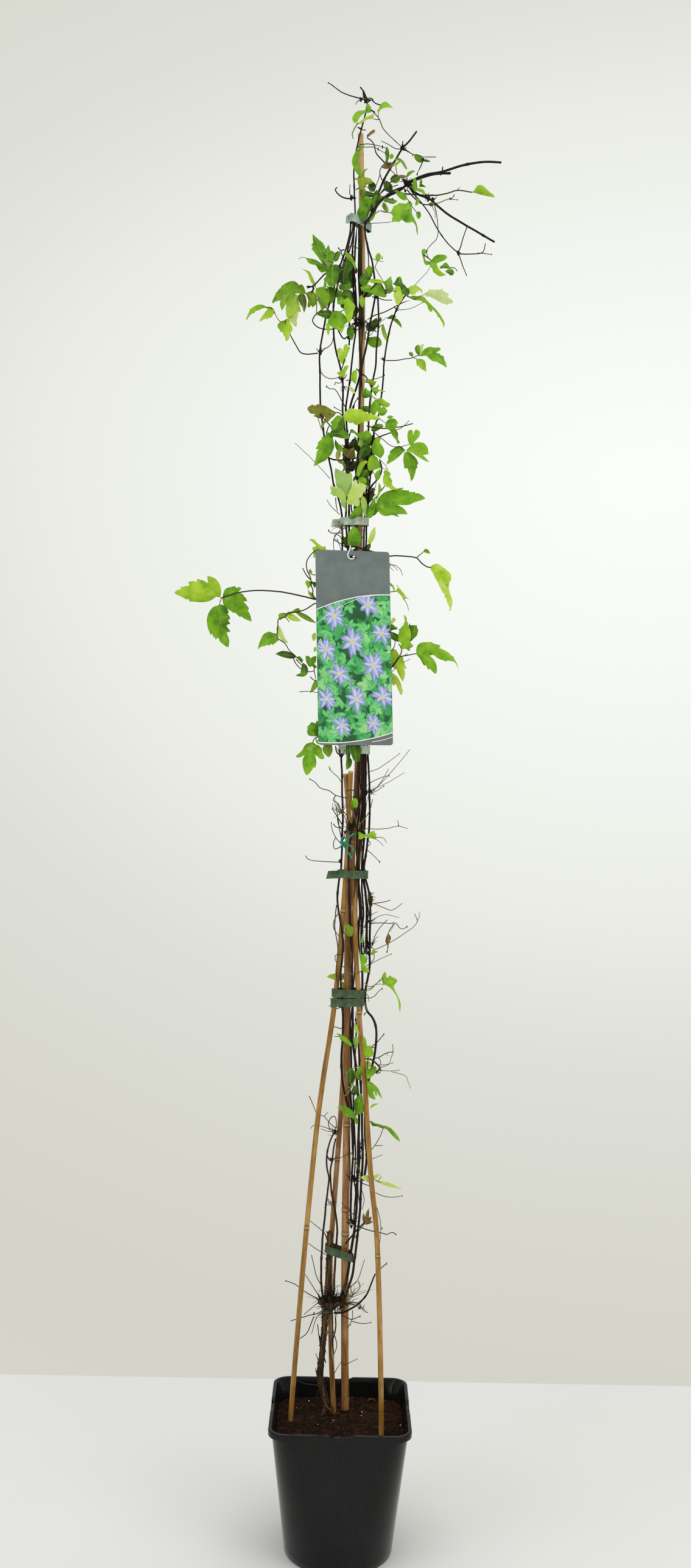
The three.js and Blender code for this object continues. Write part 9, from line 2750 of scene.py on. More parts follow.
# ---- twigs, tendrils, buds ----------------------------------------------------------------------
# Each line is a finish, a radius and the points (x, z) on the elevation. An end that meets a shoot or an
# earlier twig takes its depth from there. Buds are (x, z, radius, finish), knots (x, z, radius), and tufts
# (x, z, width, number, length, finish, turn from upright in degrees).
TWIGS = {
    "low_twigs": {
        "lines": (
            ("brown", 1.3, -27.5, 352, -26.5, 344, -23, 336), ("brown", 1.4, -11, 355, -12, 345, -14, 336),
             ("dark", 1.5, 1, 350, -3, 342, -8, 336),
            ("dark", 1.4, 5, 348, 3, 341, -1, 334), ("brown", 0.8, -20, 320, -24, 300, -26, 275, -24, 250,
             -27, 225), ("dark", 0.8, -9, 322, -8, 300, -12, 280, -9, 262),
            ("brown", 0.7, -14, 318, -12, 296, -15, 270, -11, 245, -13, 215),
            ("brown", 0.4, -62, 228, -50, 224, -36, 222, -26, 222), ("dark", 0.55, -78, 364, -68, 361, -58,
             355, -50, 349, -30, 338),
            ("dark", 0.5, -43, 400, -35, 370, -28, 357), ("dark", 0.5, -51, 373, -37, 352, -30, 342),
            ("dark", 0.45, -52, 318, -36, 332, -29, 337), ("dark", 0.55, -70, 309, -42, 318, -36, 319, -26,
             324),
            ("dark", 0.55, -57, 285, -48, 292, -38, 316), ("dark", 0.45, -41, 292, -34, 315, -27, 322),
            ("brown", 0.55, -33, 305, -28, 268), ("brown", 0.6, -13, 322, -12, 300, -6, 277, -9, 266),
            ("dark", 0.55, 0, 318, 13, 313, 25, 317), ("dark", 0.45, 13, 310, 30, 307, 40, 309),
            ("dark", 0.45, 15, 325, 14, 312, 9, 302), ("brown", 0.55, 0, 332, 10, 335, 22, 335, 30, 325, 36,
             322),
            ("dark", 0.45, 9, 355, 20, 366, 30, 395), ("green", 0.6, 10, 342, 24, 356, 22, 365),
            ("brown", 0.45, -35, 265, -30, 255), ("brown", 0.45, 1, 255, -4, 247, -9, 238), ("brown", 0.4,
             5, 251, 13, 254, 23, 259),
            ("dark", 0.6, 44, 374, 52, 383, 60, 390), ("brown", 0.5, -22, 222, -30, 214, -33, 204),
            ("brown", 0.5, -47, 448, -36, 439, -25, 430), ("brown", 0.45, -48, 416, -36, 408, -24, 401),
            ("dark", 0.55, 17, 424, 20, 432, 29, 444), ("brown", 0.6, 17, 441, 40, 434, 52, 432, 60, 430,
             67, 433, 72, 430),
            ("straw", 0.45, 46, 466, 51, 445, 51, 430, 50, 415), ("brown", 0.45, 22, 495, 28, 478, 25, 463),
            ("brown", 0.45, -3, 472, 6, 463, 14, 456), ("straw", 0.45, 43, 487, 52, 483, 65, 481, 80, 483),
            ("brown", 0.6, 10, 512, 24, 500, 35, 496), ("green", 0.75, 9, 541, 17, 526, 22, 513, 23, 507),
            ("brown", 0.45, -22, 533, -8, 533, 9, 541), ("brown", 0.5, 28, 538, 38, 547, 49, 566, 52, 575),
            ("brown", 0.45, 42, 551, 52, 552), ("straw", 0.4, 30, 531, 40, 534, 52, 539), ("straw", 0.4,
             -33, 573, -24, 570, -14, 569),
            ("brown", 0.55, -12, 574, -14, 590, -19, 589, -23, 580, -20, 573, -13, 569), ("straw", 0.45, 34,
             501, 27, 505, 23, 509),
            ("straw", 0.4, 51, 509, 46, 503, 43, 502), ("green", 0.5, -47, 573, -44, 577, -40, 578, -30,
             576, -14, 570)),
        "buds": ((-38, 320, 1.7, "dark"), (9, 302, 1.3, "dark"), (12, 305, 1.1, "dark"), (60, 390, 1.3,
         "dark"), (53, 438, 1.4, "brown"),
                 (72, 430, 1.1, "brown"), (23, 507, 1.5, "green"), (52, 575, 1.1, "brown"), (-78, 364, 1.0,
                  "dark"), (80, 483, 1.0, "straw"),
                 (25, 317, 1.3, "dark"), (40, 309, 1.1, "dark")),
        "tufts": ((-14, 337, 12, 60, 12, "dark", 0), (-13, 330, 12, 46, 10, "dark", 175), (-16, 336, 9, 46,
         27, "dark", 0), (-22, 332, 6, 14, 24, "brown", -70), (4, 334, 6, 16, 24, "brown", 75), (-20, 322,
         5, 14, 24, "straw", 185),
                  (-14, 338, 6, 22, 17, "dark", 20), (10, 345, 5, 12, 34, "straw", 25), (12, 505, 4, 20, 13,
                   "dark", 0), (18, 532, 3, 14, 11, "dark", 20),
                  (12, 444, 4, 18, 13, "dark", -10), (-14, 566, 3, 9, 12, "brown", -20), (-20, 470, 3, 8,
                   12, "brown", 10), (20, 552, 3, 8, 10, "brown", 60),
                  (26, 328, 4, 10, 9, "dark", 60)),
        "knots": ((-13, 570, 2.6), (-17, 530, 2.5), (14, 503, 3.0), (19, 530, 2.6), (13, 446, 3.0), (-28,
         337, 5.5), (-22, 331, 5.0), (-16, 337, 5.2),
                  (-10, 331, 4.6), (-5, 338, 4.2), (-1, 332, 3.6), (23, 548, 2.2), (18, 515, 3.0), (20, 540,
                   2.6), (11, 440, 2.4), (16, 495, 2.4))},
    "lower_twigs": {
        "lines": (
            ("dark", 1.2, 6, 740, 5, 715, 6, 690, 7, 660, 6, 630, 8, 600, 10, 560, 12, 520), ("brown", 0.9,
             2, 735, 4, 700, 2, 670, 5, 640, 9, 600, 10, 575),
            ("dark", 1.0, 10, 640, 11, 610, 13, 570, 15, 540, 14, 510, 16, 480), ("dark", 1.0, 17, 560, 18,
             530, 17, 500, 15, 470, 13, 440),
            ("brown", 0.8, 5, 640, 3, 600, 6, 560, 8, 520, 7, 490), ("dark", 0.9, 12, 735, 13, 700, 12, 670,
             15, 640, 17, 610),
            ("brown", 0.7, 20, 560, 21, 530, 19, 500, 21, 470),
            ("straw", 0.5, -50, 618, -45, 607, -40, 595), ("brown", 0.5, -34, 592, -29, 590, -20, 580, -12,
             574),
            ("brown", 0.4, -29, 590, -24, 596), ("brown", 0.45, -17, 700, -13, 700, -6, 698.5),
            ("brown", 0.6, -19, 716, -17, 713, -14, 712.5, -10, 711, -5, 712), ("dark", 0.55, 34, 686, 40,
             691, 46, 698, 51, 704),
            ("brown", 1.2, 26, 670, 34, 669, 42, 663, 46, 658, 41, 652, 36, 653), ("brown", 0.6, 38, 671,
             44, 672, 52, 677, 58, 679.5, 65, 679.5),
            ("brown", 0.5, 44, 672, 47, 667.5, 47, 662), ("brown", 0.4, 56, 678.5, 56.5, 675), ("straw",
             0.45, 62.5, 691, 64, 685, 63, 679.5),
            ("brown", 0.4, 64, 678, 61, 671, 60, 665), ("straw", 0.45, 44, 662, 50, 662, 58, 663.5, 65,
             665.5),
            ("straw", 0.45, 46, 658, 55, 661, 60, 664), ("straw", 0.4, 43, 655, 60, 654, 74, 655.5),
             ("brown", 0.6, 41, 650.5, 46, 651, 48, 655, 46, 658),
            ("straw", 0.35, 62, 653, 75, 650, 82, 647, 85, 640, 89, 630), ("brown", 0.5, 22, 754, 30, 753.5,
             37, 756, 43, 763, 47.5, 766.5),
            ("straw", 0.45, 23, 760, 28, 757, 30, 748), ("green", 0.7, 21, 752, 25, 743, 27, 736, 24, 731),
            ("brown", 0.5, -25, 742, -16, 738, -8, 740), ("brown", 0.5, -60, 946, -57, 942, -30, 939, -14,
             939),
            ("green", 0.65, -20, 972, -23, 965, -21, 957, -13, 960, -10, 966), ("straw", 0.6, -15, 868, -20,
             858, -20, 848, -12, 836),
            ("straw", 0.55, -9, 846, -4, 838, 2, 822, 5, 806, 3, 795), ("brown", 0.5, -7, 812, -17, 811,
             -17, 804, -15, 800.5),
            ("straw", 0.6, -10, 797, -5, 795, 0, 790, 5, 786, 10, 786, 17, 789, 24, 796, 29, 800), ("brown",
             0.5, 12, 986, 30, 985, 50, 986, 60, 988.5, 66, 990),
            ("brown", 0.4, 66, 990, 65, 997.5), ("brown", 0.4, 66, 990, 72, 988, 78.5, 986.5), ("green",
             0.6, 22, 972, 28, 965, 23, 960),
            ("straw", 0.5, 24, 956, 33, 948, 41, 940), ("brown", 0.6, 29, 882, 34, 883, 51, 886, 57, 888),
             ("straw", 0.5, 34, 883, 46, 878, 58, 874, 64, 877, 73, 884),
            ("straw", 0.4, 30, 866, 35, 870, 40, 872), ("straw", 0.4, 31, 859, 40, 865, 52, 868, 69, 864),
            ("brown", 0.55, 30, 856, 48, 856.5, 57, 856, 62, 857, 66, 855, 70, 850, 75, 849, 80, 852),
             ("brown", 0.5, 32, 824, 38, 842, 48, 856, 53, 861),
            ("straw", 0.45, 33, 825, 38, 836, 41, 838), ("brown", 0.4, 61, 857, 60, 850, 56, 845, 54, 843),
            ("straw", 0.5, 33, 818, 50, 826, 70, 838, 90, 853, 94, 860, 90, 870), ("straw", 0.35, 94, 860,
             97, 867, 96, 873),
            ("straw", 0.45, 30, 799, 40, 805, 50, 810, 59, 814), ("brown", 0.5, 31, 801, 35, 806, 36, 812,
             33, 815, 30, 815),
            ("brown", 0.5, -10, 744, -18, 750, -24, 752), ("straw", 0.4, 52, 816, 54, 820, 55, 830)),
        "buds": ((24, 731, 1.5, "green"), (51, 704, 1.2, "dark"), (41, 940, 1.4, "straw"), (80, 852, 1.3,
         "brown"), (66, 990, 1.2, "brown"),
                 (47.5, 766.5, 1.2, "brown"), (59, 814, 1.0, "straw"), (-60, 946, 1.0, "brown"), (28, 885,
                  3.4, "brown"), (31, 889, 3.2, "brown"),
                 (27, 891, 3.0, "green"), (31, 882, 2.6, "brown"), (29, 896, 2.6, "brown")),
        "tufts": ((29, 887, 3, 22, 9, "brown", 20), (28, 858, 3, 12, 10, "brown", 60), (24, 822, 4, 16, 12,
         "dark", 60)),
        "knots": ((28, 815, 2.6), (-13, 940, 2.3), (29, 884, 2.4), (12, 723, 2.0), (-11, 742, 2.0), (28,
         858, 1.8))},
    "middle_twigs": {
        "lines": (
            ("brown", 0.6, -57, 1052, -50, 1048, -42, 1040, -30, 1036.5, -22, 1031, -12, 1028, -6, 1027, 10,
             1030),
            ("green", 0.55, -31, 1070, -29.3, 1066.5, -24, 1060, -18, 1055, -13, 1048), ("dark", 0.7, -25,
             1012, -18, 1001, -11, 990),
            ("dark", 0.6, -18, 1003, -16, 990, -11, 984), ("brown", 0.6, -20, 1017, -18, 1004, -15, 985,
             -11, 966),
            ("brown", 0.5, -26, 992, -25, 984, -20, 973, -12, 964), ("dark", 0.55, -23, 991, -20, 987, -11,
             985),
            ("straw", 0.65, -24, 1024, -18, 1019, -13, 1010, -9, 1003, -5, 993), ("straw", 0.6, -5.5, 1036,
             -3, 1030, 1, 1021, 2.5, 1010, 6, 1000),
            ("straw", 0.6, -4, 1016, 0, 1014, 4, 1006, 7, 998, 8, 991), ("brown", 0.6, -12, 1011, -6, 1004,
             -2, 996, 1, 990),
            ("brown", 0.7, -6, 1036.5, 0, 1038, 6, 1036, 9, 1028), ("brown", 0.6, 14, 1028, 8, 1027, 3,
             1026),
            ("straw", 0.6, 12, 990, 20, 1000, 26, 1010, 30, 1026), ("straw", 0.45, 24, 1063, 35, 1067, 50,
             1077, 66, 1089),
            ("straw", 0.4, 28, 1038, 33, 1040, 60, 1070, 80, 1095), ("straw", 0.4, 28, 1038, 50, 1049, 73,
             1063),
            ("brown", 0.45, 26, 1048, 35, 1053, 45, 1057, 52, 1058), ("brown", 0.45, 28, 1034, 38, 1039, 45,
             1044),
            ("green", 0.45, 28, 1035, 40, 1048, 51, 1068), ("green", 0.9, -22, 1097, -21, 1091, -18, 1087,
             -14, 1086),
            ("brown", 0.7, -13, 1095, -17, 1089, -16, 1083), ("brown", 0.5, -11, 966, -8, 975, -5, 982, -1,
             986),
            ("dark", 1.2, 12, 905, 11, 930, 9.5, 955, 10, 985, 12, 1010, 10, 1040, 9, 1080, 9, 1097),
            ("brown", 0.9, 6, 890, 8, 925, 11, 960, 8, 990, 6, 1010, 3, 1026), ("dark", 0.9, 14, 900, 13,
             935, 10, 960, 13, 990, 16, 1020, 12, 1050, 11, 1090),
            ("brown", 0.8, 24, 905, 20, 935, 16, 965, 19, 995, 23, 1030),
            ("dark", 1.25, 12, 921, 13, 900, 15, 870, 14, 845, 15, 822, 17, 805), ("dark", 1.1, 16, 921, 18,
             895, 20, 870, 19, 845, 21, 825, 22, 812),
            ("dark", 1.2, 20, 921, 23, 890, 25, 865, 24, 835, 25, 815, 27, 806), ("brown", 1.0, 9, 921, 10,
             890, 11, 860, 10, 830, 9, 790, 8, 755),
            ("dark", 1.1, 13, 865, 12, 830, 13, 800, 12, 770, 11, 752), ("brown", 0.7, 22, 900, 27, 870, 24,
             845, 28, 820),
            ("brown", 0.6, -17, 880, -19, 850, -14, 820, -16, 790, -12, 760)),
        "tufts": ((1, 986, 5, 22, 17, "dark", 0), (23, 1035, 3, 10, 16, "brown", 40), (26, 826, 3, 16, 15,
         "dark", 25), (24, 815, 3, 8, 12, "brown", -20),
                  (27, 893, 2.5, 9, 13, "brown", 60), (-13, 1006, 3, 12, 26, "straw", -25), (20, 850, 3, 10,
                   12, "dark", 10), (-7, 1092, 3, 8, 10, "dark", 160)),
        "buds": ((-29.3, 1066.5, 1.6, "green"), (52, 1058, 1.1, "brown"), (45, 1044, 1.0, "brown"), (-26,
         992, 1.3, "dark"), (66, 1089, 0.8, "straw"),
                 (-25, 1012, 1.3, "dark"), (-57, 1052, 1.0, "brown")),
        "knots": ((0, 986, 3.2), (6, 989, 2.6), (21, 1034, 2.8), (27, 1036, 2.2), (-16, 1090, 3.0), (-13,
         1085, 2.4), (-7, 980, 2.2))},
    "upper_twigs": {
        "lines": (
            ("brown", 1.3, 0.5, 1812, 1, 1790, 1.6, 1760, 2.6, 1730, 4, 1700, 4.5, 1668), ("brown", 1.0,
             3.5, 1728, 5, 1700, 6, 1675, 4, 1645, 5, 1610, 3, 1580),
            ("dark", 0.9, -2, 1690, 1.5, 1660, 2, 1630, 5, 1600, 6, 1575),
            ("brown", 1.45, -0.5, 1812, -1.4, 1776.7, -1.5, 1745.6, 0.3, 1714.6, 2.1, 1686.6, 3.8, 1658.6),
             ("straw", 0.8, 4.5, 1809, 11.2, 1767.6, 11, 1745.8, 7.1, 1720.9, 5.5, 1702),
            ("dark", 1.0, -8, 1810, -15, 1776.5, -23.4, 1757.7, -27.8, 1742), ("dark", 1.2, -5.4, 1811,
             -7.5, 1770, -7.7, 1745.5, -5.4, 1720.7, -3.7, 1695.8, -4.5, 1667.8),
            ("dark", 1.3, -8, 1532, -12.5, 1513, -4.4, 1494.6, -13.4, 1475.8), ("brown", 1.5, 1.3, 1527,
             3.2, 1504, -1, 1476, 4.1, 1451, 2.2, 1420),
            ("dark", 1.2, 12, 1532, 15.6, 1510.5, 12.9, 1482.5, 18, 1451.5, 17, 1420), ("brown", 1.2, -4.6,
             1451, -7.4, 1435.5, -4.5, 1414),
            ("brown", 1.1, -12.2, 1532, -13.7, 1513, -11.4, 1488, -11.6, 1463), ("green", 0.5, -14, 1380,
             -6, 1389, 4, 1390, 8, 1380),
            ("dark", 0.6, -37, 1393, -33, 1389.5, -18, 1390), ("dark", 0.6, -30, 1380, -20, 1375, -11, 1369),
            ("straw", 0.6, -29, 1366, -30, 1377, -28, 1385, -18, 1395, -9, 1399), ("brown", 0.5, -18, 1380,
             -22, 1386, -28, 1387, -28, 1381, -23, 1379),
            ("brown", 0.5, -25, 1382, -19, 1366), ("straw", 0.4, -85, 1512, -60, 1489, -36, 1464), ("straw",
             0.45, -40, 1435, -33, 1425, -22, 1415),
            ("brown", 0.6, -28, 1438, -27, 1428, -25, 1420), ("dark", 1.0, -38, 1492, -30, 1490, -15, 1490,
             0, 1493),
            ("straw", 0.7, 0, 1487, 5, 1494, 10, 1499, 11, 1507, 14, 1512), ("brown", 0.7, 17, 1455, 18,
             1448, 24, 1445),
            ("brown", 0.5, 18, 1453, 27, 1450), ("brown", 0.5, 18, 1443, 28, 1443), ("dark", 0.55, -43,
             1590, -38, 1587, -32, 1586.5, -20, 1568, -15, 1560),
            ("straw", 0.6, -53, 1612, -46, 1604, -38, 1601, -30, 1602, -23, 1604), ("brown", 0.5, -32, 1562,
             -27, 1559, -20, 1556),
            ("dark", 0.7, -6, 1561, -4, 1569, 0, 1574.5), ("brown", 0.5, -32, 1592, -31, 1596, -27, 1595,
             -22, 1596),
            ("brown", 0.5, -17, 1599, -10, 1599, -4, 1598), ("dark", 0.8, 22, 1519, 35, 1524, 50, 1530),
             ("dark", 0.85, 5, 1608, 10, 1605, 15, 1597, 19, 1588, 25, 1579),
            ("brown", 0.5, 9, 1600, 20, 1601, 30, 1604, 36, 1607), ("brown", 0.75, -14, 1674, -22, 1673,
             -30, 1670, -46, 1668.5, -58, 1672, -64, 1680, -60, 1688, -50, 1696, -42, 1702),
            ("straw", 0.6, -52, 1638, -38, 1648, -35, 1658), ("dark", 1.0, -34, 1683, -31, 1675, -27, 1665,
             -22, 1657, -19.5, 1656, -16, 1659),
            ("dark", 0.8, -5, 1678, -10, 1676, -7, 1672, -7, 1664, -10, 1659, -13, 1658), ("dark", 1.2,
             -13.3, 1678, -13, 1662, -13, 1647),
            ("green", 0.6, -33, 1692.5, -27, 1692.5, -21, 1696, -14, 1703), ("green", 0.5, -27, 1692.5, -20,
             1688),
            ("dark", 0.8, 8, 1681, 12, 1677, 17, 1672, 24, 1666), ("brown", 0.7, 9, 1681, 20, 1688, 28,
             1691, 40, 1696, 50, 1702, 62, 1708, 70, 1710),
            ("brown", 0.6, 5, 1714, 14, 1722, 20, 1730), ("dark", 0.6, 17, 1714, 24, 1713, 35, 1710, 45,
             1710), ("straw", 0.4, 50, 1696, 70, 1699, 88, 1708),
            ("brown", 0.6, -72, 1726, -66, 1727, -54, 1738, -48, 1745, -38, 1749, -28, 1746), ("dark", 0.7,
             -22, 1778, -27, 1777, -30, 1780),
            ("dark", 0.6, -27, 1777, -24, 1768, -22, 1760), ("dark", 0.9, -30, 1754, -27, 1758, -24, 1765),
             ("brown", 0.6, 1, 1440, 6, 1448, 9, 1456),
            ("straw", 0.5, -12, 1508, -5, 1515, 1, 1520), ("brown", 0.6, -19, 1780, -12, 1783, -3, 1780)),
        "tufts": ((4, 1678, 3, 18, 9, "dark", 180), (-14, 1500, 5, 18, 12, "dark", 0), (-4, 1677, 4, 12, 12,
         "dark", 0), (-20, 1762, 3, 7, 10, "dark", 10), (2, 1516, 4, 8, 12, "brown", 0),
                  (-18, 1590, 2.5, 6, 9, "dark", 180), (17, 1450, 3, 9, 10, "brown", 60), (-18, 1398, 4, 12,
                   16, "straw", -60), (0, 1392, 4, 9, 12, "straw", 30)),
        "buds": ((-37, 1393, 1.2, "dark"), (-30, 1380, 1.0, "dark"), (-43, 1590, 1.4, "dark"), (0, 1574.5,
         1.5, "dark"), (23.5, 1449, 3.4, "straw"),
                 (36, 1607, 1.0, "brown"), (-30, 1780, 1.3, "dark"), (88, 1708, 0.9, "straw"), (-32, 1562,
                  1.1, "brown"), (-64, 1680, 0.9, "brown")),
        "knots": ((4.5, 1721, 2.4), (4, 1675, 2.6), (-52.5, 1637, 3.6), (-21.9, 1600, 3.4), (-14.5, 1658,
         2.6), (-5, 1668, 3.2), (-4, 1682, 3.6), (-2, 1676, 3.0), (2.1, 1611.7, 3.0), (35.2, 1628, 2.8),
                  (1.7, 1682, 2.8),
                  (51, 1697, 2.2), (23, 1714, 2.3), (-14, 1497, 3.6), (-8, 1503, 3.0), (-16, 1508, 3.0),
                   (17, 1448, 2.6), (-6, 1562, 2.4), (-15, 1556, 2.4))},
    "top_twigs": {
        "lines": (
            ("dark", 0.7, -40, 2001, -30, 1994, -20, 1990, -10, 1987, 3, 1983.5), ("dark", 0.6, -48, 2006,
             -44, 2004, -40, 2001),
            ("dark", 1.1, 0.5, 1996, 1, 1990, 4, 1985), ("brown", 0.8, 8, 1981, 11, 1986, 13, 1985, 14,
             1981), ("brown", 0.5, -3, 1984, -8, 1981, -10, 1977),
            ("dark", 0.6, -7, 1946, -5, 1945, -2, 1943, 5, 1942.5), ("dark", 0.8, 7, 1931.5, 13, 1927.5, 17,
             1920, 19, 1912, 27, 1902, 38, 1892),
            ("brown", 0.5, -4, 1922, 8, 1923.5, 15, 1922.5, 25, 1920.5, 33, 1918), ("brown", 0.45, -6, 1919,
             3, 1919, 16, 1919, 22, 1916.5, 28, 1913, 33, 1911),
            ("brown", 0.5, 26, 1928, 36, 1923, 45, 1918, 54, 1917), ("dark", 0.8, 55, 1919, 55.5, 1928.5),
             ("brown", 0.55, 58, 1916, 64, 1913, 70, 1910),
            ("straw", 0.4, 73, 1909, 81, 1907, 101, 1907), ("brown", 0.45, 84, 1902, 82, 1896, 77, 1886, 76,
             1883), ("brown", 0.5, 46, 1896, 47, 1889, 49, 1881),
            ("dark", 0.6, 28, 1893, 25, 1888, 25, 1882, 28, 1874), ("dark", 0.5, 25, 1881, 20, 1867),
             ("brown", 0.5, 38, 1890, 45, 1883, 52, 1877),
            ("dark", 0.85, -11.2, 1848.5, -16.7, 1847.8, -26.5, 1850.1, -32.8, 1855.1, -35.7, 1859.9, -35,
             1861.8, -33, 1863), ("dark", 0.55, -13.3, 1851.3, -15.4, 1854, -15.7, 1866.5), ("brown", 0.6,
             -8, 1860, -3, 1863, 4, 1864),
            ("brown", 0.4, -4, 1815, 8, 1815, 20, 1815, 30, 1816, 42, 1817), ("brown", 0.4, 20, 1828, 25,
             1832, 33, 1830, 41, 1830),
            ("green", 0.6, 102, 1843, 110, 1846, 117, 1849, 123, 1850.5), ("brown", 0.4, 122, 1850, 132,
             1849), ("brown", 0.5, 123, 1850, 127, 1855),
            ("brown", 0.8, 63, 1861, 75, 1848, 85, 1842, 100, 1842), ("dark", 0.8, 111, 1894, 110, 1888,
             108, 1882), ("brown", 0.7, 134, 1778, 136, 1781, 140, 1795, 145, 1811),
            ("brown", 0.7, 136, 1775, 150, 1775, 168, 1778, 171, 1789), ("brown", 0.5, 160, 1776.5, 170,
             1776, 180, 1775), ("brown", 0.6, 135, 1774, 140, 1760, 146, 1746)),
        "tufts": ((62, 1870, 6, 12, 9, "dark", 20), (4, 1984, 3, 6, 8, "dark", 20), (92, 1850, 4, 6, 8,
         "brown", 100)),
        "buds": ((28, 1919.5, 1.9, "brown"), (22, 1916.5, 1.7, "brown"), (76, 1883, 1.7, "brown"), (127,
         1855, 1.5, "green"), (5, 1986, 2.0, "brown"),
                 (2.5, 1981, 1.8, "dark"), (7.5, 1982, 1.7, "brown"), (33, 1918, 1.0, "brown"), (101, 1907,
                  0.9, "straw"), (145, 1811, 1.2, "brown"),
                 (171, 1789, 1.2, "brown"), (180, 1775, 1.0, "brown"), (146, 1746, 1.1, "brown"), (132,
                  1849, 1.0, "brown"), (-15.7, 1866.5, 1.0, "brown"),
                 (-48, 2006, 1.1, "dark"), (49, 1881, 1.0, "brown"), (52, 1877, 1.0, "brown"), (20, 1867,
                  1.0, "dark")),
        "knots": ((-13.5, 1849, 3.0), (-3, 1984, 2.6), (4, 1983, 3.4), (55, 1919, 3.2), (64, 1869, 4.2),
         (60, 1872, 3.6), (68, 1866, 3.4), (92, 1850, 3.6), (98, 1848, 3.2), (88, 1853, 2.8), (38, 1893,
         3.0), (134.4, 1776, 2.8),
                  (57, 1917, 2.0), (-9, 1848, 2.0), (84, 1904, 1.8), (122, 1850, 1.6), (60, 1860, 2.2))},
}
REACH = 5.5
# A line this thick and this long is one of the shoots inside the bundle; a stout one lies a little behind.
INNER_RADIUS, INNER_RUN = 0.65, 60
STOUT_RADIUS, SET_BACK = 0.95, 2.4
# How far a loose twig may come forward, and how near a shoot must be for it to be joined on.
FARTHEST_FORWARD, JOIN_REACH = -13.0, 14


def carriers():
    """Points (x, z, y) along every shoot, the old wood and its knots, which twigs may grow from."""
    routes = [r for stem in STEMS.values() for r in [stem["route"], *stem.get("branches", [])]]
    routes += [OLD_WOOD["trunk"][2]]
    knots = [np.array([knot[:3], knot[:3]], float) for knot in OLD_WOOD["knots"]]
    return [even(smooth(r, 10), 2.0) for r in routes] + knots


def depth_at(held, x, z):
    """The depth of the foremost shoot within reach of an elevation point, or None."""
    near = [line[np.argmin(gap)] for line in held for gap in [np.hypot(line[:, 0] - x, line[:, 1] - z)]
            if gap.min() < REACH]
    return min(p[2] for p in near) if near else None


def nearest(held, x, z):
    """The point (x, z, y) of any shoot that is nearest to an elevation point."""
    found = [line[np.argmin(np.hypot(line[:, 0] - x, line[:, 1] - z))] for line in held]
    return min(found, key=lambda p: math.hypot(p[0] - x, p[1] - z))


def rough_joint(shape, x, z, y, radius, rng, seed):
    """A swollen joint with the dry pointed scales of its old buds standing round it."""
    shade = (rng.uniform(0.06, 0.26), 0, 0)
    lump(shape, place((x, z, y))[0], radius * 0.8 * MM, seed, shade, (0.75, 0.75, 1.45), 0.4)
    for k in range(5):
        turn = rng.uniform(0, 2 * math.pi)
        reach = radius * rng.uniform(1.3, 2.2)
        out, back = math.cos(turn) * reach * 0.9, math.sin(turn) * reach * 0.7 - radius * 0.3
        rise = rng.uniform(0.2, 1.1) * reach
        bend = (x + out * 0.6, z + rise * 0.4, y + back * 0.6)
        tip = (x + out, z + rise, y + back)
        stalk(shape, [(x, z - radius * 0.3, y), bend, tip], (0.26 * radius, 0.09 * radius),
              "dark" if k % 3 else "brown", 0.1, seed=seed + k)


def tuft(shape, held, spot, wide, count, length, tone, aim, rng):
    """Fine dead stalks that stand out round a joint, about a given turn from upright."""
    x, z = spot
    y = depth_at(held, x, z)
    y = nearest(held, x, z)[2] if y is None else y
    for k in range(count):
        turn = math.radians(aim) + rng.normal(0, 0.85)
        reach = length * rng.uniform(0.35, 1.0)
        foot = np.array([x + rng.uniform(-1, 1) * wide, z + rng.uniform(-0.5, 0.5) * wide,
                         y + rng.uniform(-0.4, 0.6) * wide])
        way = np.array([math.sin(turn), math.cos(turn), rng.uniform(-0.8, 0.6)]) * reach
        bend = rng.normal(size=3) * reach * 0.14
        girth = (rng.uniform(0.28, 0.55), 0.14)
        stalk(shape, [foot, foot + way * 0.5 + bend, foot + way], girth, tone, 0.2, seed=k)


def make_litter(level):
    """Pale grains and a curved chip of bark that lie on the potting mix."""
    shape = Shape()
    for i, (x, z, size) in enumerate(PALE_GRAINS):
        y = on_soil(z, level + 3)
        lump(shape, place((x, z, y))[0], size * 0.75 * MM, i + 2, (0, 1, 0), (1, 1, 0.7), 0.3)
    chip = [(x, z, on_soil(z - 2, level + 3)) for x, z in BARK_CHIP]
    line = even(smooth(chip, 8), 0.8)
    shape.path(place(line), np.linspace(1.1, 0.7, len(line)) * MM, (1, 0, 0))
    piece = new_object("soil_litter", shape.mesh("soil_litter"), [finish("soil")])
    return bake(use_tree(piece, sweep(), Sides=7, Bark=finish("soil")))


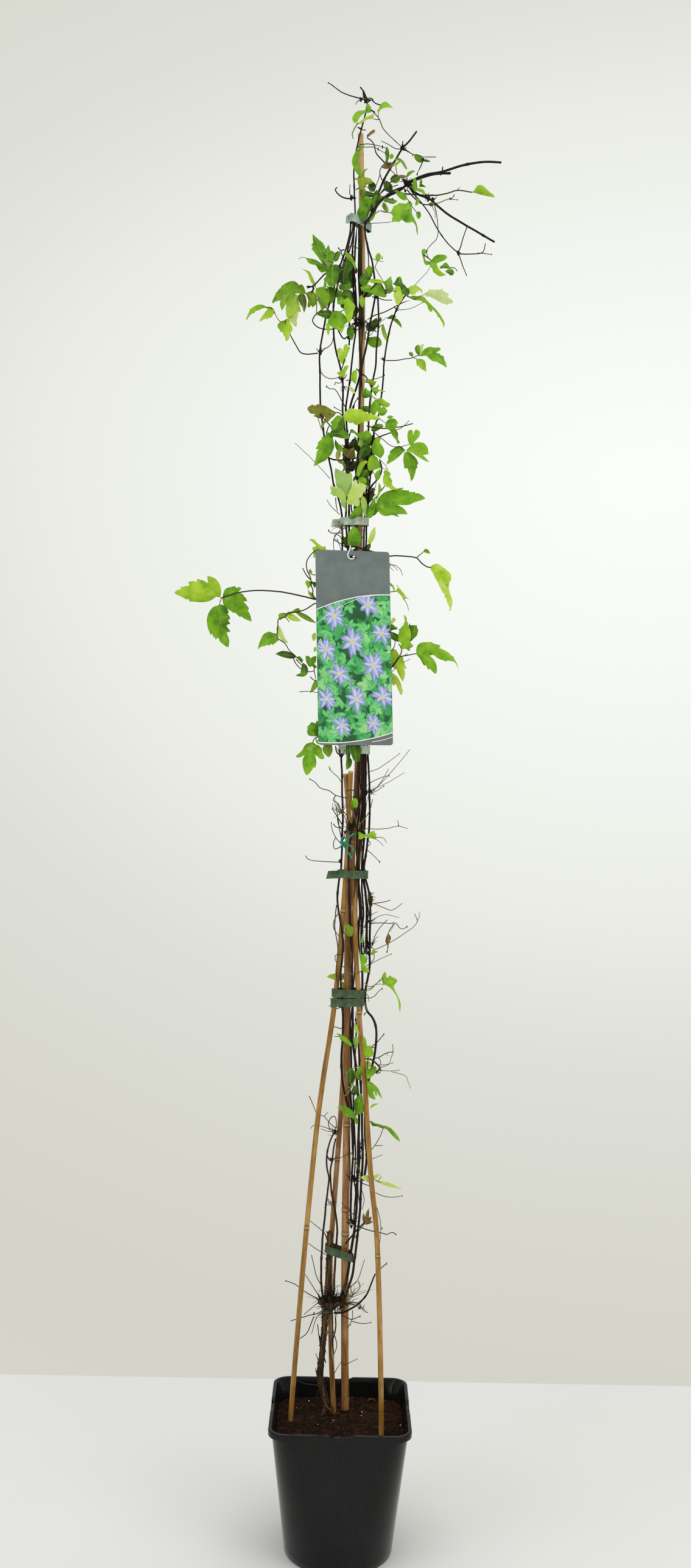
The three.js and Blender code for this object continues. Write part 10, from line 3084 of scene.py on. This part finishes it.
def make_twigs(name):
    """Twigs, tendrils, buds and rough joints of one height range."""
    shape = Shape()
    twigs = TWIGS[name]
    shoots = carriers()
    held = list(shoots)
    rng = np.random.default_rng(SEED * 7 + len(name))
    for i, (tone, radius, *flat) in enumerate(twigs["lines"]):
        route = np.array(flat, float).reshape(-1, 2)
        run = float(np.linalg.norm(np.diff(route, axis=0), axis=1).sum())
        inner = radius > INNER_RADIUS and run > INNER_RUN
        ends = [depth_at(shoots if inner else held, *spot) for spot in (route[0], route[-1])]
        drift = max(FARTHEST_FORWARD, rng.uniform(-0.35, 0.05) * run) * (not inner)
        first, last = ends
        if first is None and last is None:
            carrier = nearest(held, *route[0])
            if math.hypot(carrier[0] - route[0, 0], carrier[1] - route[0, 1]) < JOIN_REACH:
                route = np.vstack([carrier[:2], route])
            first = carrier[2]
        elif first is None:
            first = last + drift
        if last is None:
            last = first + drift
        t = np.linspace(0, 1, len(route))
        bow = (min(3.0, run * 0.06) if None not in ends and not inner else 0) * np.sin(t * math.pi)
        y = first + (last - first) * t - bow + SET_BACK * (inner or radius > STOUT_RADIUS)
        full = np.column_stack([route, y])
        held.append(even(smooth(full, 8), 1.5))
        foot = 0.75 if ends[0] is None and ends[1] is not None else 1.0
        girth = (radius * foot, radius * (1.75 - foot))
        stalk(shape, full, girth, tone, 0.35, seed=i + len(name), fine=0.8 * inner)
    for i, (x, z, radius, tone) in enumerate(twigs["buds"]):
        y = depth_at(held, x, z)
        y = nearest(held, x, z)[2] if y is None else y
        lump(shape, place((x, z, y))[0], radius * 0.72 * MM, i, STALK_TONE[tone], (0.75, 0.75, 1.7), 0.3)
    for i, (x, z, radius) in enumerate(twigs["knots"]):
        y = depth_at(held, x, z)
        rough_joint(shape, x, z, nearest(held, x, z)[2] if y is None else y, radius, rng, i * 5)
    for x, z, wide, count, length, tone, aim in twigs.get("tufts", ()):
        tuft(shape, held, (x, z), wide, count, length, tone, aim, rng)
    piece = new_object(name, shape.mesh(name), [finish("shoot")])
    return bake(use_tree(piece, sweep(), Sides=6, Bark=finish("shoot")), 55)


# ---- stage --------------------------------------------------------------------------------------
FOCAL_PIXELS, FRAME_WIDTH, FRAME_HEIGHT = 2356.0, 1135, 2576
SENSOR = 36.0
ROLL_DEG = -1.0
BACK_EDGE = 0.551


def make_camera():
    data = bpy.data.cameras.new("camera")
    data.sensor_fit = "AUTO"
    data.sensor_width = SENSOR
    data.lens = FOCAL_PIXELS / max(FRAME_WIDTH, FRAME_HEIGHT) * SENSOR
    camera = bpy.data.objects.new("camera", data)
    bpy.context.scene.collection.objects.link(camera)
    camera.location = (VIEW_X * MM, -VIEW_DISTANCE * MM, VIEW_Z * MM)
    camera.rotation_euler = (math.pi / 2, math.radians(ROLL_DEG), 0)
    bpy.context.scene.camera = camera


def make_light(name, place_m, aim, size, power, colour="#ffffff"):
    data = bpy.data.lights.new(name, "AREA")
    data.shape = "RECTANGLE"
    data.size, data.size_y = size
    data.energy = power
    data.color = linear(colour)[:3]
    light = bpy.data.objects.new(name, data)
    bpy.context.scene.collection.objects.link(light)
    light.location = place_m
    light.rotation_euler = (Vector(aim) - Vector(place_m)).to_track_quat("-Z", "Y").to_euler()


def make_world(glow):
    """A pale studio wall far behind the plant, brightest beside it, and the same soft light all round."""
    world = bpy.data.worlds.new("pale_studio")
    bpy.context.scene.world = world
    world.use_nodes = True
    tree = world.node_tree
    tree.nodes.clear()
    way = add(tree, "ShaderNodeTexCoord").outputs["Generated"]
    x, _, z = split(tree, way)[:3]
    far = maths(tree, "MULTIPLY", maths(tree, "SUBTRACT", x, 0.20), 0.75)
    rise = maths(tree, "SUBTRACT", z, 0.21)
    high = maths(tree, "MAXIMUM", maths(tree, "MULTIPLY", rise, 1.4), maths(tree, "MULTIPLY", rise, -1.0))
    off = maths(tree, "SQRT", maths(tree, "ADD", maths(tree, "MULTIPLY", far, far),
                                    maths(tree, "MULTIPLY", high, high)))
    wall = ramp(tree, off, (0.0, "#fcfefb"), (0.2, "#f2f5ef"), (0.3, "#eaece5"), (0.4, "#dedfd7"),
                (0.5, "#d8d8cf"), (0.6, "#d4d3ca"), (0.8, "#d9d9d1"))
    seen = add(tree, "ShaderNodeBackground", {"Color": wall, "Strength": 1.0})
    soft = add(tree, "ShaderNodeBackground", {"Color": linear("#f1f2f2"), "Strength": glow})
    camera_ray = add(tree, "ShaderNodeLightPath").outputs["Is Camera Ray"]
    both = add(tree, "ShaderNodeMixShader", {0: camera_ray, 1: soft.outputs[0], 2: seen.outputs[0]})
    add(tree, "ShaderNodeOutputWorld", {"Surface": both.outputs[0]})


def make_floor():
    floor = bmesh.new()
    bmesh.ops.create_grid(floor, x_segments=8, y_segments=8, size=1.0)
    for v in floor.verts:
        v.co.x *= 3.2
        v.co.y = BACK_EDGE - 3.0 + v.co.y * 3.0
    mesh = bpy.data.meshes.new("floor")
    floor.to_mesh(mesh)
    floor.free()
    new_object("floor", mesh, [finish("floor")])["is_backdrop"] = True


# ---- settings -----------------------------------------------------------------------------------
def length_mm(name, description, default, low, high):
    """A length in millimetres that a user may change."""
    return bpy.props.FloatProperty(name=name, description=description, default=default, min=low, max=high,
                                   precision=2)


class PotSettings(bpy.types.PropertyGroup):
    height: length_mm("Height", "Height of the pot", 195.0, 100, 300)
    rim_half: length_mm("Half rim", "Half the width across the rim", 95.0, 60, 150)
    body_half: length_mm("Half body", "Half the width of the body under the rim", 91.0, 55, 145)
    base_radius: length_mm("Base radius", "Radius of the round base", 73.5, 40, 130)
    wall: length_mm("Wall", "Thickness of the wall", 1.8, 0.6, 5)


class SoilSettings(bpy.types.PropertyGroup):
    level: length_mm("Level", "Height of the potting mix", 168.0, 40, 190)
    crumbs: bpy.props.FloatProperty(name="Crumbs", description="Crumbs on each square metre", default=120000,
                                    min=0, max=200000)
    fibres: bpy.props.FloatProperty(name="Fibres", description="Fibres on each square metre", default=16000,
                                    min=0, max=60000)
    crumb_size: bpy.props.FloatProperty(name="Crumb size", description="Radius of a middling crumb",
                                        default=0.0012, min=0.0003, max=0.01, unit="LENGTH",
                                        subtype="DISTANCE", precision=4)


class PlantSettings(bpy.types.PropertyGroup):
    cane_thickness: bpy.props.FloatProperty(name="Cane thickness", description="Scale of the canes' radius",
                                            default=1.0, min=0.5, max=2.0, subtype="FACTOR")
    shoot_thickness: bpy.props.FloatProperty(name="Shoot thickness",
                                             description="Scale of the shoots' radius",
                                             default=1.0, min=0.5, max=2.0, subtype="FACTOR")
    unevenness: length_mm("Unevenness", "How far the shoots wander off their course", 0.5, 0, 4)
    tape_width: length_mm("Tape width", "Width of the tie tape", 11.0, 4, 25)


class StageSettings(bpy.types.PropertyGroup):
    glow: bpy.props.FloatProperty(name="Glow", description="Strength of the light from all round",
                                  default=0.62, min=0, max=3)
    key: bpy.props.FloatProperty(name="Key light", description="Power of the large soft light above",
                                 default=32, min=0, max=500, unit="POWER", subtype="POWER")
    side: bpy.props.FloatProperty(name="Side lights", description="Power of each side light", default=14,
                                  min=0, max=500, unit="POWER", subtype="POWER")


# ---- operators ----------------------------------------------------------------------------------
class CLEMATIS_OT_stage(bpy.types.Operator):
    """Makes the floor, the pale wall, the soft lights and the camera."""
    bl_idname = "clematis.stage"
    bl_label = "Stage"

    def execute(self, context):
        stage = context.scene.clematis_stage
        make_camera()
        make_world(stage.glow)
        make_floor()
        make_light("overhead", (0.2, -0.5, 3.4), (0, 0, 0.6), (3.0, 3.0), stage.key)
        make_light("left_window", (-2.4, -1.9, 1.7), (0, 0, 0.9), (1.6, 2.4), stage.side, "#f6f8ff")
        make_light("right_window", (2.4, -1.9, 1.7), (0, 0, 0.9), (1.6, 2.4), stage.side * 1.25, "#fffaf0")
        context.scene.view_settings.view_transform = "Standard"
        return {"FINISHED"}


class CLEMATIS_OT_pot(bpy.types.Operator):
    """Makes the square-topped nursery pot."""
    bl_idname = "clematis.pot"
    bl_label = "Pot"

    def execute(self, context):
        hand_over(make_pot(context.scene.clematis_pot), "pot_plastic", "pot")
        return {"FINISHED"}


class CLEMATIS_OT_soil(bpy.types.Operator):
    """Fills the pot with potting mix and scatters crumbs, fibres and pale grains on it."""
    bl_idname = "clematis.soil"
    bl_label = "Potting mix"

    def execute(self, context):
        soil = context.scene.clematis_soil
        piece = make_soil_block(context.scene.clematis_pot, soil)
        use_tree(piece, crumb_tree(), Level=(soil.level - 9) * MM, Crumbs=soil.crumbs, Fibres=soil.fibres,
                 Crumb_size=soil.crumb_size, Mix=finish("soil"))
        hand_over(bake(piece), "potting_mix", "potting_soil")
        hand_over(make_litter(soil.level), "potting_mix")
        return {"FINISHED"}


class CLEMATIS_OT_canes(bpy.types.Operator):
    """Makes the four bamboo canes."""
    bl_idname = "clematis.canes"
    bl_label = "Canes"

    def execute(self, context):
        for name in CANES:
            hand_over(make_cane(name, context.scene.clematis_plant.cane_thickness), "bamboo", name)
        return {"FINISHED"}


class CLEMATIS_OT_old_wood(bpy.types.Operator):
    """Makes the plant's old woody foot with its peeling bark."""
    bl_idname = "clematis.old_wood"
    bl_label = "Old wood"

    def execute(self, context):
        hand_over(make_old_wood(), "old_bark", "old_wood")
        return {"FINISHED"}


class CLEMATIS_OT_stems(bpy.types.Operator):
    """Makes the shoots that climb the canes."""
    bl_idname = "clematis.stems"
    bl_label = "Shoots"

    def execute(self, context):
        plant = context.scene.clematis_plant
        for name in STEMS:
            hand_over(make_stem(name, plant.shoot_thickness, plant.unevenness), "stem", name)
        return {"FINISHED"}


class CLEMATIS_OT_twigs(bpy.types.Operator):
    """Makes the dry twigs, tendrils, buds, rough joints and tufts along the shoots."""
    bl_idname = "clematis.twigs"
    bl_label = "Twigs and tendrils"

    def execute(self, context):
        for name in TWIGS:
            hand_over(make_twigs(name), "stem")
        return {"FINISHED"}


class CLEMATIS_OT_leaves(bpy.types.Operator):
    """Makes the leaves, each on its stalk."""
    bl_idname = "clematis.leaves"
    bl_label = "Leaves"

    def execute(self, context):
        for name, spray in SPRAYS.items():
            known = [name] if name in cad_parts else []
            hand_over(make_spray(name, spray), "leaf", *known)
        return {"FINISHED"}


class CLEMATIS_OT_ties(bpy.types.Operator):
    """Makes the tie tapes and the knotted green twine."""
    bl_idname = "clematis.ties"
    bl_label = "Ties"

    def execute(self, context):
        for name, tape in TAPES.items():
            slot = "dark_tape" if tape[0] == "dark_tape" else "pale_tape"
            hand_over(make_tape(name, context.scene.clematis_plant.tape_width), slot, name)
        hand_over(make_twine(), "twine", "green_twine")
        return {"FINISHED"}


class CLEMATIS_OT_label(bpy.types.Operator):
    """Makes the printed plant label and the white hook that it hangs by."""
    bl_idname = "clematis.label"
    bl_label = "Label"

    def execute(self, context):
        hand_over(make_label(), "label_card", "plant_label")
        hand_over(make_hook(), "loop_plastic", "label_hook")
        return {"FINISHED"}


STEPS = (CLEMATIS_OT_stage, CLEMATIS_OT_pot, CLEMATIS_OT_soil, CLEMATIS_OT_canes, CLEMATIS_OT_old_wood,
         CLEMATIS_OT_stems, CLEMATIS_OT_twigs, CLEMATIS_OT_leaves, CLEMATIS_OT_ties, CLEMATIS_OT_label)


class CLEMATIS_PT_panel(bpy.types.Panel):
    """Lists the steps that build the plant."""
    bl_idname = "CLEMATIS_PT_panel"
    bl_label = "Clematis"
    bl_space_type = "VIEW_3D"
    bl_region_type = "UI"
    bl_category = "Clematis"

    def draw(self, context):
        for step in STEPS:
            self.layout.operator(step.bl_idname)


SETTINGS = {"clematis_pot": PotSettings, "clematis_soil": SoilSettings, "clematis_plant": PlantSettings,
            "clematis_stage": StageSettings}


def register():
    noise.seed_set(SWAY_SEED)
    for kind in (*SETTINGS.values(), *STEPS, CLEMATIS_PT_panel):
        bpy.utils.register_class(kind)
    for name, kind in SETTINGS.items():
        setattr(bpy.types.Scene, name, bpy.props.PointerProperty(type=kind))


def unregister():
    for name in SETTINGS:
        delattr(bpy.types.Scene, name)
    for kind in (CLEMATIS_PT_panel, *STEPS[::-1], *SETTINGS.values()):
        bpy.utils.unregister_class(kind)


def main():
    register()
    for step in STEPS:
        group, action = step.bl_idname.split(".")
        getattr(getattr(bpy.ops, group), action)()
    boxes = [[list(corner) for corner in box] for box in (CAD_BOX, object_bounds())]


if __name__ == "__main__":
    main()
